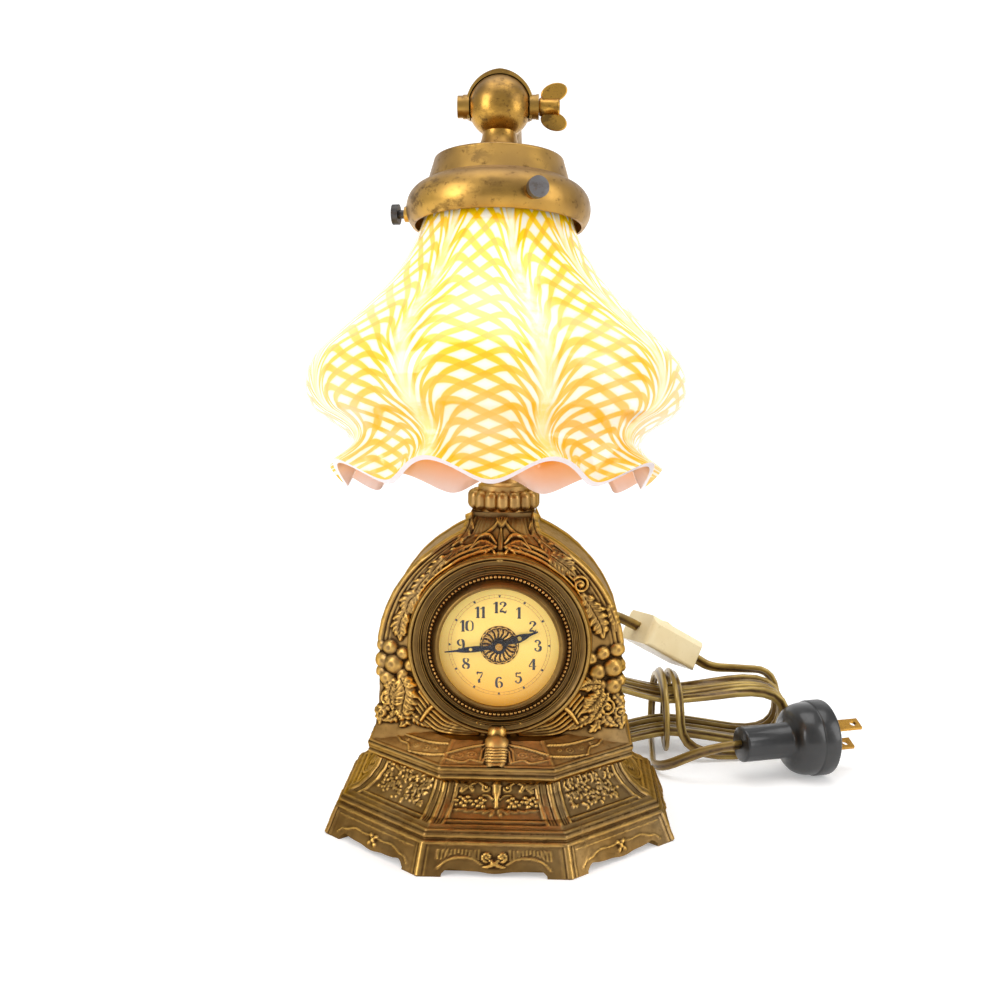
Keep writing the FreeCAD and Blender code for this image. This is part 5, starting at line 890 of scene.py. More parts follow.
# %% Fruit and leaves at the hips
LEFT_FRUIT = ((-45.7, 80.2, 3.4, 3.6), (-44.0, 73.4, 4.4, 4.9), (-48.6, 74.2, 3.6, 3.6),
              (-40.2, 78.2, 2.8, 3.0), (-36.9, 73.4, 2.7, 2.9), (-46.9, 67.2, 3.5, 4.0),
              (-40.3, 69.6, 2.7, 3.2), (-49.5, 80.6, 2.4, 2.2), (-49.4, 69.4, 2.6, 2.8))
RIGHT_FRUIT = ((46.6, 73.0, 4.2, 5.2), (40.2, 71.6, 3.6, 3.8), (48.2, 80.4, 3.1, 3.3),
               (42.4, 79.4, 3.0, 3.4), (46.8, 65.2, 3.7, 4.4), (50.0, 73.4, 2.8, 3.0),
               (37.6, 77.4, 2.6, 2.7), (41.6, 66.0, 2.7, 3.0), (49.6, 67.2, 2.6, 2.8))
for x, z, radius, height in LEFT_FRUIT + RIGHT_FRUIT:
    fruit(case_slab, (x, z), radius, height * 0.62, nib=True)
carve(case_slab,
      (leaf, [(-40.6, 68.6), (-38.4, 62.6), (-39.8, 54.2), (-37.2, 51.2)], 4.6, 3.0, 7, 0.35),
      (leaf, [(-43.6, 66.4), (-45.2, 60.4), (-43.8, 53.6)], 3.2, 2.6, 5, 0.4),
      (scroll, (-46.6, 58.0), 2.9, 1.4, 0.7, 2.4, 0.6),
      (scroll, (-49.4, 52.0), 2.2, 1.2, 0.6, 2.0, 2.6),
      (leaf, [(41.4, 66.6), (36.4, 66.9), (31.8, 65.4)], 2.7, 2.5, 5, 0.5),
      (leaf, [(41.8, 64.0), (38.4, 58.8), (33.8, 55.4)], 3.6, 2.8, 6, 0.4),
      (leaf, [(44.0, 62.0), (40.6, 55.6), (36.6, 50.6)], 2.8, 2.6, 5, 0.5),
      (scroll, (43.9, 56.4), 3.5, 1.6, 0.65, 2.6, 1.9, -1),
      (scroll, (49.6, 53.6), 2.6, 1.4, 0.6, 2.2, 0.4),
      (leaf, [(47.2, 61.6), (50.2, 58.0), (51.6, 53.0)], 2.0, 1.8, 4, 0.5),
      (leaf, [(-36.4, 52.6), (-33.4, 50.4), (-28.2, 48.0)], 1.9, 1.5, 4, 0.5),
      (leaf, [(-41.4, 54.6), (-43.4, 51.0), (-48.6, 48.2)], 2.4, 2.0, 4, 0.5),
      (leaf, [(36.8, 53.0), (33.4, 50.4), (28.6, 48.2)], 2.0, 1.6, 4, 0.5),
      (leaf, [(43.0, 53.6), (44.6, 50.4), (48.8, 47.8)], 2.3, 1.9, 4, 0.5),
      (leaf, [(40.4, 51.6), (40.0, 48.6), (37.4, 46.4)], 1.9, 1.7, 3, 0.5),
      (leaf, [(-39.4, 52.4), (-39.0, 49.2), (-41.4, 46.8)], 1.9, 1.6, 3, 0.5),
      (leaf, [(-46.2, 55.4), (-50.0, 51.4), (-50.4, 46.6)], 2.2, 1.7, 4, 0.5),
      (leaf, [(46.4, 55.6), (50.2, 51.2), (50.6, 46.4)], 2.2, 1.7, 4, 0.5),
      (leaf, [(-31.6, 51.0), (-26.0, 48.4), (-20.6, 46.2)], 1.3, 1.0, 4, 0.5),
      (leaf, [(31.6, 51.0), (26.0, 48.4), (20.6, 46.2)], 1.3, 1.0, 4, 0.5))

print("fruits:", len(LEFT_FRUIT + RIGHT_FRUIT))

# %% [markdown]
# Under the dial sheaves of reeds run in from both sides, tied by a band, to a small
# fluted shell in the middle. Then the case's slab is complete and becomes its skin,
# with the opening for the clock left out.

# %% Reeds under the dial, and the shell
for half in (case_slab, case_slab.mirrored()):
    reeds(half, [(31.4, 64.0), (28.0, 60.0), (26.6, 57.2)],
          [(37.0, 59.4), (33.6, 55.4), (31.6, 52.4)], 5, 0.75, 1.7)
    roll(half, [(25.6, 58.6), (28.8, 55.6), (31.8, 51.0)], (0.9, 1.2, 0.9), 2.7, 0.6)
    score(half, [(25.9, 58.2), (28.8, 55.6), (31.6, 51.4)], 0.25, 0.5)
    reeds(half, [(26.2, 57.4), (20.2, 52.6), (12.6, 50.6), (7.0, 49.2)],
          [(30.6, 51.0), (24.4, 47.3), (15.4, 46.5), (8.6, 46.7)], 5, 0.85, 2.0)
    scroll(half, (8.4, 51.6), 1.7, 1.2, 0.55, 2.2, 0.5 * math.pi)
for number in range(7):
    spread = (number - 3) * 2.1
    roll(case_slab, [(spread * 0.8, 51.6), (spread, 53.6 - 0.1 * abs(spread))], (0.8, 1.0),
         4.4 - 0.12 * abs(spread), 0.6)
fruit(case_slab, (-0.5, 47.6), 4.4, 5.0)

from_dial = np.hypot(case_base[..., 0], case_base[..., 2] - DIAL_HEIGHT)
case_skin = carved_piece("case_carving", case_base, case_slab.height, 0.22,
                         open_at=(from_dial < DIAL_OPENING) & (np.abs(case_share) <= 1))
dress(case_skin, casting_gilt, "stand")

# %% [markdown]
# The octagonal base is carved in the same way, on eight slabs, one to a face. A column
# of the grid climbs the profile, so up means distance along the profile and across
# means distance from the middle of the face, and each face can be drawn flat. The feet
# are what is left between shallow cut-outs, so a column over a cut-out starts higher.

# %% The surface of the base
BASE_PROFILE = ((73.1, 0.4), (68.3, 12.5), (66.8, 13.1), (66.8, 15.4), (64.4, 17.0),
                (59.9, 18.8), (55.5, 22.6), (52.1, 26.9), (50.3, 31.0), (53.8, 33.5),
                (55.3, 34.1), (55.3, 38.5))
TERRACE_PROFILE = ((55.5, 38.3), (44.0, 46.0))
FACE_COLUMNS = 80
APRON = ((0, 2.5, 4.5, 7, 11, 14.5, 16.5, 18, 19.5, 21, 22.5),
         (1.1, 1.25, 1.6, 1.9, 2.0, 2.3, 2.75, 3.0, 2.2, 0.5, 0))


def run_of(profile):
    steps = np.linalg.norm(np.diff(np.array(profile), axis=0), axis=1)
    return np.append(0, np.cumsum(steps))


def face_grid(profile, rows, cut=False):
    """Points, distance across and distance up, for eight faces side by side."""
    run = run_of(profile)
    apothems, heights = np.array(profile).T
    share = (np.arange(FACE_COLUMNS) + 0.5) / FACE_COLUMNS * 2 - 1
    climb = np.linspace(0, 1, rows)[:, None]
    grids = []
    for face in (4, 5, 6, 7, 0, 1, 2, 3):
        low = 0 * share
        if cut:
            half = share * apothems[0] * math.tan(math.pi / 8)
            low = np.interp(np.abs(half), *APRON)
        up = low + (run[-1] - low) * climb
        apothem = np.interp(up, run, apothems)
        across = share * apothem * math.tan(math.pi / 8)
        turn = math.radians(45 * face - 90)
        grids.append((np.stack([apothem * math.cos(turn) - across * math.sin(turn),
                                apothem * math.sin(turn) + across * math.cos(turn),
                                np.interp(up, run, heights)], -1), across, up, face))
    return grids


base_faces = face_grid(BASE_PROFILE, 118, cut=True)
terrace_faces = face_grid(TERRACE_PROFILE, 40)
BASE_RUN = run_of(BASE_PROFILE)
print("profile of the base climbs", BASE_RUN.round(1), "mm")

# %% [markdown]
# All eight faces share their mouldings: cornice and plinth lines that run level, and
# reeded pilasters at the corners. Each is a half round over a distance again, the level
# ones over the height, the upright ones over the distance from the corner.

# %% Mouldings and pilasters of every face
PANEL_LOW, PANEL_TOP = BASE_RUN[4], BASE_RUN[9]
FRONT, ANGLED, SIDES = (0, 4), (1, 3, 5, 7), (2, 6)


def mouldings(slab, apothem_half):
    """What all faces share: cornice lines, plinth lines and reeded corners."""
    up, edge = slab.up, apothem_half - np.abs(slab.across)
    for place, width, height in ((BASE_RUN[9] - 1.2, 0.6, 0.4), (BASE_RUN[10] + 0.2, 0.8, 0.55),
                                 (BASE_RUN[10] + 2.2, 0.5, 0.4), (BASE_RUN[11] - 0.8, 1.0, 0.7),
                                 (BASE_RUN[1] - 0.6, 0.7, 0.45), (BASE_RUN[2] + 1.1, 1.2, 0.5),
                                 (BASE_RUN[3] + 1.2, 0.7, 0.35), (BASE_RUN[4] + 1.0, 0.5, 0.3)):
        slab.lay_on(ridge(up, place, width, height))
    inside = (np.clip((up - PANEL_LOW) / 2, 0, 1) * np.clip((PANEL_TOP - up) / 1.5, 0, 1))
    for place, width, height in ((0.3, 1.0, 0.7), (2.3, 0.55, 0.5), (3.5, 0.55, 0.5),
                                 (5.2, 0.9, 0.65)):
        slab.lay_on(ridge(edge, place, width, height) * inside)
    slab.lay_on(ridge(edge, 0.2, 1.2, 0.6) * np.clip((BASE_RUN[1] - up) / 1.5, 0, 1))
    slab.lay_on(ridge(edge, 2.6, 0.5, 0.4) * np.clip((BASE_RUN[1] - 1 - up) / 1.5, 0, 1))
    frame_top = ridge(up, PANEL_TOP - 3.2, 0.6, 0.45) + ridge(up, PANEL_LOW + 3.4, 0.7, 0.5)
    slab.lay_on(frame_top * np.clip((edge - 4.4) / 1.2, 0, 1))


print("panel from", PANEL_LOW.round(1), "to", PANEL_TOP.round(1), "mm up the profile")

# %% [markdown]
# The front and the back face show an urn among vine leaves and grapes, over a plinth
# with flutes, a curved line and two scrolls that meet in the middle. Only the right
# half is drawn, and the mirrored slab is carved with it.

# %% The front panel
VINE_LEAVES = (((9.4, 39.6), (7.6, 42.2), 1.0), ((11.4, 38.8), (10.6, 42.2), 1.2),
               ((13.0, 38.8), (14.4, 42.0), 1.2), ((13.8, 38.4), (16.8, 39.6), 1.1),
               ((12.4, 38.2), (14.8, 36.0), 1.1), ((10.6, 38.2), (9.4, 36.4), 0.9))
LOW_LEAVES = (((2.0, 28.8), (5.6, 26.8)), ((4.2, 28.6), (9.0, 27.4)), ((1.0, 28.6), (2.2, 25.6)),
              ((8.4, 28.6), (13.4, 27.6)), ((12.0, 28.6), (17.2, 28.6)))
GRAPES = ((6.4, 33.6, 0.95), (7.9, 32.4, 0.95), (6.2, 31.6, 0.95), (4.9, 32.8, 0.8),
          (7.3, 30.4, 0.9), (5.2, 30.2, 0.85), (11.6, 34.0, 0.95), (13.2, 33.2, 0.95),
          (14.6, 34.0, 0.85), (12.2, 32.2, 0.9), (14.2, 31.6, 0.9), (16.0, 32.6, 0.9),
          (12.8, 30.4, 0.85), (10.4, 32.4, 0.8), (16.2, 30.8, 0.7), (9.2, 31.0, 0.7))
FLUTES, FLUTE_START, FLUTE_STEP = 13, 6.0, 1.35
FLUTE_TOP, FLUTE_LOW, FLUTE_ARCH = 9.9, 6.6, 2.4


def front_panel(slab):
    """An urn with scrolled handles, vine leaves and grapes, over a fluted plinth."""
    roll(slab, [(0, 42.6), (0, 40.4), (0, 38.6)], (0.5, 1.3, 0.6), 0.9)
    roll(slab, [(0, 38.8), (0, 35.4), (0, 32.4)], (1.9, 1.5, 0.5), 1.0)
    roll(slab, [(0, 31.8), (0, 29.8)], (0.9, 0.4), 0.8)
    for half in (slab, slab.mirrored()):
        scroll(half, (4.5, 38.0), 1.7, 1.1, 0.42, 0.9, math.pi)
        roll(half, [(5.6, 39.2), (8.4, 40.4), (11.2, 38.4), (14.6, 38.8)], (0.4, 0.5, 0.3), 0.9)
        for start, tip, width in VINE_LEAVES:
            leaf(half, [start, tip], width, 1.0, 2)
        for x, z, radius in GRAPES:
            fruit(half, (x, z), radius, 1.0)
        roll(half, [(1.2, 33.0), (3.2, 34.8), (5.6, 34.8)], (0.3, 0.35, 0.2), 0.8)
        for start, tip in LOW_LEAVES:
            leaf(half, [start, tip], 0.8, 0.6, 2)
        for number in range(FLUTES):
            x = FLUTE_START + number * FLUTE_STEP
            foot = FLUTE_LOW + FLUTE_ARCH * max(0, 1 - abs(number - FLUTES // 2) / 5) ** 0.7
            roll(half, [(x, foot), (x, FLUTE_TOP)], (0.42, 0.42), 0.55)
        roll(half, [(5.0, 4.6), (9.0, 6.8), (15.0, 7.0), (19.4, 5.4), (22.4, 2.6)],
             (0.4, 0.5, 0.4), 0.55)
        scroll(half, (3.0, 7.4), 1.8, 1.2, 0.6, 1.3, -0.5 * math.pi)
        roll(half, [(1.6, 6.2), (0.5, 4.9), (1.8, 4.1), (3.8, 3.6)], (0.5, 0.8, 0.4), 1.2)


print("front panel on faces", FRONT, "with", 2 * len(GRAPES), "grapes")

# %% [markdown]
# The four angled faces carry a dense spray of small leaves. Nobody can read it leaf by
# leaf, so it is strewn by chance, with the number of the face as the seed, and each
# face stays the same from run to run. The two sides show a rose in an oval frame, over
# the plinth of the angled faces.

# %% The other panels
SPRAY_SIDE, SPRAY_LOW, SPRAY_TOP, SPRAY_LEAVES = 14.5, 26.5, 40.0, 150
ROSE_HEIGHT = 33.0


def spray(slab, seed):
    """Small leaves strewn over a panel."""
    chance = np.random.default_rng(seed)
    for _ in range(SPRAY_LEAVES):
        x = chance.uniform(-SPRAY_SIDE, SPRAY_SIDE)
        z = chance.uniform(SPRAY_LOW, SPRAY_TOP)
        turn = chance.uniform(0, 2 * math.pi)
        step = np.array((math.cos(turn), math.sin(turn))) * chance.uniform(1.0, 2.2)
        roll(slab, [(x, z), (x + step[0] * 0.5 - step[1] * 0.2, z + step[1] * 0.5),
             (x + step[0], z + step[1])], (0.3, 0.75, 0.2), 0.6)


def angled_panel(slab, seed):
    """A leafy panel over a plinth with a curved line and a small flower."""
    spray(slab, seed)
    for half in (slab, slab.mirrored()):
        roll(half, [(0, 7.0), (6.0, 6.4), (12.0, 6.8), (17.4, 5.0), (20.4, 4.6), (23.0, 2.4)],
             (0.35, 0.45, 0.3), 0.5)
        roll(half, [(0, 9.9), (24.0, 9.9)], (0.35, 0.35), 0.35)
    flower = np.array((0, 5.4))
    for petal in range(4):
        turn = petal * math.pi / 2 + 0.78
        step = np.array((math.cos(turn), math.sin(turn)))
        roll(slab, [flower, flower + step * 2.5], (0.25, 0.8), 0.9)
    fruit(slab, flower, 0.7, 1.1)


def side_panel(slab, seed):
    """A rose in an oval frame."""
    for wide, tall, width in ((15.0, 9.6, 0.6), (13.4, 8.4, 0.4)):
        roll(slab, oval((0, ROSE_HEIGHT), wide, tall, 19), (width, width), width)
    for radius, petals, size in ((4.4, 9, 1.9), (2.4, 6, 1.5)):
        for number in range(petals):
            angle = number * 2 * math.pi / petals + radius
            fruit(slab, (radius * math.cos(angle), ROSE_HEIGHT + radius * math.sin(angle)),
                  size, 0.9)
    fruit(slab, (0, ROSE_HEIGHT), 1.4, 1.3)
    for half in (slab, slab.mirrored()):
        leaf(half, [(6.0, 32.6), (9.0, 34.2), (12.0, 32.6)], 1.9, 0.8, 4)
    angled = Slab(slab.across, slab.up)
    angled_panel(angled, seed)
    slab.lay_on(angled.height * (slab.up < BASE_RUN[2]))


print("sprays on faces", ANGLED, "and roses on", SIDES)

# %% [markdown]
# Now each face gets its slab, its mouldings and its panel. The eight are joined side by
# side into one grid that closes on itself at the back, so the skin has no seam at the
# corners and dirt can gather over them too.

# %% The skin of the base
heights = []
for points, across, up, face in base_faces:
    slab = Slab(across, up)
    mouldings(slab, np.abs(across).max(1)[:, None] + 0.35)
    if face in FRONT:
        front_panel(slab)
    elif face in ANGLED:
        angled_panel(slab, face)
    else:
        side_panel(slab, face)
    heights.append(slab.height)


def ring_of_faces(faces, heights):
    """Eight faces as one grid that closes on itself at the back."""
    points = np.concatenate([face[0] for face in faces], 1)
    height = np.concatenate(heights, 1)
    return (np.concatenate([points, points[:, :1]], 1), np.concatenate([height, height[:, :1]], 1))


base_points, base_height = ring_of_faces(base_faces, heights)
SKIN_LIFT, SKIN_WANDER = 0.2, 0.05
base_skin = carved_piece("base_carving", base_points, base_height, SKIN_LIFT, SKIN_WANDER, seed=5)
dress(base_skin, casting_gilt, "stand")

# %% [markdown]
# On the terrace sits a moth, its head against the case under the dial and its ringed
# body reaching to the front edge, with patterned wings spread over three faces. The
# spots on the wings are low rings round a bead. A wing crosses a corner of the base, so
# its inner half belongs to the front face and its outer half to the next.

# %% The moth on the terrace
def eye_spot(slab, centre, radius):
    """A ringed spot on a wing."""
    roll(slab, oval(centre, radius, radius * 0.7), (0.22, 0.22), 0.4)
    fruit(slab, centre, radius * 0.35, 0.4)


def moth_front(slab):
    """The body, the head and the inner halves of both wings."""
    roll(slab, [(-0.4, 0.9), (-0.4, 4.0), (-0.4, 8.6), (-0.4, 11.6)], (3.0, 4.4, 4.7, 3.2), 2.6,
         0.55, (0.6, 1))
    for number in range(6):
        z = 1.9 + number * 1.35
        score(slab, [(-4.9, z + 0.9), (-0.4, z - 0.35), (4.1, z + 0.9)], 0.42, 0.7)
    fruit(slab, (-0.4, 12.2), 5.0, 3.4)
    for half in (slab, slab.mirrored()):
        roll(half, [(2.4, 11.2), (4.6, 8.0), (5.6, 2.6)], (0.35, 0.4, 0.3), 0.75)
        roll(half, [(3.4, 11.4), (6.4, 8.2), (6.6, 2.8)], (0.3, 0.3, 0.25), 0.6)
        roll(half, [(5.6, 2.6), (10.6, 4.0), (14.2, 2.6), (21.6, 4.6)], (0.3, 0.35, 0.3), 0.6)
        roll(half, [(3.2, 11.8), (11.4, 10.0), (21.6, 6.4)], (0.4, 0.5, 0.4), 0.8)
    for x, z, radius in ((10.2, 6.6, 1.7), (15.0, 6.0, 1.3), (17.6, 5.2, 0.8)):
        eye_spot(slab, (x, z), radius)
        eye_spot(slab, (-x, z), radius)


def moth_wing(slab, side):
    """The outer half of a wing, on the angled face beside the front."""
    half = slab if side > 0 else slab.mirrored()
    roll(half, [(-21.6, 6.4), (-12.0, 3.4), (-2.0, 1.9)], (0.4, 0.5, 0.3), 0.8)
    roll(half, [(-18.0, 11.4), (-8.0, 9.2), (6.0, 8.8), (16.0, 9.8)], (0.4, 0.5, 0.3), 0.8)
    roll(half, [(-2.0, 1.9), (1.6, 5.0), (7.0, 5.4), (16.0, 9.8)], (0.3, 0.4, 0.3), 0.7)
    for x, z, radius in ((-9.0, 6.3, 1.7), (-2.6, 5.8, 1.2), (4.0, 6.9, 0.9), (-13.8, 7.6, 0.9)):
        eye_spot(slab, (side * x, z), radius)


heights = []
for points, across, up, face in terrace_faces:
    slab = Slab(across, up)
    slab.lay_on(ridge(up, 0.5, 0.8, 0.5))
    slab.lay_on(ridge(np.abs(across).max(1)[:, None] + 0.3 - np.abs(across), 0.1, 0.8, 0.35))
    if face == 0:
        moth_front(slab)
    elif face in (1, 7):
        moth_wing(slab, 1 if face == 1 else -1)
    heights.append(slab.height)
terrace_points, terrace_height = ring_of_faces(terrace_faces, heights)
terrace_skin = carved_piece("terrace_carving", terrace_points, terrace_height, SKIN_LIFT,
                            SKIN_WANDER, seed=8)
# painted light: the level terrace gets a brighter copy of the gilding, making up for the dark it
# mirrors from the case and shade
terrace_painted_light_gilt = old_gilding("terrace_gilding", bright=1.25, film=1.3, roughness=0.46)
dress(terrace_skin, terrace_painted_light_gilt, "stand")

# %% [markdown]
# The ring round the dial and the bezel in it were turned on a lathe, so each is one
# outline swept round the dial's axis. From outside inwards the ring has one round roll,
# a shallow hollow and two thin fillets, and then it drops to the bezel. Its hollows are
# worked out from the outline itself, so that old dirt and painted shade can go into them.

# %% Turned rings
DIAL_CENTRE = np.array((0.0, -37.0, DIAL_HEIGHT))


def on_dial(across, up, forward):
    """A place in front of the dial: right, up, and towards the viewer."""
    across, up, forward = np.broadcast_arrays(across, up, forward)
    return np.stack([DIAL_CENTRE[0] + across, DIAL_CENTRE[1] - forward,
                     DIAL_CENTRE[2] + up], -1)


def turned_ring(name, outline, finish, body, steps=180, groove=(0, 0)):
    """An outline of (radius, forward) swept round the dial's axis, with its hollows marked."""
    outline = smooth_path(outline, steps=4)
    turn = np.linspace(0, 2 * math.pi, steps, endpoint=False)
    radius, forward = outline[:, 0], outline[:, 1]
    rows = [on_dial(radius * math.sin(t), radius * math.cos(t), forward) * MM for t in turn]
    mesh = sheet_mesh(name, rows + rows[:1])
    close_seams(mesh, ends=False)
    if sum(face.normal.y for face in mesh.polygons) > 0:
        mesh.flip_normals()
    nearest = np.array([v.co[:] for v in mesh.vertices]) / MM - DIAL_CENTRE
    spot = np.hypot(nearest[:, 0], nearest[:, 2])
    around = np.convolve(np.pad(forward, 4, "edge"), np.ones(9) / 9, "valid")
    order = np.argsort(radius)
    level = np.interp(spot, radius[order], (around - forward)[order])
    # painted shade: the groove that holds the beads counts as fully deep, so it goes dark
    level[(spot > groove[0]) & (spot < groove[1])] = 1
    mark_points(mesh, "hollow", np.clip(level / 0.35, -1, 1))
    mark_points(mesh, "rise", np.full(len(level), 0.5))
    print(name, "outline of", len(outline), "points,", len(mesh.polygons), "faces")
    return dress(new_object(name, mesh), finish, body)


RING_OUTLINE = ((38.4, -9.0), (37.7, -2.0), (37.55, 1.0), (37.3, 2.1), (36.8, 2.8), (36.2, 2.85),
                (35.75, 2.4), (35.5, 1.95), (35.2, 2.3), (34.8, 2.2), (34.2, 1.9), (33.7, 1.8),
                (33.3, 1.9), (33.05, 2.25), (32.8, 2.3), (32.6, 1.95), (32.4, 1.95), (32.2, 2.3),
                (32.0, 2.25), (31.8, 1.6), (31.65, 0.3))
ring_gilt = old_gilding("ring_gilding", bright=0.8, rub_and_highlight_share=1.0)
turned_ring("dial_ring", RING_OUTLINE[::-1], ring_gilt, "stand")
BEZEL_OUTLINE = ((31.15, 1.3), (30.9, 1.5), (30.5, 1.45), (30.2, 1.85), (29.9, 2.0), (29.7, 1.75),
                 (28.6, 1.75), (27.6, 1.75), (27.4, 2.2), (27.1, 3.2), (26.7, 4.2), (26.0, 5.1),
                 (25.3, 5.55), (24.7, 5.65), (24.35, 5.4), (24.3, 4.6))

# %% [markdown]
# Round the glass runs a row of a hundred small beads in a groove. They are one bead
# repeated, and the spacing has to come out even with no gap at the end, so Geometry
# Nodes lay them: a circle gives the places, and the number and size stay inputs.

# %% Beads by Geometry Nodes
def node_tree(name, inputs):
    """An empty node group with a geometry output and named inputs."""
    tree = bpy.data.node_groups.new(name, "GeometryNodeTree")
    tree.interface.new_socket("Geometry", in_out="OUTPUT", socket_type="NodeSocketGeometry")
    for label, kind, value in inputs:
        socket = tree.interface.new_socket(label, in_out="INPUT", socket_type="NodeSocket" + kind)
        socket.default_value = value
    return tree


def geometry_piece(name, tree, body, slot, **values):
    """Runs a tree on an empty object and keeps the result as a plain mesh."""
    carrier = new_object(name + "_carrier", bpy.data.meshes.new(name + "_seed"))
    modifier = carrier.modifiers.new("build", "NODES")
    modifier.node_group = tree
    for item in tree.interface.items_tree:
        if item.in_out == "INPUT" and item.name.replace(" ", "_") in values:
            modifier[item.identifier] = values[item.name.replace(" ", "_")]
    graph = bpy.context.evaluated_depsgraph_get()
    mesh = bpy.data.meshes.new_from_object(carrier.evaluated_get(graph))
    mesh.name = name
    bpy.data.objects.remove(carrier)
    made = new_object(name, mesh)
    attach(made, body)
    print(name, len(mesh.polygons), "faces")
    return made


def link_nodes(tree, *pairs):
    for source, target in pairs:
        tree.links.new(source, target)


def beads_tree(finish):
    tree = node_tree("beads_in_a_ring", (
        ("Count", "Int", 12), ("Ring Radius", "Float", 0.01), ("Bead Radius", "Float", 0.001),
        ("Centre", "Vector", (0, 0, 0)), ("Flatness", "Float", 1.0)))
    add = tree.nodes.new
    given, out = add("NodeGroupInput"), add("NodeGroupOutput")
    circle = add("GeometryNodeMeshCircle")
    bead = add("GeometryNodeMeshUVSphere")
    bead.inputs["Segments"].default_value, bead.inputs["Rings"].default_value = 12, 7
    smooth = add("GeometryNodeSetShadeSmooth")
    place = add("GeometryNodeInstanceOnPoints")
    squash = add("ShaderNodeCombineXYZ")
    squash.inputs["X"].default_value = squash.inputs["Y"].default_value = 1
    stand = add("GeometryNodeTransform")
    stand.inputs["Rotation"].default_value = (math.pi / 2, 0, 0)
    whole, paint = add("GeometryNodeRealizeInstances"), add("GeometryNodeSetMaterial")
    paint.inputs["Material"].default_value = finish.material
    link_nodes(
        tree, (given.outputs["Count"], circle.inputs["Vertices"]),
        (given.outputs["Ring Radius"], circle.inputs["Radius"]),
        (given.outputs["Bead Radius"], bead.inputs["Radius"]),
        (given.outputs["Flatness"], squash.inputs["Z"]),
        (circle.outputs["Mesh"], place.inputs["Points"]),
        (bead.outputs["Mesh"], smooth.inputs["Geometry"]),
        (smooth.outputs["Geometry"], place.inputs["Instance"]),
        (squash.outputs["Vector"], place.inputs["Scale"]),
        (place.outputs["Instances"], stand.inputs["Geometry"]),
        (given.outputs["Centre"], stand.inputs["Translation"]),
        (stand.outputs["Geometry"], whole.inputs["Geometry"]),
        (whole.outputs["Geometry"], paint.inputs["Geometry"]),
        (paint.outputs["Geometry"], out.inputs["Geometry"]))
    return tree


bezel_brass = old_gilding("bezel_brass", bright=0.84, rub_and_highlight_share=0.8, film=1.6, roughness=0.42)
turned_ring("bezel_turning", BEZEL_OUTLINE[::-1], bezel_brass, "stand",
            groove=(27.35, 29.75))
# painted highlight: the beads get a brighter copy of the bezel's gilding
bead_brass = old_gilding("bead_brass", bright=1.3, rub_and_highlight_share=1.2, film=0.4, roughness=0.26)
BEAD_RING, BEAD_COUNT = 28.55, 104
geometry_piece("bezel_beads", beads_tree(bead_brass), "stand", "lacquered_brass", Count=BEAD_COUNT,
               Ring_Radius=BEAD_RING * MM, Bead_Radius=0.74 * MM, Flatness=0.85,
               Centre=tuple(on_dial(0, 0, 1.95) * MM))

# %% [markdown]
# The dial is enamelled card, yellow with age and deeper orange towards the bottom, with
# a thin printed minute track, a dot or a small triangle for each hour, and old style
# numerals whose strokes swell and stop short of each other. Printing has no thickness,
# yet it needs a surface, so each mark is a flat shape a twentieth of a millimetre above
# the card. A numeral is a few brush strokes: a path and its changing width.

# %% Printed marks
INK_LIFT = 0.05


def ribbon(path, widths, steps=6):
    """Left and right edges of a brush stroke."""
    path = smooth_path(path, steps=steps)
    half = np.interp(np.linspace(0, 1, len(path)), np.linspace(0, 1, len(widths)), widths)
    run = np.gradient(path, axis=0)
    run /= np.linalg.norm(run, axis=1)[:, None]
    side = np.stack([-run[:, 1], run[:, 0]], -1) * half[:, None]
    return path + side, path - side


class Print:
    """Flat shapes gathered into one mesh, in millimetres on the dial."""

    def __init__(self):
        self.points, self.faces = [], []

    def stroke(self, path, widths, centre=(0, 0), size=1.0, steps=6):
        left, right = ribbon(path, widths, steps)
        start = len(self.points)
        for one, other in zip(left, right):
            self.points += [np.array(centre) + one * size, np.array(centre) + other * size]
        for number in range(len(left) - 1):
            a = start + 2 * number
            self.faces.append((a, a + 2, a + 3, a + 1))

    def disc(self, centre, radius, corners=16, turn=0.0):
        start = len(self.points)
        for number in range(corners):
            angle = turn + number * 2 * math.pi / corners
            self.points.append(np.array(centre) + radius * np.array((math.sin(angle),
                                                                    math.cos(angle))))
        self.faces.append(tuple(range(start, start + corners))[::-1])

    def piece(self, name, finish, forward, body, slot):
        points = np.array(self.points)
        mesh = bpy.data.meshes.new(name)
        mesh.from_pydata([tuple(p) for p in on_dial(points[:, 0], points[:, 1], forward) * MM],
                         [], self.faces)
        close_seams(mesh, 1e-8, smooth=False, ends=False)
        for face in mesh.polygons:
            if face.normal.y > 0:
                face.flip()
        print(name, len(mesh.polygons), "faces")
        return dress(new_object(name, mesh), finish, body)


print("ink lies", INK_LIFT, "mm above the card")

# %% [markdown]
# Old style numerals swell and thin as a broad pen makes them, and their strokes stop
# just short of each other. Each digit is a few paths with their widths, in shares of
# the digit's height. A nine is a six turned upside down, so it isn't drawn again.

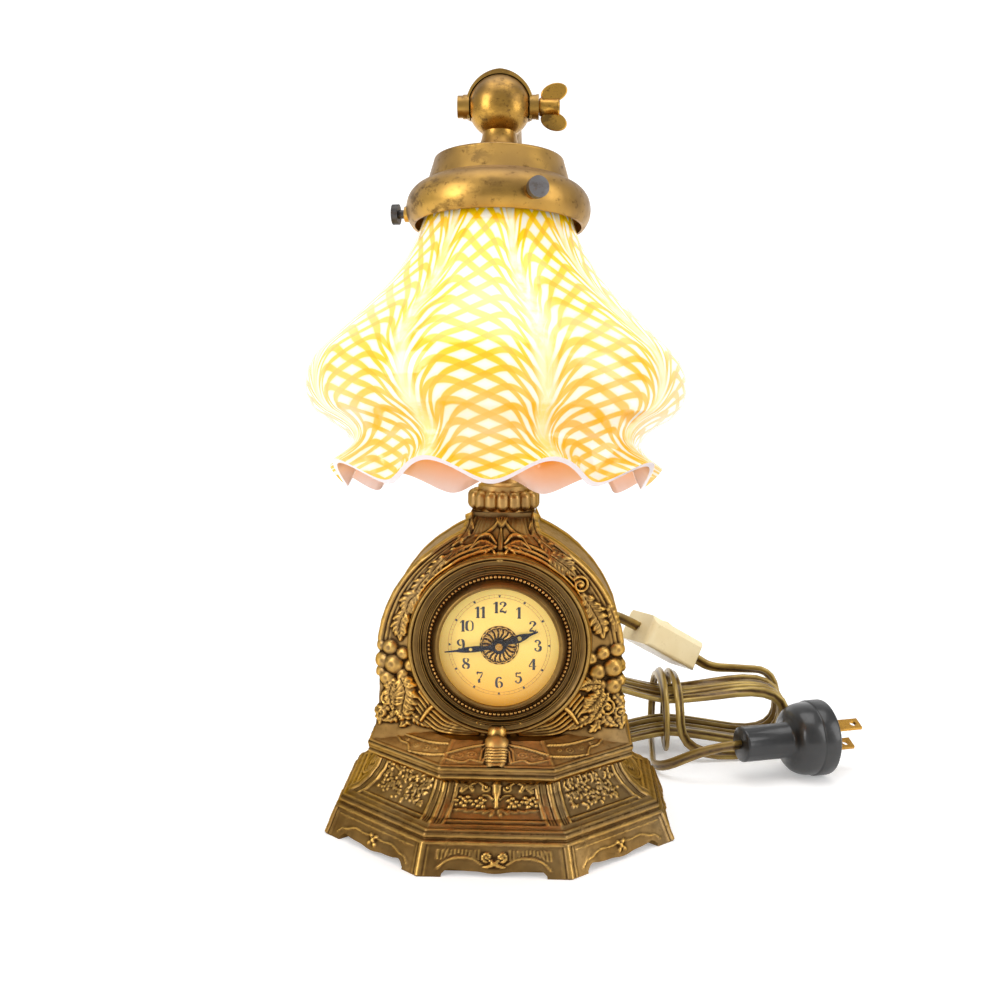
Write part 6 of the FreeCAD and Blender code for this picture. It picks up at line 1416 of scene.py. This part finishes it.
# %% The shapes of the digits
THICK, THIN = 0.105, 0.035
NUMERAL_STROKES = {
    "0": (([(-0.02, 0.47), (-0.24, 0.3), (-0.27, 0), (-0.24, -0.3), (-0.02, -0.47)],
           (0.02, THICK, THICK, THICK, 0.02)),
          ([(0.06, 0.47), (0.25, 0.3), (0.28, 0), (0.25, -0.3), (0.06, -0.47)],
           (0.02, 0.06, 0.07, 0.06, 0.02))),
    "1": (([(0.04, 0.5), (0.04, 0), (0.04, -0.5)], (THICK, THICK, THICK)),
          ([(-0.04, 0.42), (-0.15, 0.32), (-0.22, 0.3)], (THIN, THIN, 0.06)),
          ([(-0.12, -0.49), (0.2, -0.49)], (THIN, THIN))),
    "2": (([(-0.2, 0.22), (-0.22, 0.38), (0.02, 0.48), (0.2, 0.3), (0.02, 0.02)],
           (0.09, 0.05, THIN, THICK, 0.05)),
          ([(0.0, -0.04), (-0.2, -0.26), (-0.26, -0.44)], (0.04, 0.06, 0.04)),
          ([(-0.22, -0.4), (0.0, -0.36), (0.2, -0.46), (0.28, -0.26)], (0.06, 0.08, 0.07, 0.03))),
    "3": (([(-0.2, 0.3), (-0.16, 0.46), (0.08, 0.46), (0.18, 0.26), (0.02, 0.04)],
           (0.09, 0.05, 0.05, THICK, 0.04)),
          ([(0.04, 0.0), (0.24, -0.14), (0.2, -0.38), (-0.02, -0.48), (-0.22, -0.36),
            (-0.18, -0.22)], (0.04, THICK, THICK, 0.04, 0.05, 0.09))),
    "4": (([(0.12, 0.5), (0.12, 0), (0.12, -0.5)], (THICK, THICK, THICK)),
          ([(0.0, 0.36), (-0.16, 0.06), (-0.3, -0.16)], (THIN, 0.05, THIN)),
          ([(-0.3, -0.2), (-0.04, -0.18)], (0.05, 0.03)),
          ([(0.26, -0.18), (0.34, -0.18)], (0.03, 0.05))),
    "5": (([(0.22, 0.47), (0.0, 0.42), (-0.18, 0.47)], (0.07, 0.05, 0.05)),
          ([(-0.18, 0.44), (-0.18, 0.08)], (0.07, THIN)),
          ([(-0.12, 0.1), (0.16, 0.08), (0.24, -0.18), (0.08, -0.44), (-0.16, -0.42),
            (-0.22, -0.24)], (THIN, 0.07, THICK, 0.05, 0.04, 0.09))),
    "6": (([(0.2, 0.34), (0.06, 0.48), (-0.18, 0.34), (-0.24, 0), (-0.18, -0.34), (-0.02, -0.47)],
           (0.08, 0.04, 0.08, THICK, THICK, 0.02)),
          ([(0.06, -0.47), (0.24, -0.3), (0.24, -0.08), (0.08, 0.08), (-0.06, 0.02)],
           (0.02, 0.08, 0.09, 0.04, THIN))),
    "7": (([(-0.24, 0.24), (-0.22, 0.44), (0.0, 0.4), (0.22, 0.46)], (0.04, 0.07, 0.06, 0.05)),
          ([(0.24, 0.4), (0.12, 0.1), (0.02, -0.06)], (0.03, 0.05, 0.05)),
          ([(0.0, -0.12), (-0.08, -0.3), (-0.04, -0.5)], (0.06, THICK, 0.09))),
    "8": (([(-0.02, 0.47), (-0.2, 0.36), (-0.16, 0.12), (0.02, 0.0), (0.24, -0.16), (0.2, -0.4),
            (0.04, -0.47)], (0.02, 0.08, 0.09, 0.1, THICK, 0.08, 0.02)),
          ([(0.06, 0.47), (0.2, 0.34), (0.14, 0.1)], (0.02, 0.07, THIN)),
          ([(-0.1, -0.04), (-0.26, -0.2), (-0.22, -0.38), (-0.04, -0.47)],
           (THIN, 0.07, 0.07, 0.02))),
}
NUMERAL_STROKES["9"] = tuple(([(-x, -y) for x, y in path], widths)
                             for path, widths in NUMERAL_STROKES["6"])
print("digits drawn:", len(NUMERAL_STROKES))

# %% [markdown]
# Twelve numerals stand upright round the dial, with a dot for each hour outside them
# and a small triangle at each quarter. The ink is a faded blue black, worn unevenly.
# Outside runs the minute track, two thin circles with a short line for each minute, in
# a brown that has nearly gone.

# %% Numerals and minute track
ink = Finish("dial_ink", Roughness=0.55)
ink.set(Base_Color=ink.mix(ink.span(ink.noise(900, 4.0), 0.35, 0.7), tone(0.16, 0.19, 0.24),
                           tone(0.28, 0.27, 0.26)))
NUMERAL_RADIUS, NUMERAL_HEIGHT, DIGIT_STEP = 15.7, 4.65, 0.62
TRACK_INNER, TRACK_OUTER, MARK_RADIUS = 19.75, 20.95, 20.35
CLOSER, BOLDER = 0.78, 1.12
printing = Print()
for hour in range(1, 13):
    bearing = math.radians(30 * hour)
    middle = np.array((math.sin(bearing), math.cos(bearing))) * NUMERAL_RADIUS
    digits = str(hour)
    for number, digit in enumerate(digits):
        step = DIGIT_STEP * (CLOSER if hour == 11 else 1.0)
        shift = (number - (len(digits) - 1) / 2) * step * NUMERAL_HEIGHT
        for path, widths in NUMERAL_STROKES[digit]:
            printing.stroke(path, [w * BOLDER for w in widths], middle + (shift, 0), NUMERAL_HEIGHT)
    mark = np.array((math.sin(bearing), math.cos(bearing))) * MARK_RADIUS
    if hour % 3:
        printing.disc(mark, 0.5)
    else:
        printing.disc(mark, 0.72, 3, bearing + math.pi)
printing.piece("dial_numerals", ink, INK_LIFT, "stand", "dial_enamel")
track_ink = Finish("track_ink", Roughness=0.6)
track_ink.set(Base_Color=track_ink.mix(track_ink.span(track_ink.noise(300, 3.0), 0.4, 0.65),
                                       tone(0.55, 0.42, 0.24), tone(0.72, 0.57, 0.33)))
track = Print()
turn = np.linspace(0, 2 * math.pi, 97)
for radius in (TRACK_INNER, TRACK_OUTER):
    track.stroke(np.stack([radius * np.sin(turn), radius * np.cos(turn)], -1), (0.06, 0.06),
                 steps=2)
for minute in range(60):
    angle = math.radians(6 * minute)
    line = np.array((math.sin(angle), math.cos(angle)))
    track.stroke([line * TRACK_INNER, line * TRACK_OUTER], (0.04, 0.04), steps=2)
track.piece("dial_track", track_ink, INK_LIFT * 0.6, "stand", "dial_enamel")

# %% [markdown]
# The card behind the printing is yellowed, deeper orange towards the bottom, with soft
# blotches and fine specks. It sits in deep shade behind the glass, where the real one
# still reads warm, so it is given a faint light of its own. The glass is a clear dome.
# Seen straight on it nearly vanishes, and towards its rim it turns whiter, a painted
# reflection, so its share of cover grows with the angle of view.

# %% Dial card and glass
card = Finish("dial_card", Roughness=0.5, Coat_Weight=0.12, Coat_Roughness=0.12)
places = card.node("SeparateXYZ")
card.join(card.places(), places.inputs["Vector"])
card_tone = card.mix(card.span(places.outputs["Z"], 0.058, 0.082), tone(0.99, 0.71, 0.16),
                tone(1.0, 0.87, 0.46))
card_tone = card.mix(card.span(card.noise(60, 3.0), 0.45, 0.75, 0, 0.3), card_tone, tone(0.97, 0.74, 0.34))
card_tone = card.mix(card.span(card.noise(520, 4.0), 0.6, 0.8, 0, 0.2), card_tone, tone(0.76, 0.58, 0.34))
card.set(Base_Color=card_tone, Emission_Color=card_tone, Emission_Strength=0.16)
glass = Finish("dial_glass", Roughness=0.03)
# painted reflection: the glass covers more, in near white, the more slanting the view
facing = glass.node("LayerWeight").outputs["Facing"]
glass.set(Base_Color=glass.mix(glass.span(glass.noise(90, 2.0), 0.4, 0.7), tone(1, 0.99, 0.95),
                               tone(0.97, 0.95, 0.9)),
          Alpha=glass.span(facing, 0.15, 0.9, 0.02, 0.35))
print("card and glass finishes:", card.material.name, glass.material.name)

# %% [markdown]
# A small gilt disc sits in the middle of the dial, stamped with a wheel of petals and
# cut to a scalloped edge. Its grid runs round and outwards from the hole, and one petal
# is drawn eighteen times, each turned by the same step.

# %% The medallion
MEDALLION_HOLE, MEDALLION_EDGE, SCALLOP = 2.7, 7.75, 0.28
PETALS = 18
medallion_gilt = old_gilding("medallion_gilding", bright=1.0, rub_and_highlight_share=1.2)
steps = np.linspace(0, 1, 46)[:, None]
bearing = np.linspace(0, 2 * math.pi, 161)[None]
edge = MEDALLION_EDGE + SCALLOP * np.abs(np.sin(bearing * PETALS / 2))
radius = MEDALLION_HOLE + (edge - MEDALLION_HOLE) * steps
medallion = Slab(radius * np.sin(bearing), radius * np.cos(bearing))
for number in range(PETALS):
    angle = number * 2 * math.pi / PETALS
    line = np.array((math.sin(angle), math.cos(angle)))
    side = np.array((math.cos(angle), -math.sin(angle)))
    roll(medallion, [line * 7.2 - side, line * 7.6, line * 7.2 + side], (0.2, 0.35, 0.2), 0.3)
    roll(medallion, [line * 3.2, line * 5.0 + side * 0.5, line * 6.8], (0.2, 0.5, 0.15), 0.35)
    roll(medallion, [line * 5.2 + side * 0.9, line * 6.4 + side * 0.9], (0.4, 0.25), 0.3)
medallion_base = on_dial(medallion.across, medallion.up, 0.26 + 0.1 * (1 - steps ** 8))
medallion_piece = carved_piece("medallion_chasing", medallion_base, medallion.height, 0.1, 0.01, seed=6,
                               crisp=0.09)
dress(medallion_piece, medallion_gilt, "stand")

# %% [markdown]
# The shade is opal glass. A gaffer winds threads of coloured glass round it in a
# crossed net, and then pulls a hook through them along nine lines, so the net sags into
# each line as feathers do. A pattern like that is two sets of slanted lines over the
# bearing and the height, with the height pushed down near each pulled line, and it can
# be worked out in the shader from the place on the object alone.

# %% Lit opal glass
HINGE = Vector((0.0, -67.0, 293.0)) * MM
HEAD_LEAN = 0.1553
SHADE_TOP, SHADE_LOW = -28.0 * MM, -144.0 * MM
PULLS, PULL_START, LINES = 9, math.radians(-18), 27
CROWDING = (1290.0, -3300.0)


def opal(name, glow):
    """A net of threads in milky glass, a pinkish lining with a painted orange glow higher up, and a
    pale lip with a painted highlight.
    """
    made = Finish(name, Roughness=0.16, Coat_Weight=0.4, Coat_Roughness=0.05)
    upright = made.node("Mapping")
    upright.inputs["Rotation"].default_value = (HEAD_LEAN, 0, 0)
    upright.inputs["Location"].default_value = -(Matrix.Rotation(HEAD_LEAN, 3, "X") @ HINGE)
    made.join(made.places(), upright.inputs["Vector"])
    spot = made.node("SeparateXYZ")
    made.join(upright.outputs["Vector"], spot.inputs["Vector"])
    right, back, up = spot.outputs["X"], spot.outputs["Y"], spot.outputs["Z"]
    bearing = made.sum("ARCTAN2", right, made.sum("MULTIPLY", back, -1.0))
    height = made.span(up, SHADE_LOW, SHADE_TOP)
    wander = made.sum("MULTIPLY_ADD", made.noise(26, 2.0), 0.16)
    wander.node.inputs[2].default_value = -0.08
    lean = made.sum("MULTIPLY", made.span(height, 0.0, 0.75), 0.2)
    lobe = made.sum("MULTIPLY", made.sum("ADD", made.sum("ADD", bearing, lean),
                                         made.sum("SUBTRACT", wander, PULL_START)),
                    PULLS / (2 * math.pi))
    aside = made.sum("PINGPONG", made.sum("ADD", lobe, 40.0), 0.5)
    pull = made.sum("POWER", made.span(aside, 0.0, 0.36, 1.0, 0.0), 2.4)
    along = made.sum("MULTIPLY_ADD", pull, 19.0 * MM)
    made.put(made.sum("SUBTRACT", up, SHADE_LOW), along.node.inputs[2])
    crowd = made.sum("MULTIPLY_ADD", along, CROWDING[1])
    crowd.node.inputs[2].default_value = CROWDING[0]
    climb = made.sum("MULTIPLY", along, crowd)
    swing = made.sum("MULTIPLY", made.sum("ADD", bearing, wander), float(LINES))
    threads, halos = [], []
    for kind, keep in (("ADD", 0.3), ("SUBTRACT", 0.36)):
        wave = made.sum("COSINE", made.sum(kind, swing, climb), 0.0)
        threads.append(made.span(wave, keep - 0.2, keep + 0.22))
        halos.append(made.span(wave, -0.7, keep, 0.0, 0.55))
    column = made.span(aside, 0.025, 0.085, 1.0, 0.0)
    faded = made.span(made.noise(34, 2.0), 0.3, 0.5, 0.74, 1.0)
    net = made.sum("MULTIPLY", made.sum("MAXIMUM", *threads), faded)
    crossing = made.sum("MULTIPLY", *threads)
    streaks = made.span(made.noise(260, 3.0, 0.5, stretch=(1, 1, 0.05)), 0.4, 0.62, 0.12, 0.75)
    net = made.mix_value(column, net, streaks)
    thread = made.mix(made.span(height, 0.22, 0.5), tone(0.98, 0.72, 0.24), tone(1.0, 0.81, 0.05))
    thread = made.mix(made.span(height, 0.06, 0.2, 1.0, 0.0), thread, tone(1.0, 0.76, 0.03))
    thread = made.mix(made.span(made.noise(30, 2.0), 0.5, 0.75, 0, 0.6), thread,
                      tone(0.96, 0.76, 0.42))
    thread = made.mix(made.sum("MULTIPLY", crossing, 0.7), thread, tone(0.96, 0.68, 0.02))
    thread = made.mix(column, thread, tone(1.0, 0.84, 0.42))
    milk = made.mix(made.span(made.noise(18, 2.0), 0.4, 0.7, 0, 0.5), tone(0.95, 0.935, 0.9),
                    tone(0.97, 0.93, 0.8))
    milk = made.mix(made.sum("MAXIMUM", *halos), milk, tone(0.99, 0.92, 0.62))
    outer = made.mix(net, milk, thread)
    turned = made.node("VectorMath", operation="DOT_PRODUCT")
    radial = made.node("CombineXYZ")
    made.join(right, radial.inputs["X"])
    made.join(back, radial.inputs["Y"])
    unit = made.node("VectorMath", operation="NORMALIZE")
    made.join(radial.outputs["Vector"], unit.inputs[0])
    facing = made.node("TexCoord").outputs["Normal"]
    made.join(facing, turned.inputs[0])
    made.join(unit.outputs["Vector"], turned.inputs[1])
    inner = made.span(turned.outputs["Value"], 0.12, -0.12)
    lining = made.mix(made.span(made.noise(48, 3.0), 0.35, 0.7), tone(0.93, 0.78, 0.70),
                      tone(0.95, 0.86, 0.82))
    # painted glow: higher up, the pinkish lining turns orange, the bulb's light shining through the
    # threads
    lit_up = made.sum("ADD", height, made.sum("MULTIPLY", made.noise(21, 2.0), 0.05))
    lining = made.mix(made.span(lit_up, 0.07, 0.17), lining, tone(0.98, 0.66, 0.26))
    # painted highlight: a pale band along the downward-facing lip at the rim, over the glass edge
    downward = made.node("SeparateXYZ")
    made.join(facing, downward.inputs["Vector"])
    lip = made.sum("MULTIPLY", made.span(downward.outputs["Z"], -0.2, -0.45),
                   made.span(height, 0.19, 0.15))
    outer = made.mix(lip, outer, tone(0.93, 0.88, 0.88))
    glass_tone = made.mix(inner, outer, lining)
    made.set(Base_Color=glass_tone, Emission_Color=glass_tone,
             Emission_Strength=made.span(made.sum("MAXIMUM", inner, lip), 0, 1, glow, 0.0))
    return made


shade_glass = opal("opal_glass", 0.07)
print("opal glass of", len(shade_glass.tree.nodes), "nodes,", PULLS, "pulls and", LINES, "lines")

# %% [markdown]
# The head and the arm are thin spun and turned brass, once lacquered. Lacquer wears off
# in patches, and the bare metal under it goes brown and then nearly black, most of all
# along edges that collect grease. So the finish has a yellow metal, a browner one, soft
# smudges and a few sharp dark stains.

# %% Brass, steel and the other metals
def worn_brass(name, light, brown, stain=0.5, roughness=0.28, scale=1.0, dust=0.0):
    """Bare and browned metal, smudged and stained, with dust on what faces up."""
    made = Finish(name, Metallic=1.0)
    level = made.node("SeparateXYZ")
    made.join(made.node("TexCoord").outputs["Normal"], level.inputs["Vector"])
    settled = made.sum("MULTIPLY", made.span(level.outputs["Z"], -0.1, 0.9, 0, dust),
                       made.span(made.noise(50 * scale, 4.0), 0.3, 0.6, 0.55, 1.0))
    broad, fine = made.noise(30 * scale, 3.0), made.noise(330 * scale, 5.0, 0.62)
    ground = made.mix(made.span(broad, 0.36, 0.62), tone(*brown), tone(*light))
    smudge = made.span(made.noise(64 * scale, 6.0, 0.7, stretch=(1, 1, 1.7)), 0.52, 0.6)
    smudge = made.sum("MULTIPLY", smudge, made.span(made.noise(22 * scale, 2.0), 0.42, 0.62,
                                                    0, stain))
    ground = made.mix(smudge, ground, tone(0.27, 0.2, 0.12))
    ground = made.mix(settled, ground, tone(0.50, 0.40, 0.27))
    made.set(Base_Color=made.mix(made.span(fine, 0.58, 0.7, 0, stain), ground,
                                 tone(0.38, 0.28, 0.16)),
             Roughness=made.sum("ADD", made.span(fine, 0.3, 0.7, roughness, roughness + 0.14),
                                made.span(made.sum("MAXIMUM", smudge, settled), 0, 1, 0, 0.22)))
    made.bump(fine, 0.06, 0.3)
    return made


lamp_brass = worn_brass("lamp_brass", (0.83, 0.65, 0.31), (0.60, 0.46, 0.24), 0.75, dust=0.85)
ball_brass = worn_brass("ball_brass", (0.80, 0.61, 0.27), (0.55, 0.42, 0.21), 0.9, 0.22, 1.3, 0.8)
bright_brass = worn_brass("bright_brass", (0.80, 0.60, 0.26), (0.62, 0.44, 0.2), 0.5, 0.2, 1.4)
pale_steel = worn_brass("pale_steel", (0.62, 0.61, 0.62), (0.42, 0.41, 0.41), 0.5, 0.3, 2.0)
screw_steel = worn_brass("screw_steel", (0.36, 0.35, 0.35), (0.2, 0.19, 0.18), 0.6, 0.34, 2.0)
blued_steel = worn_brass("blued_steel", (0.15, 0.18, 0.25), (0.09, 0.10, 0.14), 0.2, 0.3, 2.0)


def moulded(name, first, second, roughness, grain=500, depth=0.03, **more):
    """Moulded plastic, rubber, card or porcelain: two close tones and a faint grain."""
    made = Finish(name, **more)
    fine = made.noise(grain, 4.0)
    made.set(Base_Color=made.mix(made.span(made.noise(40, 3.0), 0.38, 0.66), tone(*first),
                                 tone(*second)),
             Roughness=made.span(fine, 0.3, 0.7, roughness - 0.05, roughness + 0.09))
    made.bump(fine, depth, 0.4)
    return made


ivory = moulded("ivory_plastic", (0.97, 0.90, 0.72), (0.93, 0.84, 0.63), 0.3, Coat_Weight=0.2)
rubber = moulded("black_rubber", (0.07, 0.07, 0.075), (0.12, 0.115, 0.11), 0.33, 300, 0.1,
                 Coat_Weight=0.35, Coat_Roughness=0.12)
porcelain = moulded("holder_porcelain", (0.93, 0.92, 0.89), (0.88, 0.87, 0.83), 0.2)
liner_card = moulded("holder_card", (0.62, 0.52, 0.38), (0.54, 0.44, 0.31), 0.7, 300, 0.08)
cover_steel = worn_brass("base_cover", (0.30, 0.29, 0.27), (0.22, 0.2, 0.18), 0.6, 0.5)
bulb_milk = moulded("bulb_milk", (1.0, 0.96, 0.86), (1.0, 0.93, 0.80), 0.3,
                    Emission_Strength=0.9)
bulb_milk.set(Emission_Color=bulb_milk.mix(bulb_milk.span(bulb_milk.noise(40, 2.0), 0.4, 0.6),
                                           tone(1, 0.95, 0.82), tone(1, 0.9, 0.7)))

print("finishes so far:", len(bpy.data.materials))

# %% [markdown]
# The wing nut clamps the swivel. On the real lamp it is a small brass casting, a hub
# with two round ears like a butterfly's wings. Each ear is a flat oval, tilted outwards
# and softened all round with a bevel, and it runs into the hub.

# %% The wing nut
PIVOT = (-67.0, 293.0)
EAR_CENTRE, EAR_SIZE, EAR_TILT, EAR_THICK = (19.8, 5.1), (5.0, 3.3), 0.33, 1.7
HUB_OUTLINE = ((0, 14.4), (3.0, 14.4), (3.3, 14.8), (3.3, 15.6), (3.0, 16.2), (2.95, 20.6),
               (3.2, 21.2), (3.0, 21.8), (1.9, 22.0), (0, 22.0))


def bridge(work, rings):
    """Quads between neighbouring rings of points, and a cap on each end."""
    for one, two in zip(rings, rings[1:]):
        for number in range(len(one)):
            after = (number + 1) % len(one)
            work.faces.new((one[number], one[after], two[after], two[number]))
    work.faces.new(rings[0])
    work.faces.new(rings[-1])


def wing_nut_piece(name, finish):
    """Two ears and a hub, gathered into one mesh."""
    work = bmesh.new()
    turn = np.linspace(0, 2 * math.pi, 40, endpoint=False)
    for side in (1, -1):
        across, up = EAR_SIZE[0] * np.cos(turn), EAR_SIZE[1] * np.sin(turn)
        x = EAR_CENTRE[0] + across * math.cos(EAR_TILT) - up * math.sin(EAR_TILT)
        z = EAR_CENTRE[1] + across * math.sin(EAR_TILT) + up * math.cos(EAR_TILT)
        rings = []
        for share, depth in ((0.9, 0.5), (0.975, 0.42), (1.0, 0.2), (1.0, -0.2), (0.975, -0.42),
                             (0.9, -0.5)):
            rings.append([work.verts.new(Vector((
                EAR_CENTRE[0] + (a - EAR_CENTRE[0]) * share, PIVOT[0] + EAR_THICK * depth,
                PIVOT[1] + side * (EAR_CENTRE[1] + (b - EAR_CENTRE[1]) * share))) * MM)
                for a, b in zip(x, z)])
        bridge(work, rings)
    hub = [[work.verts.new(Vector((along, PIVOT[0] + radius * math.cos(angle),
                                   PIVOT[1] + radius * math.sin(angle))) * MM) for angle in turn]
           for radius, along in HUB_OUTLINE if radius]
    bridge(work, hub)
    bmesh.ops.recalc_face_normals(work, faces=work.faces)
    for face in work.faces:
        face.smooth = len(face.verts) == 4
    mesh = bpy.data.meshes.new(name)
    work.to_mesh(mesh)
    work.free()
    mesh.materials.append(finish.material)
    print(name, len(mesh.polygons), "faces")
    return new_object(name, mesh)


wing_nut = wing_nut_piece("cast_wing_nut", ball_brass)
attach(wing_nut, "wing")
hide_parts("wing_nut")

# %% [markdown]
# Every solid of the frame that still shows gets the finish of its material slot, and a
# few get one of their own: the ball is the most handled brass, the front screw is a
# paler steel than the others, and the collar under the shade has a brighter copy of the
# gilding, painted light from the lit shade. Nothing is left in a flat colour, inside the
# clock either.

# %% A finish for every solid
plug.data.materials.append(rubber.material)
BY_SLOT = {
    "gilt_bronze": casting_gilt, "lacquered_brass": lamp_brass, "bright_brass": bright_brass,
    "dark_steel": screw_steel, "blued_steel": blued_steel, "dial_enamel": card,
    "base_cover": cover_steel, "clear_glass": glass, "opal_glass": shade_glass,
    "bulb_envelope": bulb_milk, "holder_porcelain": porcelain, "holder_card": liner_card,
    "cord_vinyl": vinyl, "ivory_plastic": ivory, "black_rubber": rubber,
}
# painted light: the collar right under the glowing shade gets a brighter copy of the gilding
neck_painted_light_gilt = old_gilding("neck_gilding", bright=1.2, film=0.6)
BY_NODE = {"swivel_ball": ball_brass, "neck_collar": neck_painted_light_gilt, "thumbscrew_front": pale_steel,
           "clock_bezel": bezel_brass, "dial_medallion": medallion_gilt}
for subpart in frame["record"]["subparts"]:
    node = frame["nodes"][subpart["node"]]
    finish = BY_NODE.get(subpart["node"], BY_SLOT[subpart["material_slot"]])
    node.data.materials.clear()
    node.data.materials.append(finish.material)

# %% [markdown]
# The last cell writes down how large the dressed lamp is beside its frame, to see that
# nothing stands out of it.

# %% Sizes side by side
size = {"cad_box": [list(corner) for corner in cad_box],
        "visual_box": [list(corner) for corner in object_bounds()]}
for label, box in size.items():
    print(label, [[round(v / MM, 1) for v in corner] for corner in box])
